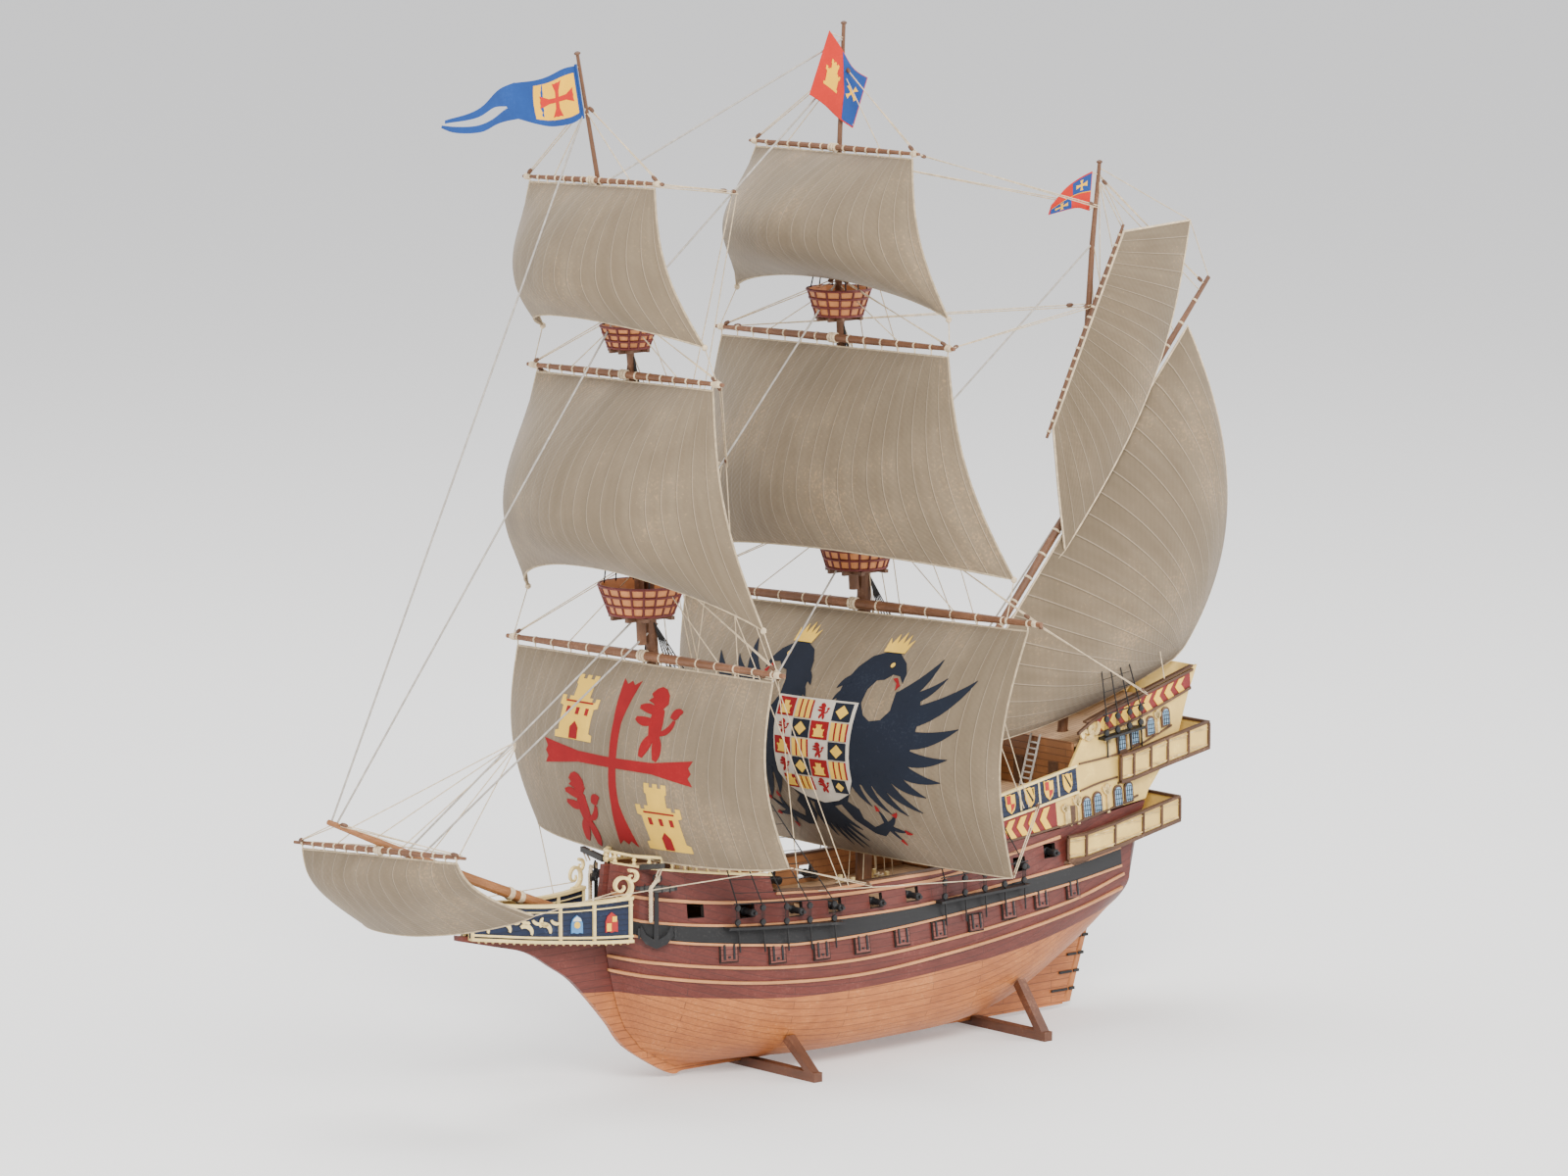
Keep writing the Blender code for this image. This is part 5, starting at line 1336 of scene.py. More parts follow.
def cloth_mesh(name, shape, cols, rows, thick, finish, ahead):
    """Closed sheet over shape(u, v); returns the piece and its cloth area in square metres."""
    front = []
    back = []
    uvs = []
    grid = [[shape(c / cols, r / rows) for c in range(cols + 1)] for r in range(rows + 1)]
    across = [0.0]
    mid = grid[rows // 2]
    for c in range(cols):
        across.append(across[-1] + (mid[c + 1] - mid[c]).length)
    down = [0.0]
    for r in range(rows):
        down.append(down[-1] + (grid[r + 1][cols // 2] - grid[r][cols // 2]).length)
    for r in range(rows + 1):
        for c in range(cols + 1):
            normal = surface_normal(shape, c / cols, r / rows)
            if normal.dot(ahead) < 0.0:
                normal = -normal
            front.append(place(*(grid[r][c] + normal * thick / 2)))
            back.append(place(*(grid[r][c] - normal * thick / 2)))
            uvs.append((across[c] * MM, down[r] * MM))
    count = len(front)
    faces = []
    width = cols + 1
    for r in range(rows):
        for c in range(cols):
            a = r * width + c
            faces.append((a, a + 1, a + width + 1, a + width))
            faces.append((count + a, count + a + width, count + a + width + 1, count + a + 1))
    rim = [c for c in range(cols)] + [r * width + cols for r in range(rows)]
    rim += [rows * width + c for c in range(cols, 0, -1)] + [r * width for r in range(rows, 0, -1)]
    for i in range(len(rim)):
        a = rim[i]
        b = rim[(i + 1) % len(rim)]
        faces.append((a, b, b + count, a + count))
    piece = build_piece(name, front + back, faces, finish, uvs + uvs, 50.0)
    area = 0.0
    for r in range(rows):
        for c in range(cols):
            p, q, s, t = grid[r][c], grid[r][c + 1], grid[r + 1][c + 1], grid[r + 1][c]
            area += ((q - p).cross(s - p).length + (s - p).cross(t - p).length) / 2.0
    return piece, area * 1e-6


def row_length(shape, v, cols=24):
    """Length of one row of cloth, metres."""
    points = [shape(c / cols, v) for c in range(cols + 1)]
    return sum((points[i + 1] - points[i]).length for i in range(cols)) * MM


def column_length(shape, u, rows=24):
    points = [shape(u, r / rows) for r in range(rows + 1)]
    return sum((points[i + 1] - points[i]).length for i in range(rows)) * MM


def sail_shape(spec):
    """Surface of a square sail with small creases, as a function of (u, v)."""
    def shape(u, v):
        point = square_sail_point(spec, u, v)
        ripple = math.sin(u * 19.0 + v * 3.0) * math.sin(math.pi * u) * 0.35
        point.x += ripple + 0.5 * math.sin(v * 11.0 + u * 5.0) * math.sin(math.pi * u) * math.sin(math.pi * v)
        return point
    return shape


# %% [markdown]
# The square sails are hung next. Each measures its own cloth along the rows and the columns and prints how
# wide and how tall the canvas really is, and a rope follows its edge.

# %% square sails
SAIL_SHAPES = {}
sail_report = []
for name, spec in SAILS.items():
    shape = sail_shape(spec)
    SAIL_SHAPES[name] = shape
    wide = max(row_length(shape, v / 6) for v in range(7))
    tall = max(column_length(shape, u / 6) for u in range(7))
    piece, area = cloth_mesh(name + "_cloth", shape, 48, 36, SAIL_THICK, CANVAS, Vector((-1.0, 0.0, 0.0)))
    fit_out(piece)
    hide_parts(name)
    sail_report.append((name, round(wide, 4), round(tall, 4), round(area, 5)))
    edge = [shape(c / 40, 0.0) for c in range(41)] + [shape(1.0, r / 40) for r in range(1, 41)]
    edge += [shape(c / 40, 1.0) for c in range(39, -1, -1)] + [shape(0.0, r / 40) for r in range(39, -1, -1)]
    rope_lines(name + "_boltrope", [[tuple(p) for p in edge]], 0.5, BOLT_ROPE)
for row in sail_report:
    print("sail", row)

# %% [markdown]
# An emblem is drawn flat in millimetres, cut into small cells so it can bend, then laid on the
# sail's own surface function. Every shape here is a plain heraldic figure drawn for this ship: a
# flared cross, towers, prancing beasts and a two-headed bird carrying a quartered shield.

# %% emblem tools


def decal(name, shape, middle, scale, shapes, finish, proud, ahead, cell=0.045, thick=0.16,
          stagger=0.0):
    """Thin bodies on shape(u, v); outlines in mm about middle (u, v), scale is (mm per u, mm per v)."""
    points = []
    faces = []
    for number, outline in enumerate(shapes):
        flat = [(middle[0] + a / scale[0], middle[1] + b / scale[1]) for a, b in outline]
        work = bmesh.new()
        work.faces.new([work.verts.new((u, v, 0.0)) for u, v in flat])
        for axis in (0, 1):
            values = [p[axis] for p in flat]
            start = int(min(values) / cell)
            for k in range(start, int(max(values) / cell) + 1):
                co = [0.0, 0.0, 0.0]
                no = [0.0, 0.0, 0.0]
                co[axis] = k * cell
                no[axis] = 1.0
                every = work.verts[:] + work.edges[:] + work.faces[:]
                bmesh.ops.bisect_plane(work, geom=every, plane_co=co, plane_no=no, dist=1e-6)
        bmesh.ops.triangulate(work, faces=work.faces)
        work.verts.index_update()
        base = len(points)
        count = len(work.verts)
        height = proud + stagger * number
        tops = []
        lows = []
        for vert in work.verts:
            u = min(max(vert.co.x, 0.0), 1.0)
            v = min(max(vert.co.y, 0.0), 1.0)
            normal = surface_normal(shape, u, v)
            if normal.dot(ahead) < 0.0:
                normal = -normal
            spot = shape(u, v)
            tops.append(place(*(spot + normal * (height + thick))))
            lows.append(place(*(spot + normal * height)))
        points += tops + lows
        for face in work.faces:
            ids = [vert.index for vert in face.verts]
            faces.append(tuple(base + i for i in ids))
            faces.append(tuple(base + count + i for i in reversed(ids)))
        for edge in work.edges:
            if len(edge.link_faces) == 1:
                a = edge.verts[0].index
                b = edge.verts[1].index
                faces.append((base + a, base + b, base + count + b, base + count + a))
        work.free()
    return fit_out(build_piece(name, points, faces, finish, None, 50.0))


def moved(outline, dx, dy, size=1.0, flip=False, turn=0.0):
    c = math.cos(turn)
    s = math.sin(turn)
    made = []
    for a, b in outline:
        a = -a if flip else a
        made.append((dx + size * (a * c - b * s), dy + size * (a * s + b * c)))
    return made


def disc(x, y, radius, sides=14):
    return [(x + radius * math.cos(math.tau * k / sides), y + radius * math.sin(math.tau * k / sides))
            for k in range(sides)]


def blade(x, y, angle, length, width, bend, tip=0.12, steps=8):
    """Curved feather or claw starting at (x, y); angle in degrees, bend in degrees over the length."""
    left = []
    right = []
    px, py = x, y
    for k in range(steps + 1):
        t = k / steps
        way = math.radians(angle + bend * t)
        half = width * 0.5 * (0.55 + 0.9 * math.sin(math.pi * min(t * 0.75 + 0.12,
                                                                  1.0))) * (1.0 - t ** 3 * (1.0 - tip))
        left.append((px - math.sin(way) * half, py + math.cos(way) * half))
        right.append((px + math.sin(way) * half, py - math.cos(way) * half))
        px += math.cos(way) * length / steps
        py += math.sin(way) * length / steps
    return left + right[::-1]


def tower(width, height):
    """Tower with three turrets and battlements; the foot is on the lower line."""
    w = width / 2.0
    t = w * 0.2
    outline = [(-w, 0.0), (-w, -height * 0.1), (-w * 0.82, -height * 0.12), (-w * 0.82, -height * 0.5),
               (-w, -height * 0.52), (-w, -height * 0.66), (-w + t, -height * 0.66), (-w + t, -height * 0.6),
               (-w + 2 * t, -height * 0.6), (-w + 2 * t, -height * 0.66), (-w * 0.42, -height * 0.66),
               (-w * 0.42, -height * 0.84), (-w * 0.5, -height * 0.86), (-w * 0.5, -height),
               (-w * 0.28, -height), (-w * 0.28, -height * 0.94), (-w * 0.1, -height * 0.94),
               (-w * 0.1, -height)]
    return outline + [(-a, b) for a, b in reversed(outline)]


def flared_cross(reach_a, reach_b, waist, flare):
    """Cross with arms that widen and have notched ends."""
    arm = [(waist, -waist), (waist * 1.1, -reach_b * 0.5), (flare, -reach_b), (flare * 0.4, -reach_b * 0.94),
           (0.0, -reach_b * 0.985), (-flare * 0.4, -reach_b * 0.94), (-flare, -reach_b),
           (-waist * 1.1, -reach_b * 0.5)]
    side = [(-waist, -waist), (-reach_a * 0.5, -waist * 1.1), (-reach_a, -flare),
            (-reach_a * 0.95, -flare * 0.4), (-reach_a * 0.985, 0.0), (-reach_a * 0.95, flare * 0.4),
            (-reach_a, flare), (-reach_a * 0.5, waist * 1.1)]
    low = [(-a, -b) for a, b in arm]
    right = [(-a, -b) for a, b in side]
    return arm + side + low + right


BEAST = [[(-1.5, -3.5), (0.6, -4.6), (2.6, -3.4), (3.2, 0.0), (3.0, 4.2), (0.9, 5.8), (-1.2, 4.4),
          (-1.9, 0.5)],
         [(-4.3, -7.7), (-3.0, -9.2), (-1.3, -9.9), (0.6, -9.4), (2.4, -7.8), (3.2, -5.4), (1.4, -3.4),
          (-0.9, -3.6), (-2.2, -5.0), (-4.6, -5.8), (-3.2, -6.7)],
         blade(-0.4, -2.6, 205.0, 6.6, 1.9, -35.0, 0.6), blade(-0.8, 0.0, 172.0, 6.4, 1.9, 30.0, 0.6),
         blade(0.2, 4.2, 130.0, 7.2, 2.4, -25.0, 0.7), blade(1.8, 4.4, 70.0, 6.8, 2.5, 40.0, 0.7),
         blade(2.6, 3.2, -10.0, 6.6, 1.3, -75.0, 0.9), blade(6.3, -1.4, -70.0, 4.2, 2.2, 80.0, 0.3)]

AHEAD = Vector((-1.0, 0.0, 0.0))
fore_shape = SAIL_SHAPES["fore_course"]
SCALE_FORE = (158.0, 84.0)
decal("fore_cross", fore_shape, (0.5, 0.51), SCALE_FORE, [flared_cross(46.0, 36.0, 2.2, 5.6)], EMBLEM_RED,
      0.24, AHEAD)
towers = [moved(tower(24.0, 28.0), -27.0, -7.0), moved(tower(25.0, 29.0), 25.0, 35.5)]
decal("fore_towers", fore_shape, (0.5, 0.51), SCALE_FORE, towers, EMBLEM_YELLOW, 0.24, AHEAD)
details = []
for x, y in ((-27.0, -7.0), (25.0, 35.5)):
    details.append([(x - 2.6, y - 0.4), (x + 2.6, y - 0.4), (x + 2.6, y - 5.4), (x, y - 8.0),
                    (x - 2.6, y - 5.4)])
    for dx in (-6.0, 0.0, 6.0):
        details.append([(x + dx - 1.0, y - 11.0), (x + dx + 1.0, y - 11.0), (x + dx + 1.0, y - 14.0),
                        (x + dx - 1.0, y - 14.0)])
    details.append([(x - 8.6, y - 16.0), (x + 8.6, y - 16.0), (x + 8.6, y - 16.7), (x - 8.6, y - 16.7)])
decal("fore_tower_details", fore_shape, (0.5, 0.51), SCALE_FORE, details, EMBLEM_RED, 0.44,
      AHEAD)
beasts = [moved(part, 21.0, -20.0, 1.5) for part in BEAST] + [moved(part, -24.0, 22.0, 1.5) for part in BEAST]
decal("fore_beasts", fore_shape, (0.5, 0.51), SCALE_FORE, beasts, EMBLEM_RED, 0.24, AHEAD,
      stagger=0.012)

# %% [markdown]
# The bird is drawn in parts, spread over the middle of the main course: two heads, feathered wings,
# legs, a tail and a quartered shield on its breast. Where
# layers overlap, each lies at its own height above the cloth.

# %% the two-headed bird on the main course
main_shape = SAIL_SHAPES["main_course"]
SCALE_MAIN = (200.0, 112.0)
MIDDLE = (0.565, 0.5)
LOWER = 4.8


def feather(root, tip, width):
    """Crescent from root to tip whose point sweeps upward; both ends in emblem mm, y down."""
    dx, dy = tip[0] - root[0], tip[1] - root[1]
    bend = 0.17
    turn = (root[0] + dx * 0.5 - dy * bend, root[1] + dy * 0.5 + dx * bend)
    length = math.hypot(dx, dy)
    nx, ny = -dy / length, dx / length
    left = []
    right = []
    for k in range(8):
        t = k / 7
        half = width * 0.5 * (1.0 - t ** 1.7) + 0.12
        x = (1 - t) ** 2 * root[0] + 2 * t * (1 - t) * turn[0] + t * t * tip[0]
        y = (1 - t) ** 2 * root[1] + 2 * t * (1 - t) * turn[1] + t * t * tip[1]
        left.append((x + nx * half, y + ny * half))
        right.append((x - nx * half, y - ny * half))
    return left + right[::-1]


neck = [(11.8, -14.0), (9.5, -24.0), (10.0, -33.0), (13.0, -40.0), (17.0, -44.5), (23.6, -47.0),
        (30.0, -46.6), (36.0, -43.0), (39.0, -39.0), (39.6, -34.6), (36.4, -37.6), (32.6, -38.0),
        (29.6, -35.6), (26.0, -35.0), (23.4, -31.0), (23.0, -25.0), (26.0, -20.0), (30.0, -17.6),
        (28.0, -8.0), (16.0, -8.0)]
wing = [(18.0, -16.0), (30.0, -17.6), (35.5, -18.6), (39.0, -23.0), (38.4, -31.0), (43.0, -32.5),
        (47.0, -34.0), (52.0, -28.0), (54.0, -20.0), (53.5, -10.0), (52.0, -2.0), (47.0, 6.0), (38.0, 11.0),
        (28.0, 12.0), (18.0, 10.0)]
leg = [(9.0, 21.0), (14.5, 21.3), (19.0, 24.6), (18.2, 29.5), (21.8, 33.4), (30.0, 30.0), (32.4, 32.8),
       (24.5, 37.7), (19.0, 37.0), (11.8, 31.0)]
plumes = [((42.0, -29.0), (53.6, -46.0), 7.0), ((46.0, -28.0), (60.0, -38.5), 5.0),
          ((48.0, -20.0), (73.6, -38.5), 9.5), ((48.0, -11.0), (72.0, -17.2), 8.5),
          ((48.0, -4.0), (69.0, -3.3), 7.5), ((46.0, 1.0), (66.0, 7.5), 7.0),
          ((43.0, 4.0), (58.5, 15.0), 6.5), ((38.0, 6.0), (54.5, 22.7), 6.0),
          ((34.0, 7.0), (46.5, 25.0), 5.6), ((29.0, 8.0), (37.4, 25.0), 5.2),
          ((23.0, 8.0), (28.4, 22.0), 5.0)]
toes = [(30.4, 23.0), (39.0, 25.0), (41.0, 33.6), (34.5, 39.0)]
bird = []
claws = []
for flip in (False, True):
    bird.append(moved([(0.0, -18.0), (14.0, -18.0), (22.0, -14.0), (22.0, 12.0), (14.0, 22.0), (0.0, 26.0)],
                      0.0, LOWER, 1.0, flip))
    for outline in (neck, wing, leg):
        bird.append(moved(outline, 0.0, LOWER, 1.0, flip))
    for root, tip, width in plumes:
        bird.append(moved(feather(root, tip, width), 0.0, LOWER, 1.0, flip))
    for k in range(4):
        bird.append(moved(feather((14.6 - 0.6 * k, -19.0 - 5.2 * k), (8.0 - 0.2 * k, -14.6 - 5.2 * k), 3.4),
                          0.0, LOWER, 1.0, flip))
    for tip in toes:
        bird.append(moved(feather((30.8, 31.4), tip, 2.6), 0.0, LOWER, 1.0, flip))
        far = (tip[0] + (tip[0] - 30.8) * 0.22, tip[1] + (tip[1] - 31.4) * 0.22)
        near = (tip[0] - (tip[0] - 30.8) * 0.12, tip[1] - (tip[1] - 31.4) * 0.12)
        claws.append(moved(feather(near, far, 1.9), 0.0, LOWER, 1.0, flip))
    claws.append(moved([(36.0, -36.8), (39.0, -33.6), (37.6, -31.4), (36.8, -34.4), (34.0, -36.2)], 0.0,
                       LOWER, 1.0, flip))
for side in (-1.0, 1.0):
    for k, (out, down) in enumerate(((12.0, 36.0), (10.0, 42.0), (5.0, 46.0))):
        bird.append(feather((side * 1.0, 22.0 + LOWER), (side * out, down + LOWER), 5.0 - k * 0.4))
bird.append(feather((0.0, 22.0 + LOWER), (0.4, 47.0 + LOWER), 4.6))
decal("bird_body", main_shape, MIDDLE, SCALE_MAIN, bird, EMBLEM_NAVY, 0.20, AHEAD, stagger=0.005)
crown = [(-6.0, 0.0), (-7.0, -6.0), (-4.6, -3.4), (-3.4, -8.0), (-1.6, -3.8), (0.0, -9.0), (1.6, -3.8),
         (3.4, -8.0), (4.6, -3.4), (7.0, -6.0), (6.0, 0.0)]
crowns = [moved(crown, side * 26.6, -46.6 + LOWER, 0.92) for side in (-1.0, 1.0)]
eyes = [disc(side * 30.0, -41.6 + LOWER, 1.0) for side in (-1.0, 1.0)]
decal("bird_crowns", main_shape, MIDDLE, SCALE_MAIN, crowns + eyes, EMBLEM_YELLOW, 0.56, AHEAD)
decal("bird_claws", main_shape, MIDDLE, SCALE_MAIN, claws, EMBLEM_RED, 0.56, AHEAD,
      stagger=0.004)
SCALE_SHIELD = (208.0, 134.0)


def box_shape(x0, y0, x1, y1):
    return [(x0, y0), (x1, y0), (x1, y1), (x0, y1)]


shield_rim = [(-23.0, -24.0), (23.0, -24.0), (23.0, 18.0), (19.0, 26.0), (10.0, 31.0), (0.0, 33.5),
              (-10.0, 31.0), (-19.0, 26.0), (-23.0, 18.0)]
decal("shield_field", main_shape, MIDDLE, SCALE_SHIELD, [shield_rim], EMBLEM_WHITE, 0.52, AHEAD)
red = []
yellow = []
navy = []
for column in range(4):
    for row in range(5):
        x0 = -22.0 + 11.0 * column
        y0 = -23.0 + 10.4 * row
        x1 = x0 + 10.2
        y1 = y0 + 9.6
        if row == 4:
            x0, x1 = (max(x0, -19.0), min(x1, 19.0))
            y1 = y0 + 7.4
        kind = (column + 2 * row) % 4
        if kind == 0:
            red.append(box_shape(x0, y0, x1, y1))
            yellow.append(moved(tower(6.4, 6.6), (x0 + x1) / 2, y1 - 1.2))
        elif kind == 1:
            for k in range(3):
                yellow.append(box_shape(x0 + 0.5 + 3.3 * k, y0, x0 + 2.6 + 3.3 * k, y1))
                red.append(box_shape(x0 + 2.7 + 3.3 * k, y0, min(x0 + 3.7 + 3.3 * k, x1), y1))
        elif kind == 2:
            red += [moved(part, (x0 + x1) / 2, (y0 + y1) / 2, 0.4) for part in BEAST]
        else:
            navy.append(box_shape(x0, y0, x1, y1))
            yellow.append([((x0 + x1) / 2, y0 + 1.2), (x1 - 1.6, (y0 + y1) / 2), ((x0 + x1) / 2, y1 - 1.2),
                           (x0 + 1.6, (y0 + y1) / 2)])
decal("shield_red", main_shape, MIDDLE, SCALE_SHIELD, red, EMBLEM_RED, 0.70, AHEAD,
      stagger=0.001)
decal("shield_navy", main_shape, MIDDLE, SCALE_SHIELD, navy, EMBLEM_NAVY, 0.70, AHEAD)
decal("shield_yellow", main_shape, MIDDLE, SCALE_SHIELD, yellow, EMBLEM_YELLOW, 0.90, AHEAD,
      stagger=0.001)
print("emblems laid on the fore course and the main course")

# %% [markdown]
# The lateen sails are a triangle and a tall strip on slanting yards. The triangle's surface has
# two coordinates, along the yard and out toward the clew, so it is woven like the square sails.

# %% lateen sails


def mizzen_shape(u, v):
    """Mizzen course: u tack to peak along the yard, v from yard to clew."""
    reach = min(v, 0.999)
    point = lateen_point((1.0 - u) * (1.0 - reach), u * (1.0 - reach), reach)
    point.y += 0.4 * math.sin(u * 23.0) * math.sin(math.pi * v)
    return point


def mizzen_top_shape(u, v):
    point = upper_lateen_point(u, v)
    point.y += 0.35 * math.sin(u * 17.0 + v * 3.0) * math.sin(math.pi * v)
    return point


PORT = Vector((0.0, -1.0, 0.0))
for name, shape, cols, rows in (("mizzen_course", mizzen_shape, 44, 40),
                                ("mizzen_topsail", mizzen_top_shape, 44, 24)):
    SAIL_SHAPES[name] = shape
    last_row = 0.975 if name == "mizzen_course" else 1.0

    def trimmed(u, v, shape=shape, last_row=last_row):
        return shape(u, v * last_row)

    wide = max(row_length(trimmed, v / 6) for v in range(7))
    tall = max(column_length(trimmed, u / 6) for u in range(7))
    piece, area = cloth_mesh(name + "_cloth", trimmed, cols, rows, SAIL_THICK, CANVAS, PORT)
    fit_out(piece)
    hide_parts(name)
    share = area / (wide * tall * 1.01)
    edge = [trimmed(c / 40, 0.0) for c in range(41)] + [trimmed(1.0, r / 40) for r in range(1, 41)]
    edge += [trimmed(c / 12, 1.0) for c in range(11, -1, -1)] + [trimmed(0.0, r / 40) for r in range(39, -1,
            -1)]
    rope_lines(name + "_boltrope", [[tuple(p) for p in edge]], 0.5, ROPE_CREAM)
    print("sail", name, round(wide, 4), round(tall, 4), round(area, 5), "fills", round(share, 2))

# %% [markdown]
# Flags: swallow-tailed pennant, square banner and a small mizzen flag. Each keeps the outline of
# its frame sheet and carries painted fields as thin cut-outs on both faces.

# %% flags
FLAG_BLUE = paint_finish("flag_blue", (0.012, 0.055, 0.23), wash=0.35, rub=0.2, rough=0.8, patch=80.0,
                         dark=0.6, light=(0.03, 0.1, 0.32))
FLAG_RED = paint_finish("flag_red", (0.52, 0.02, 0.01), wash=0.3, rub=0.2, rough=0.8, patch=80.0, dark=0.65,
                        light=(0.62, 0.05, 0.02))
FLAG_YELLOW = paint_finish("flag_yellow", (0.88, 0.46, 0.01), wash=0.25, rub=0.2, rough=0.8, patch=80.0,
                           dark=0.7, light=(0.93, 0.58, 0.05))


def ripple(x, start, amount, length):
    run = abs(x - start)
    return amount * math.sin(run / length * math.tau) * min(run / length, 1.0)


def smooth_edge(marks, t):
    count = len(marks) - 1
    places = [k / count for k in range(count + 1)]
    return (soft_lookup(t, places, [m[0] for m in marks]), soft_lookup(t, places, [m[1] for m in marks]))


def pennant_body(u, v):
    top = smooth_edge(PENNANT_BODY_TOP, u)
    low = smooth_edge(PENNANT_BODY_LOW, u)
    x = top[0] + (low[0] - top[0]) * v - 5.0 * u ** 6 * math.sin(math.pi * v)
    z = top[1] + (low[1] - top[1]) * v
    return Vector((x, ripple(x, -108.0, 1.6, 30.0), z))


def pennant_tail(marks_a, marks_b, hoist_a, hoist_b):
    def shape(u, v):
        a = smooth_edge([hoist_a] + marks_a, u)
        b = smooth_edge([hoist_b] + marks_b, u)
        x = a[0] + (b[0] - a[0]) * v
        z = a[1] + (b[1] - a[1]) * v
        return Vector((x, ripple(x, -108.0, 1.6, 30.0), z))
    return shape


body_piece, body_area = cloth_mesh("pennant_cloth", pennant_body, 26, 12, FLAG_THICK, FLAG_BLUE, PORT)
upper_tail = pennant_tail(PENNANT_TAIL_TOP, PENNANT_TAIL_MID, (-143.6, 415.2), (-147.6, 405.9))
lower_tail = pennant_tail(PENNANT_LOW_MID, PENNANT_LOW_EDGE, (-147.6, 405.1), (-141.8, 400.6))
tail_a, area_a = cloth_mesh("pennant_tail_upper", upper_tail, 20, 6, FLAG_THICK * 0.8, FLAG_BLUE, PORT)
tail_b, area_b = cloth_mesh("pennant_tail_lower", lower_tail, 20, 6, FLAG_THICK * 0.8, FLAG_BLUE, PORT)
for piece in (body_piece, tail_a, tail_b):
    fit_out(piece)
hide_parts("fore_pennant")


def banner_shape(u, v):
    top_left, top_right, low_right, low_left = BANNER_CORNERS
    x = (top_left[0] * (1 - u) + top_right[0] * u) * (1 - v) + (low_left[0] * (1 - u) + low_right[0] * u) * v
    z = (top_left[1] * (1 - u) + top_right[1] * u) * (1 - v) + (low_left[1] * (1 - u) + low_right[1] * u) * v
    z -= 3.0 * math.sin(math.pi * u) * (1 - v)
    return Vector((x, -3.2 - 1.2 * math.sin(math.pi * 2 * u) - 0.8 * v, z))


def small_flag(u, v):
    top = smooth_edge(MIZZEN_FLAG_TOP, u)
    low = smooth_edge(MIZZEN_FLAG_LOW, u)
    x = top[0] + (low[0] - top[0]) * v
    z = top[1] + (low[1] - top[1]) * v
    return Vector((x, ripple(x, 171.0, 1.2, 24.0), z))


for name, node, shape, cols, rows in (("banner_cloth", "main_banner", banner_shape, 16, 16),
                                      ("mizzen_flag_cloth", "mizzen_flag", small_flag, 16, 12)):
    finish = FLAG_RED
    piece, area = cloth_mesh(name, shape, cols, rows, FLAG_THICK, finish, PORT)
    fit_out(piece)
    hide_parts(node)
    wide = max(row_length(shape, v / 6) for v in range(7))
    tall = max(column_length(shape, u / 6) for u in range(7))
    print("flag", name, round(wide, 4), round(tall, 4), round(area, 6))
for label, ahead in (("port", PORT), ("starboard", -PORT)):
    decal("pennant_field_" + label, pennant_body, (0.42, 0.5), (35.0, 20.0),
          [box_shape(-12.0, -7.6, 12.0, 7.6)], FLAG_YELLOW, 0.22, ahead, 0.12, 0.1)
    decal("pennant_cross_" + label, pennant_body, (0.42, 0.5), (35.0, 20.0),
          [flared_cross(9.6, 6.6, 0.9, 2.6)], FLAG_RED, 0.34, ahead, 0.12, 0.1)
    decal("banner_blue_" + label, banner_shape, (0.0, 0.0), (30.0, 28.0),
          [[(9.0, 0.4), (29.6, 0.4), (29.6, 27.4), (23.0, 27.4), (19.0, 14.0)]], FLAG_BLUE,
          0.22, ahead, 0.12, 0.1)
    decal("banner_tower_" + label, banner_shape, (0.0, 0.0), (30.0, 28.0),
          [moved(tower(9.6, 12.0), 9.2, 19.4, 1.0, False, -0.15)], FLAG_YELLOW, 0.22, ahead,
          0.12, 0.1)
    decal("banner_star_" + label, banner_shape, (0.0, 0.0), (30.0, 28.0),
          [moved(flared_cross(4.2, 4.2, 0.5, 1.3), 23.6, 12.0, 1.0, False, 0.6)], FLAG_YELLOW,
          0.36, ahead, 0.12, 0.1)
    decal("mizzen_blue_" + label, small_flag, (0.0, 0.0), (24.0, 12.0),
          [box_shape(0.4, 0.4, 11.4, 5.8), box_shape(12.4, 6.2, 23.4, 11.6)], FLAG_BLUE, 0.22,
          ahead, 0.12, 0.1)
    decal("mizzen_yellow_" + label, small_flag, (0.0, 0.0), (24.0, 12.0),
          [moved(flared_cross(3.4, 2.0, 0.4, 0.9), 6.0, 3.1),
           moved(flared_cross(3.4, 2.0, 0.4, 0.9), 18.0, 8.9), box_shape(0.4, 5.9, 23.4, 6.1)], FLAG_YELLOW,
           0.34, ahead, 0.12, 0.1)
print("flags dressed")

# %% [markdown]
# The sterncastle keeps its cream frame walls. Onto them go painted bands, shields, chevrons,
# arched windows and gilt columns, each a thin body that follows the wall through the same
# `side_point` function as the wales.

# %% wall decorations


def wall_shape(side):
    """Castle wall as a surface: u is station x / 1000, v is height / 1000, so decals can lie on it."""
    def shape(u, v):
        p = side_point(u * 1000.0, v * 1000.0, 0.0, side)
        return Vector(p)
    return shape


def wall_decal(name, outlines, finish, proud, thick=0.3, cell=0.006, both=True):
    """Outlines in station (x, z) millimetres laid on the wall of one or both sides."""
    made = []
    for side in ((-1.0, 1.0) if both else (-1.0,)):
        label = name + ("_port" if side < 0.0 else "_starboard")
        shapes = [[(x, z) for x, z in outline] for outline in outlines]
        ahead = Vector((0.0, side, 0.0))
        made.append(decal(label, wall_shape(side), (0.0, 0.0), (1000.0, 1000.0), shapes, finish, proud,
                          ahead, cell, thick))
    return made


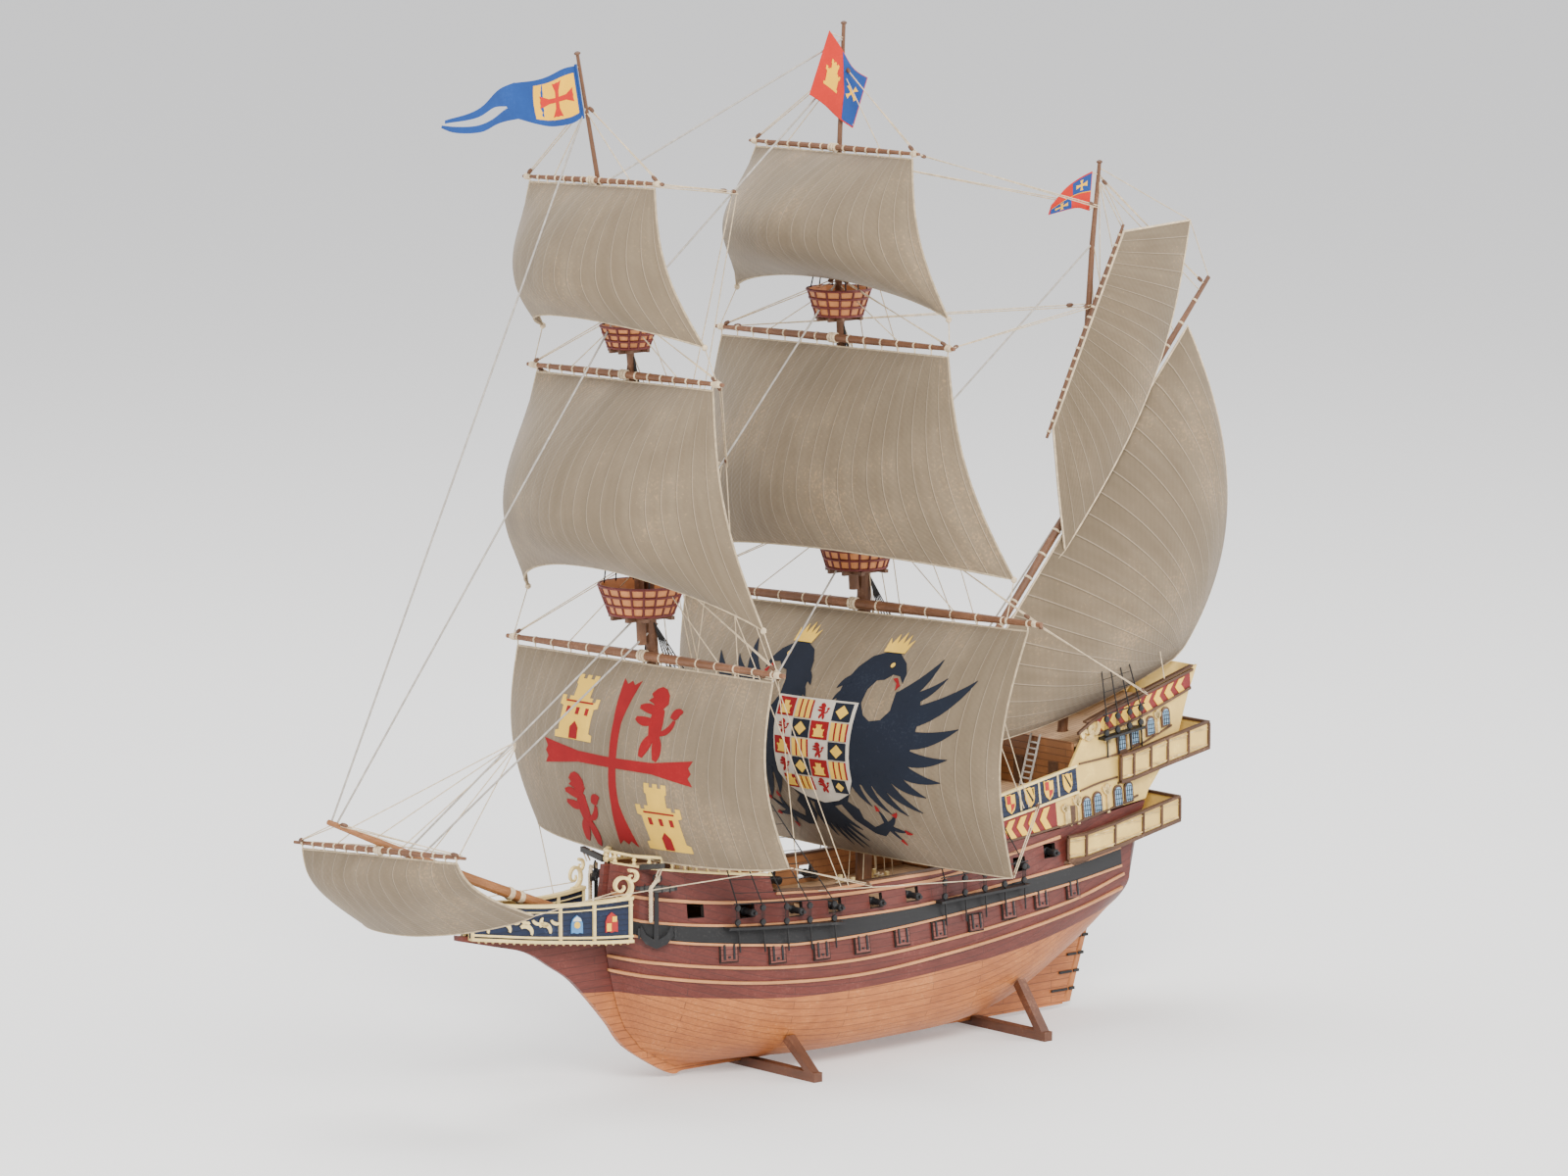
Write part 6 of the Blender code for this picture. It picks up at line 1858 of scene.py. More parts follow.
def between(low, high, x0, x1, inset=0.0, steps=6):
    """Band outline between two sloping lines from x0 to x1."""
    lx = [p[0] for p in low]
    lz = [p[1] for p in low]
    hx = [p[0] for p in high]
    hz = [p[1] for p in high]
    xs = [x0 + (x1 - x0) * k / steps for k in range(steps + 1)]
    bottom = [(x, lerp_table(x, lx, lz) + inset) for x in xs]
    top = [(x, lerp_table(x, hx, hz) - inset) for x in reversed(xs)]
    return bottom + top


def shield_outline(x, z, wide, tall):
    w = wide / 2.0
    return [(x - w, z + tall * 0.5), (x - w * 0.5, z + tall * 0.46), (x, z + tall * 0.52),
            (x + w * 0.5, z + tall * 0.46), (x + w, z + tall * 0.5), (x + w * 0.98, z - tall * 0.05),
            (x + w * 0.7, z - tall * 0.32), (x, z - tall * 0.52), (x - w * 0.7, z - tall * 0.32),
            (x - w * 0.98, z - tall * 0.05)]


BLUE_LOW = [(90.8, 93.6), (137.4, 100.1)]
BLUE_HIGH = [(90.8, 103.8), (137.4, 111.0)]
wall_decal("blue_band", [between(BLUE_LOW, BLUE_HIGH, 91.2, 137.2)], NAVY_PAINT, 0.05)
for label, line in (("low", BLUE_LOW), ("high", BLUE_HIGH)):
    strip("blue_band_rail_" + label, [(x, z) for x, z in ((91.0, lerp_table(91.0, *zip(*line))),
                                                          (114.0, lerp_table(114.0, *zip(*line))),
                                                          (137.3, lerp_table(137.3, *zip(*line))))],
          1.0, 1.1, CREAM_TRIM)
bars = []
first_fields = []
second_fields = []
yellow_fields = []
for k in range(4):
    x = 96.5 + 11.6 * k
    z = lerp_table(x, *zip(*BLUE_LOW)) + 5.2
    if k < 4:
        bars.append([(x - 6.1, z - 5.0), (x - 5.3, z - 5.0), (x - 5.3, z + 5.0), (x - 6.1, z + 5.0)])
    outline = shield_outline(x, z, 5.6, 8.0)
    yellow_fields.append(outline)
    if k % 2 == 0:
        first_fields.append([(x - 2.2, z), (x, z), (x, z + 3.6), (x - 2.2, z + 3.5)])
        first_fields.append([(x, z - 3.4), (x + 1.9, z - 1.2), (x + 2.2, z), (x, z)])
    else:
        second_fields.append([(x - 2.2, z + 3.5), (x - 1.4, z + 3.4), (x + 1.8, z - 1.4), (x + 1.2, z - 2.2)])
        second_fields.append([(x + 1.4, z + 3.4), (x + 2.2, z + 3.5), (x + 2.2, z + 0.6)])
wall_decal("blue_band_bars", bars, CREAM_TRIM, 0.35)
wall_decal("castle_shields", yellow_fields, YELLOW_PAINT, 0.35)
wall_decal("castle_shields_red", first_fields, RED_PAINT, 0.65, 0.2)
wall_decal("castle_shields_dark", second_fields, WALE_BLACK, 0.65, 0.2)


def chevrons(low, high, x0, x1, count, point):
    """Arrow shapes pointing forward along a band."""
    made = []
    lx, lz = zip(*low)
    hx, hz = zip(*high)
    step = (x1 - x0) / count
    for k in range(count):
        a = x0 + step * k
        b = a + step * 0.52
        arrow = []
        for x in (a, b):
            zl = lerp_table(x, lx, lz)
            zh = lerp_table(x, hx, hz)
            arrow.append([(x + point, zl), (x, (zl + zh) / 2), (x + point, zh)])
        made.append(arrow[0] + arrow[1][::-1])
    return made


CHEV_LOW = [(90.4, 84.6), (123.5, 87.2)]
CHEV_HIGH = [(90.4, 92.8), (123.5, 97.4)]
wall_decal("chevron_field_low", [between(CHEV_LOW, CHEV_HIGH, 91.0, 123.2)], CHEVRON_RED, 0.05)
wall_decal("chevrons_low", chevrons([(x, z + 0.4) for x, z in CHEV_LOW], [(x, z - 0.4) for x, z in CHEV_HIGH],
                                    91.8, 119.8, 4, 2.8), YELLOW_PAINT, 0.35)
strip("chevron_rail_low", [(90.6, 84.4), (107.0, 85.5), (123.6, 87.0)], 0.9, 0.9, BROWN_TRIM)
POOP_LOW = [(152.0, 122.9), (177.8, 127.2), (216.4, 137.6)]
POOP_HIGH = [(152.0, 129.6), (178.0, 135.4), (217.0, 144.6)]
wall_decal("chevron_field_high", [between(POOP_LOW, POOP_HIGH, 152.0, 211.5, 0.0, 10)], CHEVRON_RED,
           0.05)
wall_decal("chevrons_high", chevrons([(x, z + 0.5) for x, z in POOP_LOW],
                                     [(x, z - 0.5) for x, z in POOP_HIGH], 153.0, 208.6, 8, 2.6),
                                     YELLOW_PAINT, 0.35)
for label, line in (("low", POOP_LOW),
                    ("high", [(140.0, 124.4), (152.0, 129.6), (178.0, 135.6), (213.0, 143.8)])):
    strip("poop_rail_" + label, line if label == "high" else line[:2] + [(211.0, 136.1)], 1.1, 1.2,
          BROWN_TRIM)
top_edge = [(145.4, 127.2), (160.0, 131.2), (178.0, 135.8), (196.0, 140.3), (213.4, 144.6)]
edge_points = []
edge_faces = []
for side in (-1.0, 1.0):
    rings = []
    for x, z in top_edge:
        y = side_y(x, z) - 0.6
        z = lerp_table(x, CASTLE_X, CASTLE_TOP) + 0.05
        rings.append([place(x, side * (y - 1.1), z), place(x, side * (y + 1.2), z),
                      place(x, side * (y + 1.2), z + 0.9), place(x, side * (y - 1.1), z + 0.9)])
    base = len(edge_points)
    for ring in rings:
        edge_points += ring
    for i in range(len(rings) - 1):
        for j in range(4):
            a = base + i * 4 + j
            b = base + i * 4 + (j + 1) % 4
            edge_faces.append((a, b, b + 4, a + 4))
    edge_faces.append(tuple(base + k for k in range(4)))
    edge_faces.append(tuple(base + (len(rings) - 1) * 4 + k for k in range(4)))
fit_out(build_piece("poop_cap", edge_points, edge_faces, BROWN_TRIM, None, 30.0))
print("painted bands on the castle walls")

# %% [markdown]
# Arched windows are stacked thin bodies: a dark frame, a pale pane and a lattice of fine bars.
# Gilt columns with leaves stand between them, built from the same blade shape as the feathers.

# %% windows and gilt


def arch(x, z, wide, tall, slope=0.0, steps=8):
    w = wide / 2.0
    outline = [(x - w, z), (x + w, z + slope * wide)]
    for k in range(steps + 1):
        ang = math.pi * k / steps
        outline.append((x + w * math.cos(ang),
                        z + tall - w + w * math.sin(ang) + slope * w * (1.0 + math.cos(ang))))
    return outline


frames = []
panes = []
lattice = []
window_spots = [(141.6, 88.0, 5.6, 9.4), (148.4, 89.2, 5.6, 9.4), (161.4, 90.4, 5.6, 9.4),
                (168.2, 91.4, 5.4, 9.2), (166.0, 113.6, 5.6, 8.6), (174.4, 115.2, 5.6, 8.6),
                (184.6, 118.0, 5.6, 8.6), (194.4, 121.0, 5.4, 8.4)]
for x, z, wide, tall in window_spots:
    frames.append(arch(x, z, wide, tall, 0.12))
    panes.append(arch(x, z + 0.9, wide - 1.7, tall - 1.8, 0.12))
    for k in range(3):
        a = x - (wide - 1.7) / 2 + (wide - 1.7) * (k + 0.5) / 3
        lattice.append(box_shape(a - 0.14, z + 1.1, a + 0.14, z + tall - 1.9))
    for k in range(4):
        b = z + 1.8 + (tall - 3.4) * k / 3
        lattice.append(box_shape(x - (wide - 1.9) / 2, b - 0.13, x + (wide - 1.9) / 2, b + 0.13))
PANE = paint_finish("window_pane", (0.26, 0.44, 0.62), wash=0.4, rub=0.3, rough=0.18, patch=200.0, coat=0.4)
wall_decal("window_frames", frames, BROWN_TRIM, 0.05, 0.75)
wall_decal("window_panes", panes, PANE, 0.8, 0.2)
wall_decal("window_lattice", lattice, WALE_BLACK, 1.0, 0.2)
columns = []
for x, z, tall in ((136.2, 86.4, 12.0), (155.0, 89.0, 12.0), (158.0, 112.0, 9.5), (170.2, 114.2, 10.0),
                   (179.6, 116.6, 9.6), (189.6, 119.2, 9.4), (128.6, 86.6, 9.0)):
    columns.append([(x - 0.7, z), (x + 0.7, z + 0.1), (x + 0.4, z + tall * 0.62), (x + 0.9, z + tall * 0.7),
                    (x - 0.9, z + tall * 0.7), (x - 0.4, z + tall * 0.62)])
    for angle, bend in ((150.0, -60.0), (30.0, 60.0), (115.0, -40.0), (65.0, 40.0), (90.0, 0.0)):
        columns.append(blade(x, z + tall * 0.68, angle, tall * 0.36, 1.1, bend, 0.3, 5))
wall_decal("gilt_columns", columns, GILT, 0.06, 0.7)
scrolls = []
for x, z, turn in ((143.2, 122.4, 0.0), (148.6, 123.6, 30.0)):
    scrolls.append(blade(x, z, turn + 150.0, 6.0, 1.7, -250.0, 0.5, 12))
    scrolls.append(blade(x + 1.0, z - 0.4, turn - 20.0, 6.6, 1.6, 120.0, 0.5, 10))
wall_decal("poop_scrolls", scrolls, GILT, 0.3, 0.8)
wall_decal("split_shield", [shield_outline(131.8, 90.6, 6.4, 8.6)], GILT, 0.06)
wall_decal("split_shield_half", [[(131.8, 86.6), (134.4, 88.6), (134.8, 94.6), (131.8, 94.8)]], BROWN_TRIM,
           0.36, 0.2)
for label, line in (("window_sill_low", [(124.0, 86.6), (140.0, 88.0), (160.0, 91.2), (174.0, 94.2)]),
                    ("window_head_low", [(138.6, 100.2), (150.0, 102.2), (162.0, 103.4)]),
                    ("window_sill_high", [(139.4, 111.6), (162.0, 113.0), (176.0, 115.2), (198.0, 121.4)])):
    strip(label, line, 0.7, 0.8, BROWN_TRIM)
print(len(window_spots), "windows a side")

# %% [markdown]
# The two stern galleries keep their frame trays as the cream core. Framed panels, posts, a
# moulded rail and a skirt follow the tray's own path round the stern.

# %% galleries


def lean(path, k):
    """Outward unit direction of a gallery path at mark k."""
    a = path[max(k - 1, 0)]
    b = path[min(k + 1, len(path) - 1)]
    way = Vector((b[0] - a[0], b[1] - a[1], 0.0)).normalized()
    out = Vector((way.y, -way.x, 0.0))
    return out


def gallery_bar(name, path, z_low, z_high, inner, outer, finish):
    """Bar round the gallery between two heights, from inner to outer offset."""
    rings = []
    for k, (x, y, z) in enumerate(path):
        out = lean(path, k)
        if out.dot(Vector((x - 130.0, y * 1.6, 0.0))) < 0.0:
            out = -out
        ring = []
        for reach, h in ((inner, z_low), (outer, z_low), (outer, z_high), (inner, z_high)):
            ring.append(place(x + out.x * reach, y + out.y * reach, z + h))
        rings.append(ring)
    return fit_out(skin_rings(name, rings, finish, 30.0))


def even_path(path, per):
    made = []
    for i in range(len(path) - 1):
        for k in range(per):
            t = k / per
            made.append(tuple(path[i][j] + (path[i + 1][j] - path[i][j]) * t for j in range(3)))
    made.append(path[-1])
    return made


LOWER_STOPS = [(126.6, side_y(126.6, 72.4) + 1.6, 72.4), (134.0, 36.4, 73.4), (152.0, 34.8, 75.6),
               (170.0, 33.0, 78.4), (193.8, 30.6, 82.0)]
UPPER_STOPS = [(162.8, side_y(162.8, 101.6) + 1.6, 101.6), (169.4, 27.6, 102.6), (190.0, 26.8, 106.4),
               (215.4, 25.6, 110.6)]
for label, stops, tall in (("lower", LOWER_STOPS, LOWER_GALLERY_HEIGHT),
                           ("upper", UPPER_STOPS, UPPER_GALLERY_HEIGHT)):
    path = [(x, -y, z) for x, y, z in stops] + [(x, y, z) for x, y, z in reversed(stops)]
    gallery_bar(label + "_gallery_rail", path, tall, tall + 1.0, -1.6, 0.7, BROWN_TRIM)
    gallery_bar(label + "_gallery_base", path, -0.9, 0.7, -0.1, 0.9, BROWN_TRIM)
    gallery_bar(label + "_gallery_bead", path, 1.3, 1.8, -0.1, 0.5, GILT)
    gallery_bar(label + "_gallery_bead_top", path, tall - 1.4, tall - 0.9, -0.1, 0.5, GILT)
    posts = []
    frames = []
    marks = [(stops[i], stops[i + 1]) for i in range(len(stops) - 1)]
    for side in (-1.0, 1.0):
        for number, (a, b) in enumerate(marks):
            cells = 2 if number > 0 and (label == "upper" or number == 3) else 1
            for k in range(cells + 1):
                t = k / cells
                x = a[0] + (b[0] - a[0]) * t
                y = side * (a[1] + (b[1] - a[1]) * t)
                z = a[2] + (b[2] - a[2]) * t
                turn = math.atan2(side * (b[1] - a[1]), b[0] - a[0])
                posts.append(((x, y, z), (0.0, 0.0, turn), (1.0, 1.0, tall)))
                if k < cells:
                    xm = a[0] + (b[0] - a[0]) * (t + 0.5 / cells)
                    ym = side * (a[1] + (b[1] - a[1]) * (t + 0.5 / cells))
                    zm = a[2] + (b[2] - a[2]) * (t + 0.5 / cells)
                    long = math.hypot(b[0] - a[0], b[1] - a[1]) / cells
                    frames.append(((xm, ym, zm), (0.0, 0.0, turn), (long * 0.5 - 0.9, 1.0, tall - 2.9)))
    for k in range(6):
        a, b = stops[-1][1], -stops[-1][1]
        y = a + (b - a) * k / 5
        posts.append(((stops[-1][0], y, stops[-1][2]), (0.0, 0.0, math.pi / 2), (1.0, 1.0, tall)))
        if k < 5:
            ym = a + (b - a) * (k + 0.5) / 5
            frames.append(((stops[-1][0], ym, stops[-1][2]), (0.0, 0.0, math.pi / 2),
                           (abs(b - a) / 10 - 0.9, 1.0, tall - 2.9)))
    post_part = box_part([((-0.55, -0.75, 0.05), (0.55, 0.75, 0.995))])
    frame_part = box_part([((-1.0, -0.42, 0.24), (1.0, 0.42, 0.3)), ((-1.0, -0.42, 1.13), (1.0, 0.42, 1.19))])
    stamp(label + "_gallery_posts", post_part, posts, BROWN_TRIM)
    stamp(label + "_gallery_frames", frame_part, frames, GILT)
    skirt = []
    for k, (x, y, z) in enumerate(even_path(path, 4)):
        xi = x - (7.0 if label == "lower" else 5.0) * (1.0 if x > stops[-1][0] - 2.0 else 0.3)
        inner_y = y * 0.80 if x > 140.0 else y * 0.92
        skirt.append([place(x - 0.3, y * 0.985, z - 0.9), place(x - 0.3, y * 0.985, z - 0.4),
                      place(xi, inner_y, z - 0.4), place(xi, inner_y, z - 3.4)])
    fit_out(skin_rings(label + "_gallery_skirt", skirt, BROWN_TRIM, 30.0))
print("gallery rails, posts and panel frames")

# %% [markdown]
# The flat stern itself gets two rows of windows and a taffrail, and the bulkheads get doors.

# %% transom, bulkheads and ladder
frames = []
panes = []
bars = []
for z, count, wide, gap in ((88.0, 5, 6.0, 8.4), (117.5, 4, 5.4, 7.4)):
    for k in range(count):
        y = (k - (count - 1) / 2) * gap
        x = lerp_table(z + 4.0, STERN_Z, STERN_X)
        slope = math.atan2(lerp_table(z + 8.0, STERN_Z, STERN_X) - lerp_table(z, STERN_Z, STERN_X), 8.0)
        spot = ((x + 0.1, y, z + 4.0), (0.0, slope, 0.0), (1.0, wide / 6.0, 1.0))
        frames.append(spot)
        panes.append(spot)
        bars.append(spot)
stamp("stern_window_frames", box_part([((-0.3, -3.0, -4.2), (0.7, 3.0, 4.2))]), frames, BROWN_TRIM)
stamp("stern_window_panes", box_part([((0.2, -2.3, -3.4), (0.95, 2.3, 3.4))]), panes, PANE)
rows = [((0.3, -2.3, z - 0.14), (1.15, 2.3, z + 0.14)) for z in (-1.8, 0.0, 1.8)]
rows += [((0.3, y - 0.14, -3.4), (1.15, y + 0.14, 3.4)) for y in (-0.8, 0.8)]
stamp("stern_window_bars", box_part(rows), bars, WALE_BLACK)
for z, reach in ((84.0, 24.0), (99.0, 21.0), (113.6, 18.0), (128.0, 15.5), (136.0, 14.0), (144.6, 12.6)):
    x = lerp_table(z, STERN_Z, STERN_X)
    half = side_y(x - 0.8, z) - 1.6
    points = []
    faces = []
    block(points, faces, place(x - 0.4, -half, z - 0.6), place(x + 0.9, half, z + 0.6))
    fit_out(build_piece("stern_moulding_" + str(int(z)), points, faces, BROWN_TRIM, None, 30.0))
stamp("ladder_rungs", box_part([((-0.8, -2.6, -0.2), (0.8, 2.6, 0.2))]),
      [((138.0 - 6.0 + 0.75 * k, 0.0, 100.4 + 2.5 * k), (0.0, 0.0, 0.0)) for k in range(8)], ROPE_GREY)
rails = [[(131.2, y, 98.6), (138.0, y, 121.6)] for y in (-2.8, 2.8)]
rope_lines("ladder_sides", rails, 0.5, ROPE_GREY)
doors = [((137.9, -11.0, 98.8), (0.0, 0.0, 0.0)), ((137.9, 11.0, 98.8), (0.0, 0.0, 0.0)),
         ((89.8, -12.0, 67.0), (0.0, 0.0, 0.0)), ((89.8, 12.0, 67.0), (0.0, 0.0, 0.0))]
stamp("door_panels", box_part([((0.0, -3.0, 0.2), (0.6, 3.0, 12.0))]), doors, BROWN_TRIM)
print("stern and bulkheads finished")

# %% [markdown]
# The beakhead: planked navy panels between cream rails, split by posts, with raised scrolls and two
# shields, a gilt figurehead on the tip and a large double scroll where it meets the bow. All of it
# lies on one slanting surface per side.

# %% beakhead
BEAK_X = [-172.2, -160.0, -145.0, -130.0, -112.0, -98.0]
BEAK_Y = [3.0, 4.8, 7.2, 9.6, 12.6, 15.9]
BEAK_LOW = [71.9, 70.2, 68.1, 66.4, 64.6, 63.9]
BEAK_HIGH = [86.0, 83.6, 81.6, 80.4, 80.2, 80.8]


def beak_shape(side):
    """Beakhead side: u runs fore to aft, v bottom to top."""
    def shape(u, v):
        x = -172.2 + 74.2 * u
        low = soft_lookup(x, BEAK_X, BEAK_LOW)
        high = soft_lookup(x, BEAK_X, BEAK_HIGH)
        return Vector((x, side * lerp_table(x, BEAK_X, BEAK_Y), low + (high - low) * v))
    return shape


def beak_bar(name, x0, x1, v, wide, tall, finish, drop=0.0):
    points = []
    faces = []
    for side in (-1.0, 1.0):
        shape = beak_shape(side)
        base = len(points)
        for k in range(13):
            x = x0 + (x1 - x0) * k / 12
            p = shape((x + 172.2) / 74.2, v)
            y = abs(p.y) - 0.45
            for dy, dz in ((-wide / 2, -tall / 2), (wide / 2, -tall / 2), (wide / 2, tall / 2),
                           (-wide / 2, tall / 2)):
                points.append(place(x, side * (y + dy), p.z + dz + drop))
        for i in range(12):
            for j in range(4):
                a = base + i * 4 + j
                b = base + i * 4 + (j + 1) % 4
                faces.append((a, b, b + 4, a + 4))
        faces.append(tuple(base + k for k in range(4)))
        faces.append(tuple(base + 48 + k for k in range(4)))
    return fit_out(build_piece(name, points, faces, finish, None, 30.0))


beak_bar("beak_rail_top", -172.4, -98.2, 1.0, 2.8, 1.3, CREAM_TRIM, 0.6)
beak_bar("beak_rail_under", -171.0, -98.2, 0.86, 1.9, 0.5, CREAM_TRIM)
beak_bar("beak_rail_low", -171.0, -98.2, 0.1, 2.3, 0.9, CREAM_TRIM)
beak_bar("beak_rail_foot", -172.0, -98.2, 0.0, 3.0, 1.3, CREAM_TRIM, -0.4)
posts = []
studs = []
for side in (-1.0, 1.0):
    shape = beak_shape(side)
    for x in (-171.4, -131.0, -115.4, -99.2):
        p = shape((x + 172.2) / 74.2, 0.5)
        high = soft_lookup(x, BEAK_X, BEAK_HIGH) - soft_lookup(x, BEAK_X, BEAK_LOW)
        posts.append(((x, side * (abs(p.y) - 0.45), p.z), (0.0, 0.0, -side * 0.17), (1.0, 1.0, high)))
    for k in range(22):
        x = -168.0 + 68.0 * k / 21
        p = shape((x + 172.2) / 74.2, 0.0)
        studs.append(((x, side * (abs(p.y) - 0.4), p.z - 1.4), (0.0, 0.0, 0.0)))
stamp("beak_posts", box_part([((-0.7, -1.05, -0.5), (0.7, 1.05, 0.5))]), posts, CREAM_TRIM)
stamp("beak_studs", round_part([(0.2, -0.5), (0.55, -0.2), (0.55, 0.3), (0.2, 0.5)], 8), studs, GILT)
for side, label in ((-1.0, "port"), (1.0, "starboard")):
    shape = beak_shape(side)
    ahead = Vector((0.0, side, 0.0))
    scrolls = []
    for k, x in enumerate((8.0, 18.0, 28.0, 36.5)):
        up = 0.0 if k % 2 == 0 else 0.8
        scrolls.append(blade(x - 5.0, -8.4 + up, 35.0, 7.8, 1.5, -150.0, 0.6, 10))
        scrolls.append(blade(x - 1.0, -6.0 - up, 215.0, 6.0, 1.3, -190.0, 0.5, 10))
        scrolls.append(blade(x + 0.5, -5.0, -60.0, 5.0, 1.1, 110.0, 0.4, 8))
    decal("beak_scrolls_" + label, shape, (0.0, 0.98), (74.2, 14.5), [moved(s, 0.0, 0.0) for s in scrolls],
          CREAM_TRIM, 0.05, ahead, 0.08, 0.55)
    fields = [shield_outline(48.8, -7.2, 5.4, 7.4), shield_outline(64.6, -7.2, 5.4, 7.4)]
    fields = [[(a, -14.4 - b) for a, b in f] for f in fields]
    decal("beak_shield_sky_" + label, shape, (0.0, 0.98), (74.2, 14.5), fields[:1], SKY_PAINT,
          0.05, ahead, 0.08, 0.4)
    decal("beak_shield_red_" + label, shape, (0.0, 0.98), (74.2, 14.5), fields[1:], RED_PAINT,
          0.05, ahead, 0.08, 0.4)
    decal("beak_shield_yellow_" + label, shape, (0.0, 0.98), (74.2, 14.5),
          [disc(48.8, -7.4, 1.4), box_shape(62.4, -10.4, 64.4, -7.4), box_shape(64.8, -7.0, 66.8, -5.0)],
          YELLOW_PAINT, 0.47, ahead, 0.08, 0.2)
    decal("beak_shield_white_" + label, shape, (0.0, 0.98), (74.2, 14.5),
          [[(46.8, -5.8), (50.8, -5.8), (50.2, -4.6), (48.8, -3.8), (47.4, -4.6)]], WHITE_PAINT,
          0.47, ahead, 0.08, 0.2)


def scroll_ring(x, y, z, radius, turns, width, side, lean_angle, start=0.0, grow=1.0):
    """Rings of a flat spiral standing on edge; the spiral winds inward."""
    rings = []
    steps = int(26 * turns)
    for k in range(steps + 1):
        t = k / steps
        r = radius * (1.0 - 0.82 * t)
        ang = start + math.tau * turns * t * grow
        bar = width * (1.0 - 0.55 * t)
        cx = r * math.cos(ang)
        cz = r * math.sin(ang)
        nx = math.cos(ang)
        nz = math.sin(ang)
        ring = []
        for da, db in ((-0.5, -0.5), (0.5, -0.5), (0.5, 0.5), (-0.5, 0.5)):
            px = cx + nx * bar * da
            pz = cz + nz * bar * da
            py = db * bar * 1.5
            ring.append(place(x + px * math.cos(lean_angle), y + side * (px * math.sin(lean_angle)) + py,
                              z + pz))
        rings.append(ring)
    return rings


for side, label in ((-1.0, "port"), (1.0, "starboard")):
    big = scroll_ring(-103.6, side * 15.2, 86.6, 5.4, 1.35, 1.5, side, 0.24, -1.9)
    fit_out(skin_rings("bow_scroll_" + label, big, CREAM_TRIM, 40.0))
    small = scroll_ring(-99.2, side * 16.6, 90.2, 2.9, 1.1, 1.2, side, 0.3, 2.0, -1.0)
    fit_out(skin_rings("bow_scroll_small_" + label, small, CREAM_TRIM, 40.0))
figure = [(0.0, -4.6), (1.2, -4.2), (2.2, -2.6), (2.5, -0.4), (1.9, 1.6), (1.3, 2.8), (1.9, 4.2), (1.6, 5.6),
          (0.8, 6.4), (0.0, 6.6)]
stamp("figurehead", round_part(figure, 12), [((-175.4, 0.0, 78.6), (0.0, -0.75, 0.0), (1.1, 0.8, 1.1)),
                                              ((-178.0, 0.0, 82.8), (0.0, -0.2, 0.0), (0.6, 0.6, 0.6))], GILT)
curls = []
for side in (-1.0, 1.0):
    for k in range(3):
        curls.append([(-172.0 - 1.2 * k, side * (2.0 - 0.4 * k), 76.0 + 1.6 * k),
                      (-174.5 - 1.0 * k, side * (2.8 - 0.3 * k), 77.5 + 1.8 * k),
                      (-176.6 - 0.8 * k, side * (2.3 - 0.3 * k), 80.0 + 1.6 * k),
                      (-177.6 - 0.6 * k, side * 1.2, 82.5 + 1.4 * k)])
rope_lines("figurehead_mane", curls, 0.45, GILT)
beams = []
for x in (-164.0, -154.0, -144.0, -134.0, -124.0, -114.0):
    half = lerp_table(x, BEAK_X, BEAK_Y) - 1.2
    beams.append([(x, -half, lerp_table(x, BEAK_X, BEAK_LOW) + 3.0),
                  (x, half, lerp_table(x, BEAK_X, BEAK_LOW) + 3.0)])
rope_lines("beak_gratings", beams, 0.6, BROWN_TRIM, 4)
print("beakhead dressed")

# %% [markdown]
# Bow gear: catheads that carry the anchors, the ropes that hang beside them, and the rings.
# The anchors swing, so their fittings ride on their own bodies.

# %% catheads and anchors
STOCK_GREY = paint_finish("stock_grey", (0.05, 0.048, 0.045), wash=0.4, rub=0.4, rough=0.5, patch=200.0,
                          grain=(8.0, 8.0, 8.0), light=(0.16, 0.15, 0.14))
head_points = []
head_faces = []
for side in (-1.0, 1.0):
    a = Vector((-90.4, side * 12.0, 92.6))
    b = Vector((-90.6, side * 26.0, 95.0))
    base = len(head_points)
    for p in (a, b):
        for dx, dz in ((-1.1, -1.1), (1.1, -1.1), (1.1, 1.1), (-1.1, 1.1)):
            head_points.append(place(p.x + dx, p.y, p.z + dz))
    for j in range(4):
        head_faces.append((base + j, base + (j + 1) % 4, base + 4 + (j + 1) % 4, base + 4 + j))
    head_faces.append(tuple(base + k for k in range(4)))
    head_faces.append(tuple(base + 4 + k for k in range(4)))
fit_out(build_piece("catheads", head_points, head_faces, STOCK_GREY, None, 20.0))
BOW_TURN = math.atan2(side_y(-79.6, 58.0) - side_y(-97.6, 58.0), 18.0)
ANCHOR_Y = side_y(-88.6, 56.0) + ANCHOR_STANDOFF


def ring_path(x, y, z, radius, along, up, count=16):
    return [tuple(Vector((x, y, z)) + along * radius * math.cos(math.tau * k / count)
                  + up * radius * math.sin(math.tau * k / count)) for k in range(count)] + \
           [tuple(Vector((x, y, z)) + along * radius)]


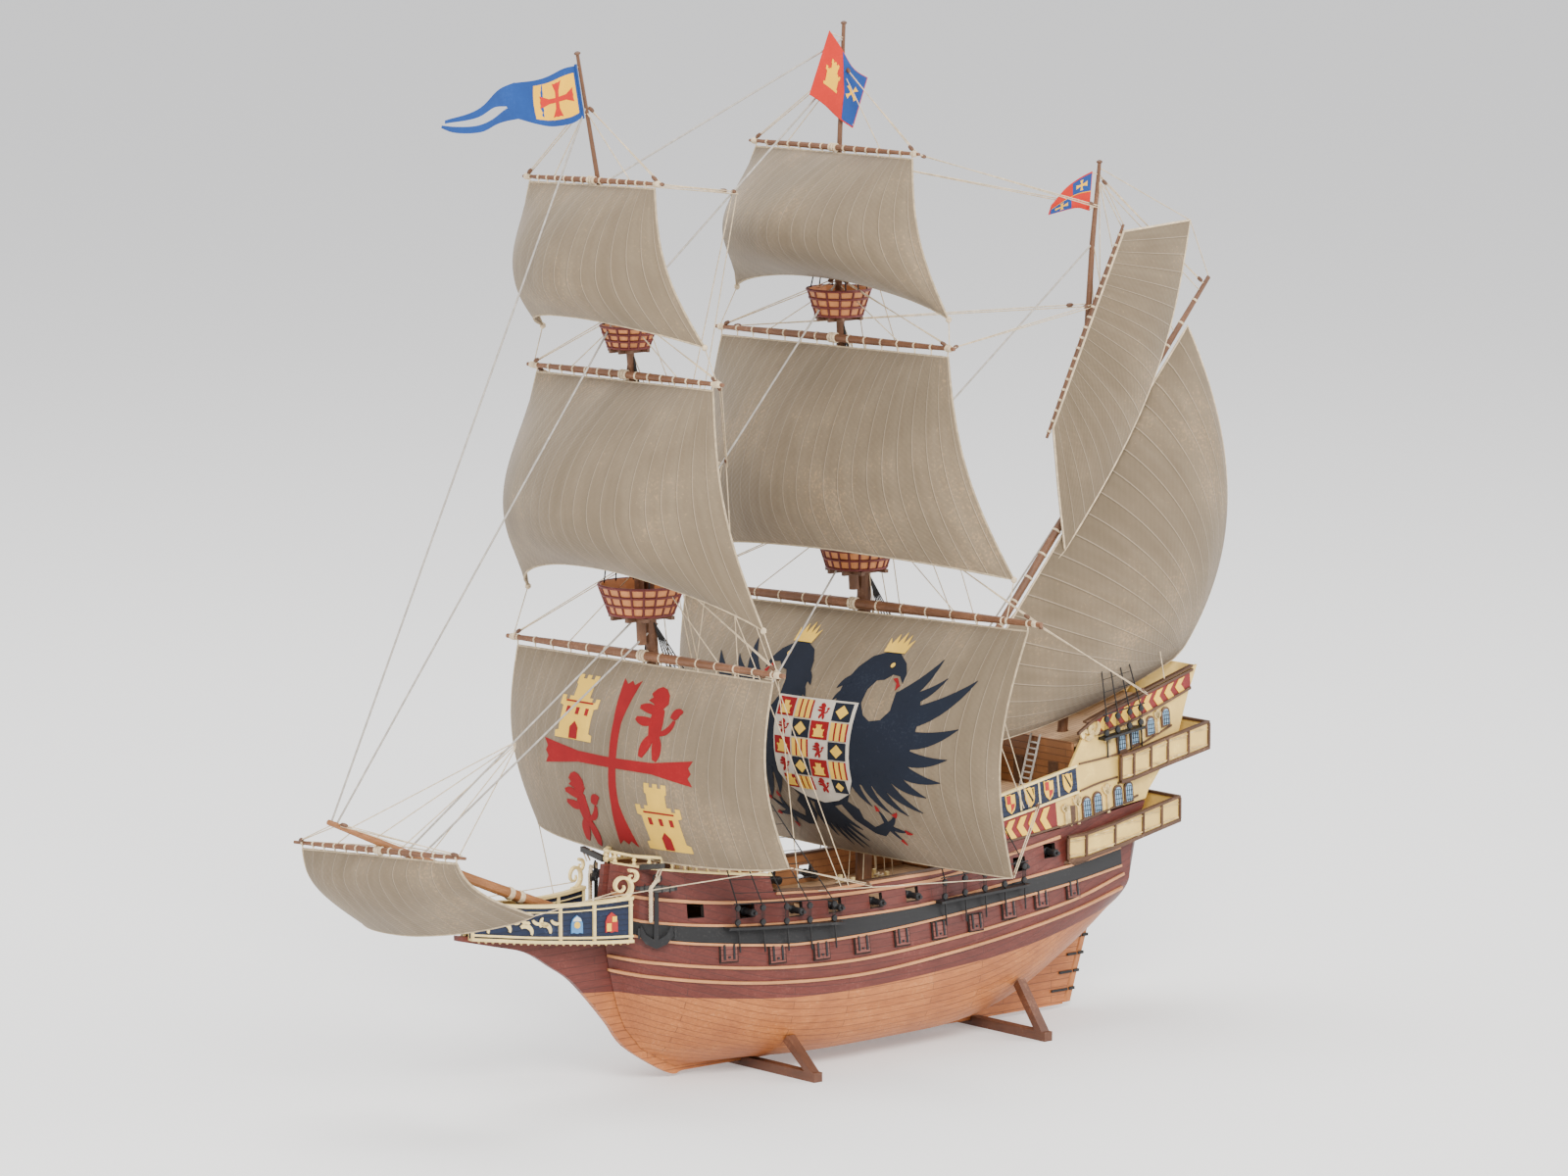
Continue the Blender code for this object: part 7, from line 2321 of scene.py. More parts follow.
for side, body in ((-1.0, "anchor_port"), (1.0, "anchor_starboard")):
    along = Vector((math.cos(BOW_TURN), side * math.sin(BOW_TURN), 0.0))
    out = Vector((-math.sin(BOW_TURN), side * math.cos(BOW_TURN), 0.0))
    y = side * ANCHOR_Y
    ring = ring_path(-88.6, y, 88.9, 1.7, along, Vector((0.0, 0.0, 1.0)))
    rope_lines(body + "_ring", [ring], 0.34, FITTING_BLACK, 8, body)
    stock = []
    for t, r in ((-7.0, 0.8), (-3.5, 1.15), (0.0, 1.4), (3.5, 1.15), (7.0, 0.8)):
        centre = Vector((-88.6, y, 84.6)) + along * t
        stock.append([place(*(centre + out * r * a * 0.85 + Vector((0.0, 0.0, r * b))))
                      for a, b in ((-1, -1), (1, -1), (1, 1), (-1, 1))])
    fit_out(skin_rings(body + "_stock", stock, STOCK_GREY, 30.0), body)
    bands = []
    for t in (-5.2, -2.0, 2.0, 5.2):
        centre = Vector((-88.6, y, 84.6)) + along * t
        half = 1.25
        loop = [tuple(centre + out * half * a + Vector((0.0, 0.0, half * b * 1.1)))
                for a, b in ((-1, -1), (1, -1), (1, 1), (-1, 1), (-1, -1))]
        bands.append(loop)
    rope_lines(body + "_bands", bands, 0.28, FITTING_BLACK, 5, body)
    flukes = []
    for sign in (-1.0, 1.0):
        tip = Vector((-88.6, y, 87.6 - 21.6)) + along * (6.4 * sign)
        base_ring = []
        for da, dz in ((-1.6, -2.0), (1.6, -2.0), (0.6, 2.2), (-0.6, 2.2)):
            base_ring.append((da, dz))
        flukes.append([place(*(tip + out * (da * 1.0) + along * (0.8 * sign) + Vector((0.0, 0.0,
                dz)))) for da, dz in base_ring])
        flukes.append([place(*(tip + out * (da * 1.0) + along * (1.5 * sign) + Vector((0.0, 0.0,
                dz)))) for da, dz in base_ring])
    points = flukes[0] + flukes[1] + flukes[2] + flukes[3]
    faces = []
    for base in (0, 8):
        for j in range(4):
            faces.append((base + j, base + (j + 1) % 4, base + 4 + (j + 1) % 4, base + 4 + j))
        faces.append(tuple(base + k for k in range(4)))
        faces.append(tuple(base + 4 + k for k in range(4)))
    fit_out(build_piece(body + "_flukes", points, faces, FITTING_BLACK, None, 20.0), body)
    knot = [((-88.6, y, 88.2), (0.0, 0.0, 0.0)), ((-88.2, y, 89.2), (0.0, 0.6, 0.0), (0.8, 0.8, 0.8))]
    stamp(body + "_knot", round_part([(0.3, -1.2), (1.0, -0.8), (1.25, 0.0), (1.0, 0.8), (0.3, 1.2)], 10),
          knot, ROPE_CREAM, body)
for side, body in ((-1.0, "anchor_port"), (1.0, "anchor_starboard")):
    along = Vector((math.cos(BOW_TURN), side * math.sin(BOW_TURN), 0.0))
    out = Vector((-math.sin(BOW_TURN), side * math.cos(BOW_TURN), 0.0))
    hanging = []
    for strand in range(3):
        path = []
        for k in range(41):
            t = k / 40
            ang = math.tau * (t * 5.0 + strand / 3)
            p = Vector((-88.6, side * ANCHOR_Y, 88.6 - 17.5 * t)) + along * (-2.6 * min(1.0, t * 5.0))
            p += along * 0.5 * math.cos(ang) + out * (1.7 + 0.5 * math.sin(ang))
            path.append(tuple(p))
        hanging.append(path)
    rope_lines(body + "_tackle", hanging, 0.48, ROPE_CREAM, body=body)
tackles = []
for side in (-1.0, 1.0):
    for d in (-0.6, 0.6):
        tackles.append([(-90.6 + d, side * 25.0, 94.6), (-90.2 + d * 1.5, side * 22.4, 90.4)])
    tackles.append([(-90.6, side * 21.0, 95.4), (-86.0, side * 16.6, 92.4)])
rope_lines("cathead_falls", tackles, 0.35, ROPE_CREAM)
print("catheads and anchors rigged")

# %% [markdown]
# Deck furniture: hatch, bitts with belaying lines, a capstan, knee posts, and the rudder's straps.
# The straps ride on the rudder because it turns.

# %% deck furniture and rudder straps


def deck_z(x):
    return MAIN_DECK_Z + (x - 20.0) ** 2 * 0.00033


hatch_points = []
hatch_faces = []
for x0, x1, half in ((-20.0, -4.0, 7.0), (2.0, 22.0, 8.0), (56.0, 70.0, 7.0)):
    z = deck_z((x0 + x1) / 2)
    block(hatch_points, hatch_faces, place(x0, -half, z + 0.02), place(x0 + 0.9, half, z + 1.6))
    block(hatch_points, hatch_faces, place(x1 - 0.9, -half, z + 0.02), place(x1, half, z + 1.6))
    block(hatch_points, hatch_faces, place(x0 + 0.9, -half, z + 0.02), place(x1 - 0.9, -half + 0.9, z + 1.6))
    block(hatch_points, hatch_faces, place(x0 + 0.9, half - 0.9, z + 0.02), place(x1 - 0.9, half, z + 1.6))
    count = int((x1 - x0 - 2.0) / 2.0)
    for k in range(count):
        x = x0 + 1.6 + 2.0 * k
        block(hatch_points, hatch_faces, place(x, -half + 0.9, z + 0.5), place(x + 0.9, half - 0.9, z + 1.3))
fit_out(build_piece("hatches", hatch_points, hatch_faces, BROWN_TRIM, None, 20.0))
bitts = box_part([((-0.8, -4.6, 0.0), (0.8, -3.4, 8.0)), ((-0.8, 3.4, 0.0), (0.8, 4.6, 8.0)),
                  ((-0.6, -6.4, 4.6), (0.6, -4.6, 5.8)), ((-0.6, -3.4, 4.6), (0.6, 3.4, 5.8)),
                  ((-0.6, 4.6, 4.6), (0.6, 6.4, 5.8))])
stamp("bitts", bitts, [((31.0, 0.0, deck_z(31.0) + 0.05), (0.0, 0.0, 0.0)), ((50.0, 0.0, deck_z(50.0) + 0.05),
      (0.0, 0.0, 0.0)), ((-58.0, 0.0, rail_z(-58.0) - 1.5), (0.0, 0.0, 0.0))], CREAM_TRIM)
coils = []
for x in (31.0, 50.0):
    for y in (-5.6, -2.6, 0.0, 2.6, 5.6):
        turns = []
        for k in range(17):
            ang = math.tau * k / 8
            turns.append((x + 1.1 * math.cos(ang), y + 0.8 * math.sin(ang), deck_z(x) + 4.0 + 2.4 * k / 16))
        coils.append(turns)
rope_lines("belayed_coils", coils, 0.42, ROPE_CREAM)
capstan = round_part([(2.4, 0.0), (2.8, 0.8), (1.8, 1.6), (1.6, 5.2), (2.2, 6.0), (2.6, 6.6), (2.6, 7.6),
                      (0.4, 8.2)], 14)
stamp("capstan", capstan, [((82.0, 0.0, deck_z(82.0) + 0.05), (0.0, 0.0, 0.0)),
                           ((112.0, 0.0, 96.4), (0.0, 0.0, 0.0))], BROWN_TRIM)
RAKE = (STERNPOST_TOP[0] - STERNPOST_LOW[0]) / (STERNPOST_TOP[1] - STERNPOST_LOW[1])
post_boxes = []
for k, z in enumerate((8.5, 16.0, 23.5, 31.0)):
    x = STERNPOST_LOW[0] + RAKE * (z - STERNPOST_LOW[1])
    long = 9.0 - 2.0 * k
    post_boxes.append((x, z, long))
straps = box_part([((1.5, -1.75, -0.6), (4.6, -0.85, 0.6)), ((1.5, 0.85, -0.6), (4.6, 1.75, 0.6))])
stamp("rudder_straps", straps, [((x, 0.0, z), (0.0, 0.0, 0.0)) for x, z, _ in post_boxes], FITTING_BLACK,
      "rudder")
for number, (x, z, long) in enumerate(post_boxes):
    points = []
    faces = []
    for side in (-1.0, 1.0):
        y0, y1 = sorted((side * 1.32, side * 2.05))
        block(points, faces, place(x - long, y0, z - 0.5), place(x + 0.2, y1, z + 0.5))
    fit_out(build_piece("post_strap_" + str(number), points, faces, FITTING_BLACK, None, 20.0))
print("deck furniture and straps")

# %% [markdown]
# The tops keep their turned baskets. Red ribs and hoops are laid over them as bars, following the
# basket's own slope.

# %% tops
for name, (cx, cz, r_hole, r_low, r_rim, height) in TOPS.items():
    ribs = []
    count = 20 if "lower" in name else 14
    for k in range(count):
        ang = math.tau * k / count
        path = []
        for t in (0.0, 0.5, 1.0):
            r = r_low + (r_rim - r_low) * t + 0.1
            path.append((cx + r * math.cos(ang), r * math.sin(ang), cz + height * t))
        ribs.append(path)
    rope_lines(name + "_ribs", ribs, 0.55, TOP_RED, 4)
    hoops = []
    for t in (0.03, 0.36, 0.68, 0.99):
        r = r_low + (r_rim - r_low) * t + 0.15
        hoops.append([(cx + r * math.cos(math.tau * k / 36), r * math.sin(math.tau * k / 36), cz + height * t)
                      for k in range(37)])
    rope_lines(name + "_hoops", hoops, 0.6, TOP_RED, 6)
    inner = [[(cx + (r_hole + 0.5) * math.cos(math.tau * k / 24),
               (r_hole + 0.5) * math.sin(math.tau * k / 24), cz + 1.5) for k in range(25)]]
    rope_lines(name + "_lining", inner, 0.5, BROWN_TRIM, 6)
print("tops ribbed")

# %% [markdown]
# The stem and keel are cut again with a fair curve instead of straight facets, and share the hull's
# two paints. The other frame pieces keep their shape and take a finish.

# %% stem, keel and finishes of the frame pieces
HEAD_CURVE = [(-60.0, 2.2), (-67.4, 2.2), (-89.8, 15.5), (-99.5, 27.0), (-109.4, 38.1), (-119.0, 47.6),
              (-129.0, 54.2), (-142.0, 61.9), (-160.0, 66.8), (-177.3, 71.1)]
HEAD_TOP = [(-177.3, 73.2), (-160.0, 70.3), (-142.0, 67.4), (-122.0, 64.4), (-103.8, 63.0), (-103.6, 72.0),
            (-101.2, 93.4), (-95.8, 93.0), (-97.6, 74.0), (-97.3, 60.0), (-93.5, 42.8), (-87.0, 25.5),
            (-78.0, 15.0), (-62.0, 7.0), (60.0, 7.0), (84.0, 8.5), (100.0, 11.5), (120.0, 17.5),
            (140.0, 26.0), (153.0, 33.0), (161.0, 38.8), (164.2, 40.0), (164.2, 34.6), (153.1, 2.2)]
curve = [smooth_edge(HEAD_CURVE, k / 44) for k in range(45)]
curve[-1] = HEAD_CURVE[-1]
outline = curve + HEAD_TOP
points = []
for share, half in ((-1.0, 1.3), (1.0, 1.3)):
    points += [place(x, share * half, z) for x, z in outline]
count = len(outline)
faces = [tuple(range(count)), tuple(range(count, 2 * count))]
for k in range(count):
    n = (k + 1) % count
    faces.append((k, n, count + n, count + k))
uvs = [(p.x, p.z) for p in points]
keel = build_piece("keel_faired", points, faces, HULL_FINISH, uvs, 30.0)
level = keel.data.attributes.new("waterline", "FLOAT", "POINT")
for vert in keel.data.vertices:
    x = vert.co.x / MM - SHIFT
    level.data[vert.index].value = vert.co.z - soft_lookup(x, PAINT_X, PAINT_Z) * MM
work = bmesh.new()
work.from_mesh(keel.data)
for z in (0.0402, 0.0205, 0.055):
    every = work.verts[:] + work.edges[:] + work.faces[:]
    bmesh.ops.bisect_plane(work, geom=every, plane_co=(0.0, 0.0, z), plane_no=(0.0, 0.0, 1.0), dist=1e-7)
work.to_mesh(keel.data)
work.free()
fit_out(keel)
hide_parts("keel_and_stem")
RUDDER_PAINT = paint_finish("rudder_paint", TAN, wash=0.5, rub=0.3, rough=0.36, grain=(10.0, 10.0, 1.0))
FRAME_FINISHES = {"rudder": RUDDER_PAINT, "beakhead_deck": DECK_WOOD, "forecastle_deck": DECK_WOOD,
                  "main_deck": DECK_WOOD, "quarter_deck": DECK_WOOD, "poop_deck": DECK_WOOD,
                  "forecastle_bulkhead": CABIN_WOOD, "quarterdeck_bulkhead": CABIN_WOOD,
                  "poop_bulkhead": CABIN_WOOD, "stern_transom": CREAM_PAINT,
                  "beakhead_rail_port": NAVY_PAINT, "beakhead_rail_starboard": NAVY_PAINT,
                  "sterncastle_side_port": CREAM_PAINT, "sterncastle_side_starboard": CREAM_PAINT,
                  "lower_gallery": CREAM_PAINT, "upper_gallery": CREAM_PAINT,
                  "fore_channel_port": FITTING_BLACK, "fore_channel_starboard": FITTING_BLACK,
                  "main_channel_port": FITTING_BLACK, "main_channel_starboard": FITTING_BLACK,
                  "mizzen_channel_port": FITTING_BLACK, "mizzen_channel_starboard": FITTING_BLACK,
                  "anchor_port": FITTING_BLACK, "anchor_starboard": FITTING_BLACK,
                  "fore_lower_mast": SPAR_STAIN, "fore_topmast": SPAR_STAIN, "main_lower_mast": SPAR_STAIN,
                  "main_topmast": SPAR_STAIN, "mizzen_mast": SPAR_STAIN, "bowsprit": BOWSPRIT_STAIN,
                  "spritsail_yard": YARD_STAIN, "fore_yard": YARD_STAIN, "fore_topsail_yard": YARD_STAIN,
                  "fore_topgallant_yard": YARD_STAIN, "main_yard": YARD_STAIN,
                  "main_topsail_yard": YARD_STAIN, "main_topgallant_yard": YARD_STAIN,
                  "mizzen_yard": SPAR_STAIN, "mizzen_topsail_yard": SPAR_STAIN, "fore_lower_top": TOP_TAN,
                  "fore_upper_top": TOP_TAN, "main_lower_top": TOP_TAN, "main_upper_top": TOP_TAN,
                  "fore_cradle": CRADLE_WOOD, "aft_cradle": CRADLE_WOOD}
for node, finish in FRAME_FINISHES.items():
    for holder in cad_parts[node] if isinstance(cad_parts[node],
                                                     (list, tuple)) else [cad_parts[node]]:
        for material_slot in holder.material_slots:
            material_slot.material = finish
print(len(FRAME_FINISHES), "frame pieces finished")

# %% [markdown]
# Standing rigging: shrouds fan from the channels to the mastheads, held by pairs of deadeyes with
# lanyards, and crossed by ratlines. Stays run forward down the centre line.

# %% shrouds, ratlines and deadeyes
dark_lines = []
ratlines = []
lanyards = []
chains = []
eyes = []
bars = []


def shroud_set(xs, z_fore, z_aft, head, spread, rows, stand=4.4, chain=11.0):
    """Shrouds of one mast on both sides with deadeyes, chains and ratlines."""
    for side in (-1.0, 1.0):
        feet = []
        for k, x in enumerate(xs):
            z = z_fore + (z_aft - z_fore) * k / (len(xs) - 1)
            y = side * (side_y(x, z) + stand)
            feet.append(Vector((x, y, z + 8.6)))
            eyes.append(((x, y, z + 1.9), (0.0, 0.0, 0.0)))
            eyes.append(((x, y, z + 7.9), (0.0, 0.0, 0.0)))
            for d in (-0.7, 0.0, 0.7):
                lanyards.append([(x + d, y, z + 2.2), (x + d * 1.1, y, z + 7.6)])
            low = z - chain
            chains.append([(x, y, z + 1.0), (x + 1.0, side * (side_y(x, z - 1.2) + stand * 0.8), z - 1.4),
                           (x + 2.6, side * (side_y(x + 2.6, low) + 1.1), low)])
            dark_lines.append([tuple(feet[-1]), (head[0], side * spread, head[1])])
        bars.append([tuple(feet[0] + Vector((-2.0, 0.0, 1.2))), tuple(feet[-1] + Vector((2.0, 0.0, 1.2)))])
        tops = Vector((head[0], side * spread, head[1]))
        for r in range(1, rows):
            t = r / rows * 0.94
            ratlines.append([tuple(f.lerp(tops, t)) for f in feet])


shroud_set((-57.0, -45.5, -34.0, -22.5, -10.0), 66.6, 63.6, (-75.4, 191.0), 2.4, 20)
shroud_set((50.5, 62.0, 73.5, 85.0, 96.5), 65.4, 66.6, (41.0, 199.5), 2.8, 21)
shroud_set((154.0, 161.0, 168.5, 175.5), 121.6, 124.0, (162.4, 224.0), 1.8, 17, 3.8, 9.0)
for cx, z0, rim, x1, z1, rows in ((-80.0, 206.6, 16.6, -85.0, 301.0, 16),
                                  (36.4, 214.8, 15.4, 27.6, 306.0, 15),
                                  (-86.4, 313.2, 10.8, -100.6, 366.0, 9),
                                  (26.4, 320.4, 12.6, 26.6, 372.0, 9)):
    for side in (-1.0, 1.0):
        feet = []
        for degrees in (62.0, 90.0, 118.0):
            ang = math.radians(degrees)
            feet.append(Vector((cx + rim * math.cos(ang), side * rim * math.sin(ang), z0)))
            dark_lines.append([tuple(feet[-1]), (x1, side * 1.6, z1)])
        for r in range(1, rows):
            ratlines.append([tuple(f.lerp(Vector((x1, side * 1.6, z1)), r / rows * 0.92)) for f in feet])
rope_lines("shrouds", dark_lines, 0.3, ROPE_DARK)
rope_lines("ratlines", ratlines, 0.16, ROPE_DARK, sides=4)
rope_lines("lanyards", lanyards, 0.18, ROPE_DARK, sides=4)
rope_lines("chain_plates", chains, 0.36, FITTING_BLACK)
rope_lines("sheer_poles", bars, 0.32, FITTING_BLACK)
stamp("deadeyes", round_part([(0.3, -0.8), (1.3, -0.5), (1.45, 0.0), (1.3, 0.5), (0.3, 0.8)], 12, "Y"), eyes,
      FITTING_BLACK)
print(len(dark_lines), "shrouds,", len(eyes), "deadeyes")

# %% [markdown]
# The rest of the rigging comes in groups: stays between the masts, lifts that carry the yards, and
# braces and sheets that trim them. Each line runs between two marks in station millimetres.

# %% stays, lifts, braces and sheets
stays = [[(-76.5, 0.0, 198.0), (-203.0, 0.0, 109.8)], [(-89.0, 0.0, 323.0), (-237.0, 0.0, 125.6)],
         [(-108.6, 0.0, 403.0), (-239.5, 0.0, 126.8)], [(40.4, 0.0, 222.0), (-60.5, 0.0, 95.0)],
         [(26.6, 0.0, 325.0), (-76.0, 0.0, 209.0)], [(27.8, 0.0, 412.0), (-88.4, 0.0, 318.0)],
         [(161.4, 0.0, 224.0), (43.0, 0.0, 98.0)], [(169.4, 0.0, 330.0), (41.6, 0.0, 232.0)],
         [(-72.0, -0.6, 190.0), (-196.0, 0.0, 107.0)], [(28.0, 0.0, 424.0), (-100.0, 0.0, 372.0)]]
rope_lines("stays", stays, 0.42, ROPE_GREY)
runs = []
blocks = []
knots = []


def at(name, t, dz=0.0, dx=0.0):
    p = yard_point(name, t)
    return (p.x + dx, p.y, p.z + dz)


def double(a, b, gap=1.1):
    """Two parallel parts of one tackle with a block at each end."""
    runs.append([a, b])
    runs.append([(a[0] + gap, a[1], a[2]), (b[0] + gap * 0.6, b[1], b[2] - gap)])
    for near, far in ((a, b), (b, a)):
        p = Vector(near).lerp(Vector(far), 0.045)
        way = Vector(far) - Vector(near)
        blocks.append((tuple(p), tuple(way.to_track_quat("Z", "Y").to_euler())))


HEADS = {
    "fore_yard": ((-77.6, 219.0), 0.96),
    "main_yard": ((40.4, 231.0), 0.965),
    "fore_topsail_yard": ((-88.4, 320.0), 0.95),
    "main_topsail_yard": ((26.2, 325.0), 0.95),
    "fore_topgallant_yard": ((-108.4, 404.0), 0.94),
    "main_topgallant_yard": ((28.0, 413.0), 0.94),
}
for name, ((hx, hz), t) in HEADS.items():
    for side in (-1.0, 1.0):
        double(at(name, -side * t, 0.8), (hx, side * 1.6, hz))
        knots.append((at(name, -side * t), (math.pi / 2, 0.0, 0.0), (1.2, 1.2, 1.6)))
        runs.append([at(name, -side * 0.55, 0.6), (hx, side * 1.2, hz - 3.0)])
for side in (-1.0, 1.0):
    double(at("spritsail_yard", -side * 0.94, 0.8), (-236.5, side * 0.9, 126.0))
    runs.append([at("spritsail_yard", -side * 0.94, 0.6), (-200.0, 0.0, 112.0)])
    runs.append([at("spritsail_yard", -side * 0.5, 0.8), (-228.0, 0.0, 122.4)])
    double(at("fore_yard", -side * 0.97), (-8.0, side * 1.4, 160.6))
    double(at("fore_topsail_yard", -side * 0.96), (-36.0, side * 1.4, 252.6))
    double(at("fore_topgallant_yard", -side * 0.95), (-30.0, side * 1.4, 364.6))
    double(at("main_yard", -side * 0.97), (182.0, side * 22.4, 137.4))
    double(at("main_topsail_yard", -side * 0.96), (167.4, side * 1.8, 304.0))
    double(at("main_topgallant_yard", -side * 0.95), (171.6, side * 1.4, 346.0))
    for top, foot in (((-8.0, 160.6), (-20.0, 77.0)), ((-36.0, 252.6), (-44.0, 77.4)),
                      ((-30.0, 364.6), (-66.0, 219.0))):
        y = side * (side_y(foot[0], 76.0) - 4.0) if foot[1] < 100.0 else side * 6.0
        runs.append([(top[0], side * 1.4, top[1]), (foot[0], y, foot[1])])
    corner = SAIL_SHAPES["fore_course"](0.5 - side * 0.5, 1.0)
    double(tuple(corner), (14.0, side * (side_y(14.0, 76.0) + 0.9), 76.2))
    runs.append([tuple(corner), (-118.0, side * 11.0, 82.0)])
    corner = SAIL_SHAPES["main_course"](0.5 - side * 0.5, 1.0)
    double(tuple(corner), (112.0, side * (side_y(112.0, 96.0) + 1.2), 98.6))
    runs.append([tuple(corner), (-14.0, side * (side_y(-14.0, 76.0) + 0.9), 76.6)])
    for sail, yard, t in (("fore_topsail", "fore_yard", 0.95), ("fore_topgallant", "fore_topsail_yard", 0.93),
                          ("main_topsail", "main_yard", 0.82),
                          ("main_topgallant", "main_topsail_yard", 0.96)):
        corner = SAIL_SHAPES[sail](0.5 - side * 0.5, 1.0)
        runs.append([tuple(corner), at(yard, -side * t, 1.4)])
        knots.append((tuple(corner), (0.0, 0.0, 0.0), (1.1, 1.1, 1.1)))
        knots.append((at(yard, -side * t), (math.pi / 2, 0.0, 0.0), (1.3, 1.3, 1.4)))
    corner = SAIL_SHAPES["spritsail"](0.5 - side * 0.5, 1.0)
    runs.append([tuple(corner), (-104.0, side * 14.0, 84.5)])
    backs = ((-85.6, 303.0, -2.0), (-102.0, 370.0, 2.0), (27.0, 308.0, 101.0), (26.8, 376.0, 104.0))
    for bx, bz, foot in backs:
        runs.append([(bx, side * 1.0, bz),
                     (foot, side * (side_y(foot, 78.0) + 1.0), rail_z(foot) if foot < 88.0 else 98.0)])
    runs.append([(169.2, side * 0.8, 330.0), (196.0, side * (side_y(196.0, 138.0) - 0.4), 141.0)])
for k in range(5):
    runs.append([(-230.0 + 13.0 * k, 0.0, 123.4 - 5.4 * k), (-146.0, 0.0, 149.0 - 0.6 * k)])
falls = [((36.0, -4.6, 70.2), (43.0, -3.0, 186.0)), ((36.0, 4.6, 70.2), (43.0, 3.0, 186.0)),
         ((52.0, -5.6, 70.2), (31.0, -3.0, 298.0)), ((52.0, 5.6, 70.2), (31.0, 3.0, 298.0)),
         ((50.0, -2.6, 70.2), (42.6, -3.0, 196.0)), ((50.0, 2.6, 70.2), (42.6, 3.0, 196.0)),
         ((-58.0, -2.6, 91.4), (-74.6, -2.6, 176.0)), ((-58.0, 2.6, 91.4), (-74.6, 2.6, 176.0)),
         ((-58.0, -5.0, 91.4), (-84.0, -2.6, 292.0)), ((-58.0, 5.0, 91.4), (-84.0, 2.6, 292.0))]
runs += [[a, b] for a, b in falls]
peak = LATEEN_YARDS["mizzen_yard"][1]
heel = LATEEN_YARDS["mizzen_yard"][0]
top_peak = LATEEN_YARDS["mizzen_topsail_yard"][1]
for share in (0.62, 0.76, 0.88, 0.97):
    p = Vector(heel).lerp(Vector(peak), share)
    runs.append([tuple(p), (172.4, -0.8, 356.0)])
double((172.6, -0.8, 358.0), tuple(Vector(heel).lerp(Vector(peak), 0.985)))
runs.append([TOPSAIL_PEAK, peak])
runs.append([TOPSAIL_PEAK, (173.2, 0.0, 362.0)])
runs.append([top_peak, (173.0, 0.0, 360.0)])
runs.append([TOPSAIL_CLEW, (118.0, -4.6, 173.0)])
runs.append([tuple(SAIL_SHAPES["mizzen_course"](0.5, 0.97)), (214.0, 0.0, 147.0)])
runs.append([heel, (58.0, -20.0, 82.0)])
runs.append([heel, (58.0, 20.0, 82.0)])
rope_lines("running_rigging", runs, 0.24, ROPE_CREAM, sides=5)
stamp("blocks", round_part([(0.2, -1.7), (0.75, -1.1), (0.9, 0.0), (0.75, 1.1), (0.2, 1.7)], 8), blocks,
      BLOCK_BROWN)
print(len(runs), "running lines,", len(blocks), "blocks")

# %% [markdown]
# Every sail is laced to its yard with short lashings, and the masts carry rope bands, caps and
# crosstrees. Each is one small part stamped many times.

# %% lashings, mast bands and caps
lashings = []
for name, spec in SAILS.items():
    yard, inset, drop = spec[0], spec[1], spec[2]
    radius = YARDS[yard][5]
    brace = math.radians(YARDS[yard][3])
    for k in range(15):
        t = -inset + 2 * inset * k / 14
        p = yard_point(yard, t)
        thick = radius * (1.0 - 0.5 * abs(t)) + 0.35
        lashings.append(((p.x, p.y, p.z), (math.pi / 2, 0.0, brace), (thick, thick, 0.45)))
        q = yard_point(yard, t, drop)
        lashings.append(((q.x - 0.1, q.y, q.z + drop * 0.45), (0.0, 0.0, 0.0), (0.28, 0.28, drop * 0.45)))
    p = yard_point(yard, 0.0)
    for d in (-1.6, 0.0, 1.6):
        lashings.append(((p.x, p.y + d, p.z), (math.pi / 2, 0.0, brace), (radius + 0.5, radius + 0.5, 0.6)))
for low, high, radius in LATEEN_YARDS.values():
    way = Vector(high) - Vector(low)
    turn = tuple(way.to_track_quat("Z", "Y").to_euler())
    for k in range(20):
        p = Vector(low).lerp(Vector(high), 0.03 + 0.92 * k / 19)
        thick = radius * (1.0 - 0.45 * abs(0.5 - k / 19) * 2.0) + 0.35
        lashings.append((tuple(p), turn, (thick, thick, 0.5)))
ring = round_part([(0.9, -1.0), (1.0, -0.6), (1.0, 0.6), (0.9, 1.0)], 10)
stamp("lashings", ring, lashings, ROPE_CREAM)
stamp("corner_knots", round_part([(0.4, -1.2), (1.1, -0.6), (1.1, 0.6), (0.4, 1.2)], 10), knots, ROPE_CREAM)
bands = []
for table, spots in ((FORE_MAST, (100.0, 114.0, 128.0, 142.0, 156.0, 168.0)),
                     (MAIN_MAST, (86.0, 102.0, 118.0, 134.0,
                     150.0, 166.0, 180.0)), (MIZZEN_MAST, (132.0, 148.0, 164.0, 180.0, 196.0, 212.0))):
    lean_turn = math.atan2(table[1][0] - table[0][0], table[1][1] - table[0][1])
    for z in spots:
        x, r = mast_place(table, z)
        bands.append(((x, 0.0, z), (0.0, lean_turn, 0.0), (r + 0.4, r + 0.4, 1.5)))
for z in (85.0, 87.2):
    x = BOWSPRIT_MID[0] + (BOWSPRIT_MID[1] - z) * 2.418
    bands.append(((x, 0.0, z), (0.0, -1.178, 0.0), (2.75, 2.75, 1.3)))
stamp("mast_bands", ring, bands, ROPE_CREAM)
caps = [((-78.6, 0.0, 220.6), (0.0, -0.05, 0.0), (1.0, 1.0, 1.0)),
        ((37.4, 0.0, 233.0), (0.0, 0.0, 0.0), (1.3, 1.0, 1.0))]
stamp("mast_caps", box_part([((-5.4, -3.0, -1.2), (5.4, 3.0, 1.2))]), caps, BLOCK_BROWN)
trees = []
for cx, z, half in ((-80.0, 193.6, 12.0), (36.4, 201.9, 11.6), (-86.4, 303.6, 7.6), (26.4, 308.5, 8.8)):
    trees.append(((cx, 0.0, z), (0.0, 0.0, 0.0), (half / 10.0, half / 10.0, 1.0)))
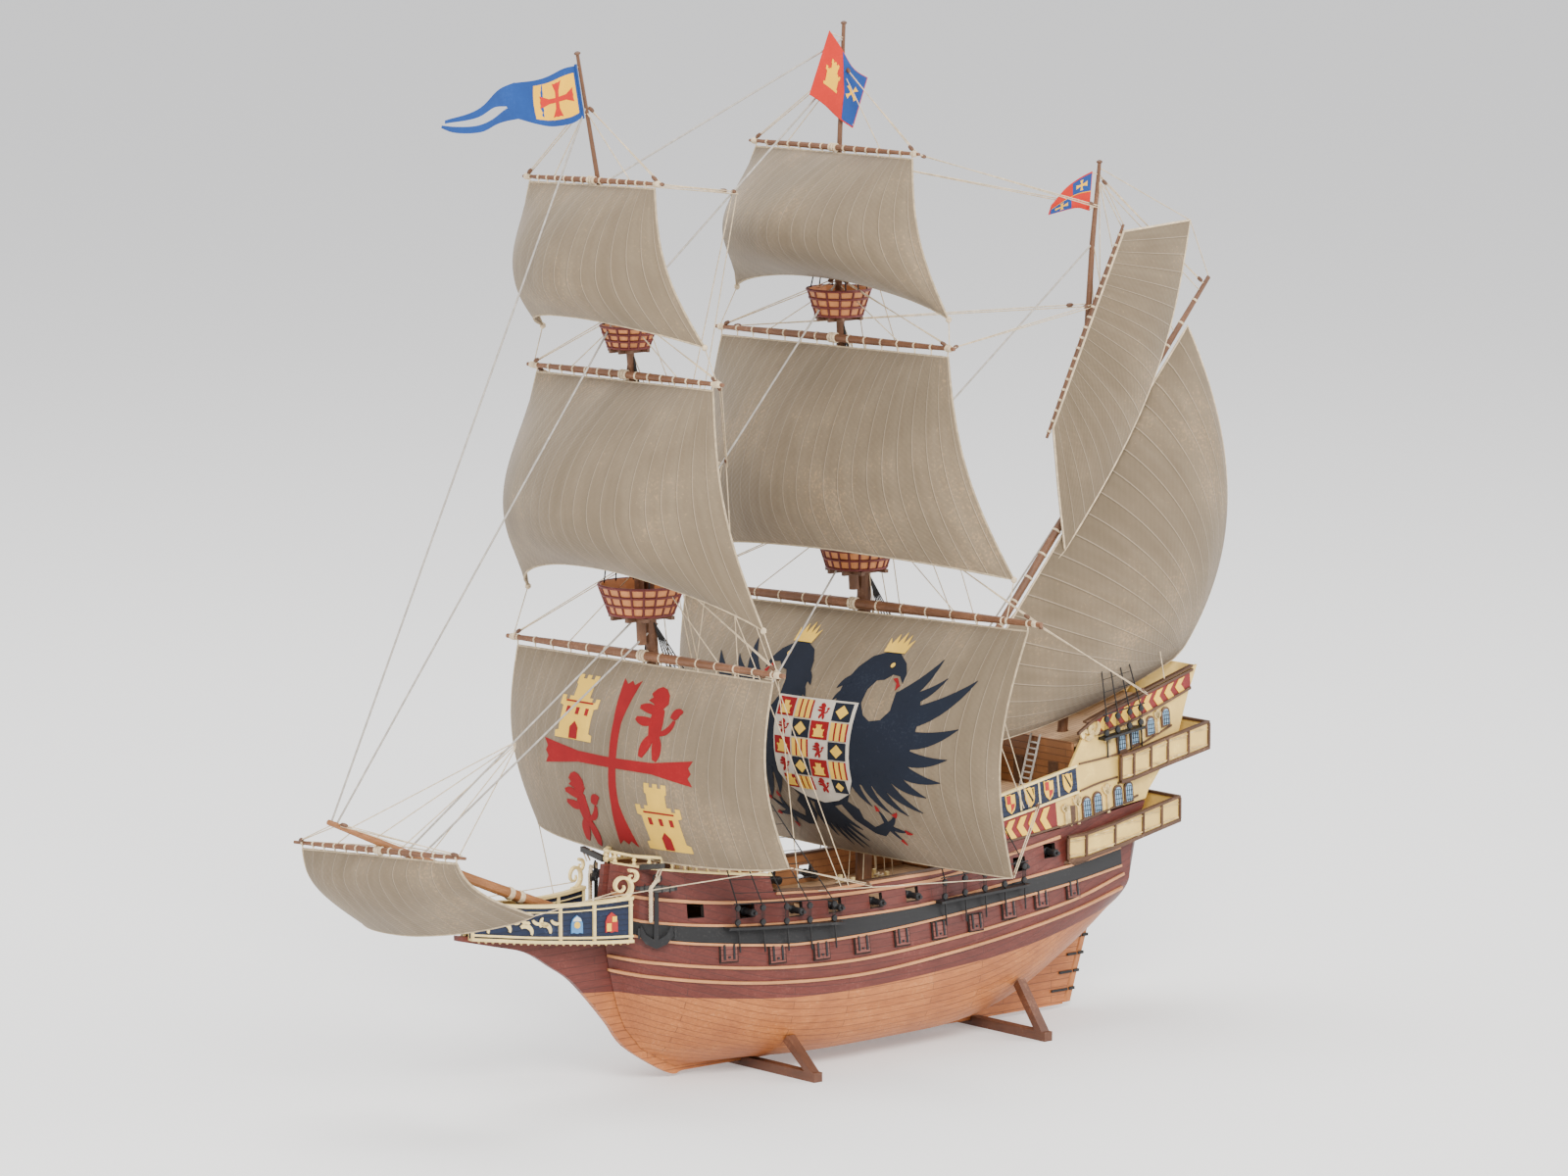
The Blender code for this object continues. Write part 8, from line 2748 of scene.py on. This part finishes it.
tree_part = box_part([((-10.0, -4.6, -1.0), (10.0, -3.2, 1.0)), ((-10.0, 3.2, -1.0), (10.0, 4.6, 1.0)),
                      ((-6.4, -10.0, -0.6), (-4.8, 10.0, 0.9)), ((4.8, -10.0, -0.6), (6.4, 10.0, 0.9))])
stamp("crosstrees", tree_part, trees, BLOCK_BROWN)
trucks = [((-112.6, 0.0, 425.2), (0.0, -0.2, 0.0)), ((28.9, 0.0, 430.6), (0.0, 0.0, 0.0)),
          ((173.1, 0.0, 364.4), (0.0, 0.0, 0.0))]
stamp("mast_trucks", round_part([(0.5, -0.6), (1.3, -0.2), (1.3, 0.5), (0.4, 1.0)], 10), trucks, BLOCK_BROWN)
hoist = [[(-109.6, 0.0, 399.0), (-113.6, 0.0, 421.0)]]
rope_lines("pennant_hoist", hoist, 0.6, FLAG_BLUE)
ties = [[(18.3, -3.2, 427.4), (28.9, 0.0, 424.6)], [(30.4, -4.0, 388.6), (28.0, 0.0, 402.0)],
        [(169.0, 0.0, 360.2), (173.0, 0.0, 359.0)], [(167.4, 0.0, 344.4), (171.6, 0.0, 346.0)],
        [(-113.2, 0.0, 419.6), (-111.2, 0.0, 420.2)], [(-109.7, 0.0, 400.6), (-106.8, 0.0, 400.8)]]
rope_lines("flag_ties", ties, 0.24, ROPE_CREAM)
print(len(lashings), "lashings,", len(bands), "mast bands")

# %% [markdown]
# Small wooden plugs sit in the bars of the cradles, near the ends. They belong to the cradle
# bodies, so they slide away with them.

# %% cradle details
for name, x in CRADLES.items():
    pads = []
    for side in (-1.0, 1.0):
        pads.append(((x, side * 44.4, CRADLE_BAR + 0.02), (0.0, 0.0, 0.0)))
    stamp(name + "_plugs", round_part([(1.1, 0.0), (1.1, 0.5), (0.7, 0.8)], 10), pads, BROWN_TRIM,
          name)
print("cradles finished")

# %% [markdown]
# The floor is a pale sheet that rises to the base of the cradles.

# %% floor and its finish
FLOOR_GLOW = 0.28
FLOOR_HALF = 6.0
floor_mesh = bpy.data.meshes.new("studio_floor")
floor_mesh.from_pydata([(-FLOOR_HALF, -FLOOR_HALF, 0.0), (FLOOR_HALF, -FLOOR_HALF, 0.0),
                        (FLOOR_HALF, FLOOR_HALF, 0.0), (-FLOOR_HALF, FLOOR_HALF, 0.0)], [],
                       [(0, 1, 2, 3)])
floor = bpy.data.objects.new("studio_floor", floor_mesh)
bpy.context.scene.collection.objects.link(floor)
floor_finish, link, shader = start_finish("pale_floor", specular=0.2)
soft = add_group(floor_finish, AGED, Patch_Size=3.0, Wash=0.05, Rub=0.0, Roughness=0.55)
soft.inputs["Colour"].default_value = (0.80, 0.79, 0.77, 1.0)
soft.inputs["Dark"].default_value = (0.77, 0.76, 0.74, 1.0)
soft.inputs["Light"].default_value = (0.83, 0.82, 0.80, 1.0)
link(soft.outputs["Colour"], shader.inputs["Base Color"])
link(soft.outputs["Roughness"], shader.inputs["Roughness"])
shader.inputs["Emission Color"].default_value = (1.0, 1.0, 1.0, 1.0)
shader.inputs["Emission Strength"].default_value = FLOOR_GLOW
floor_mesh.materials.append(floor_finish)
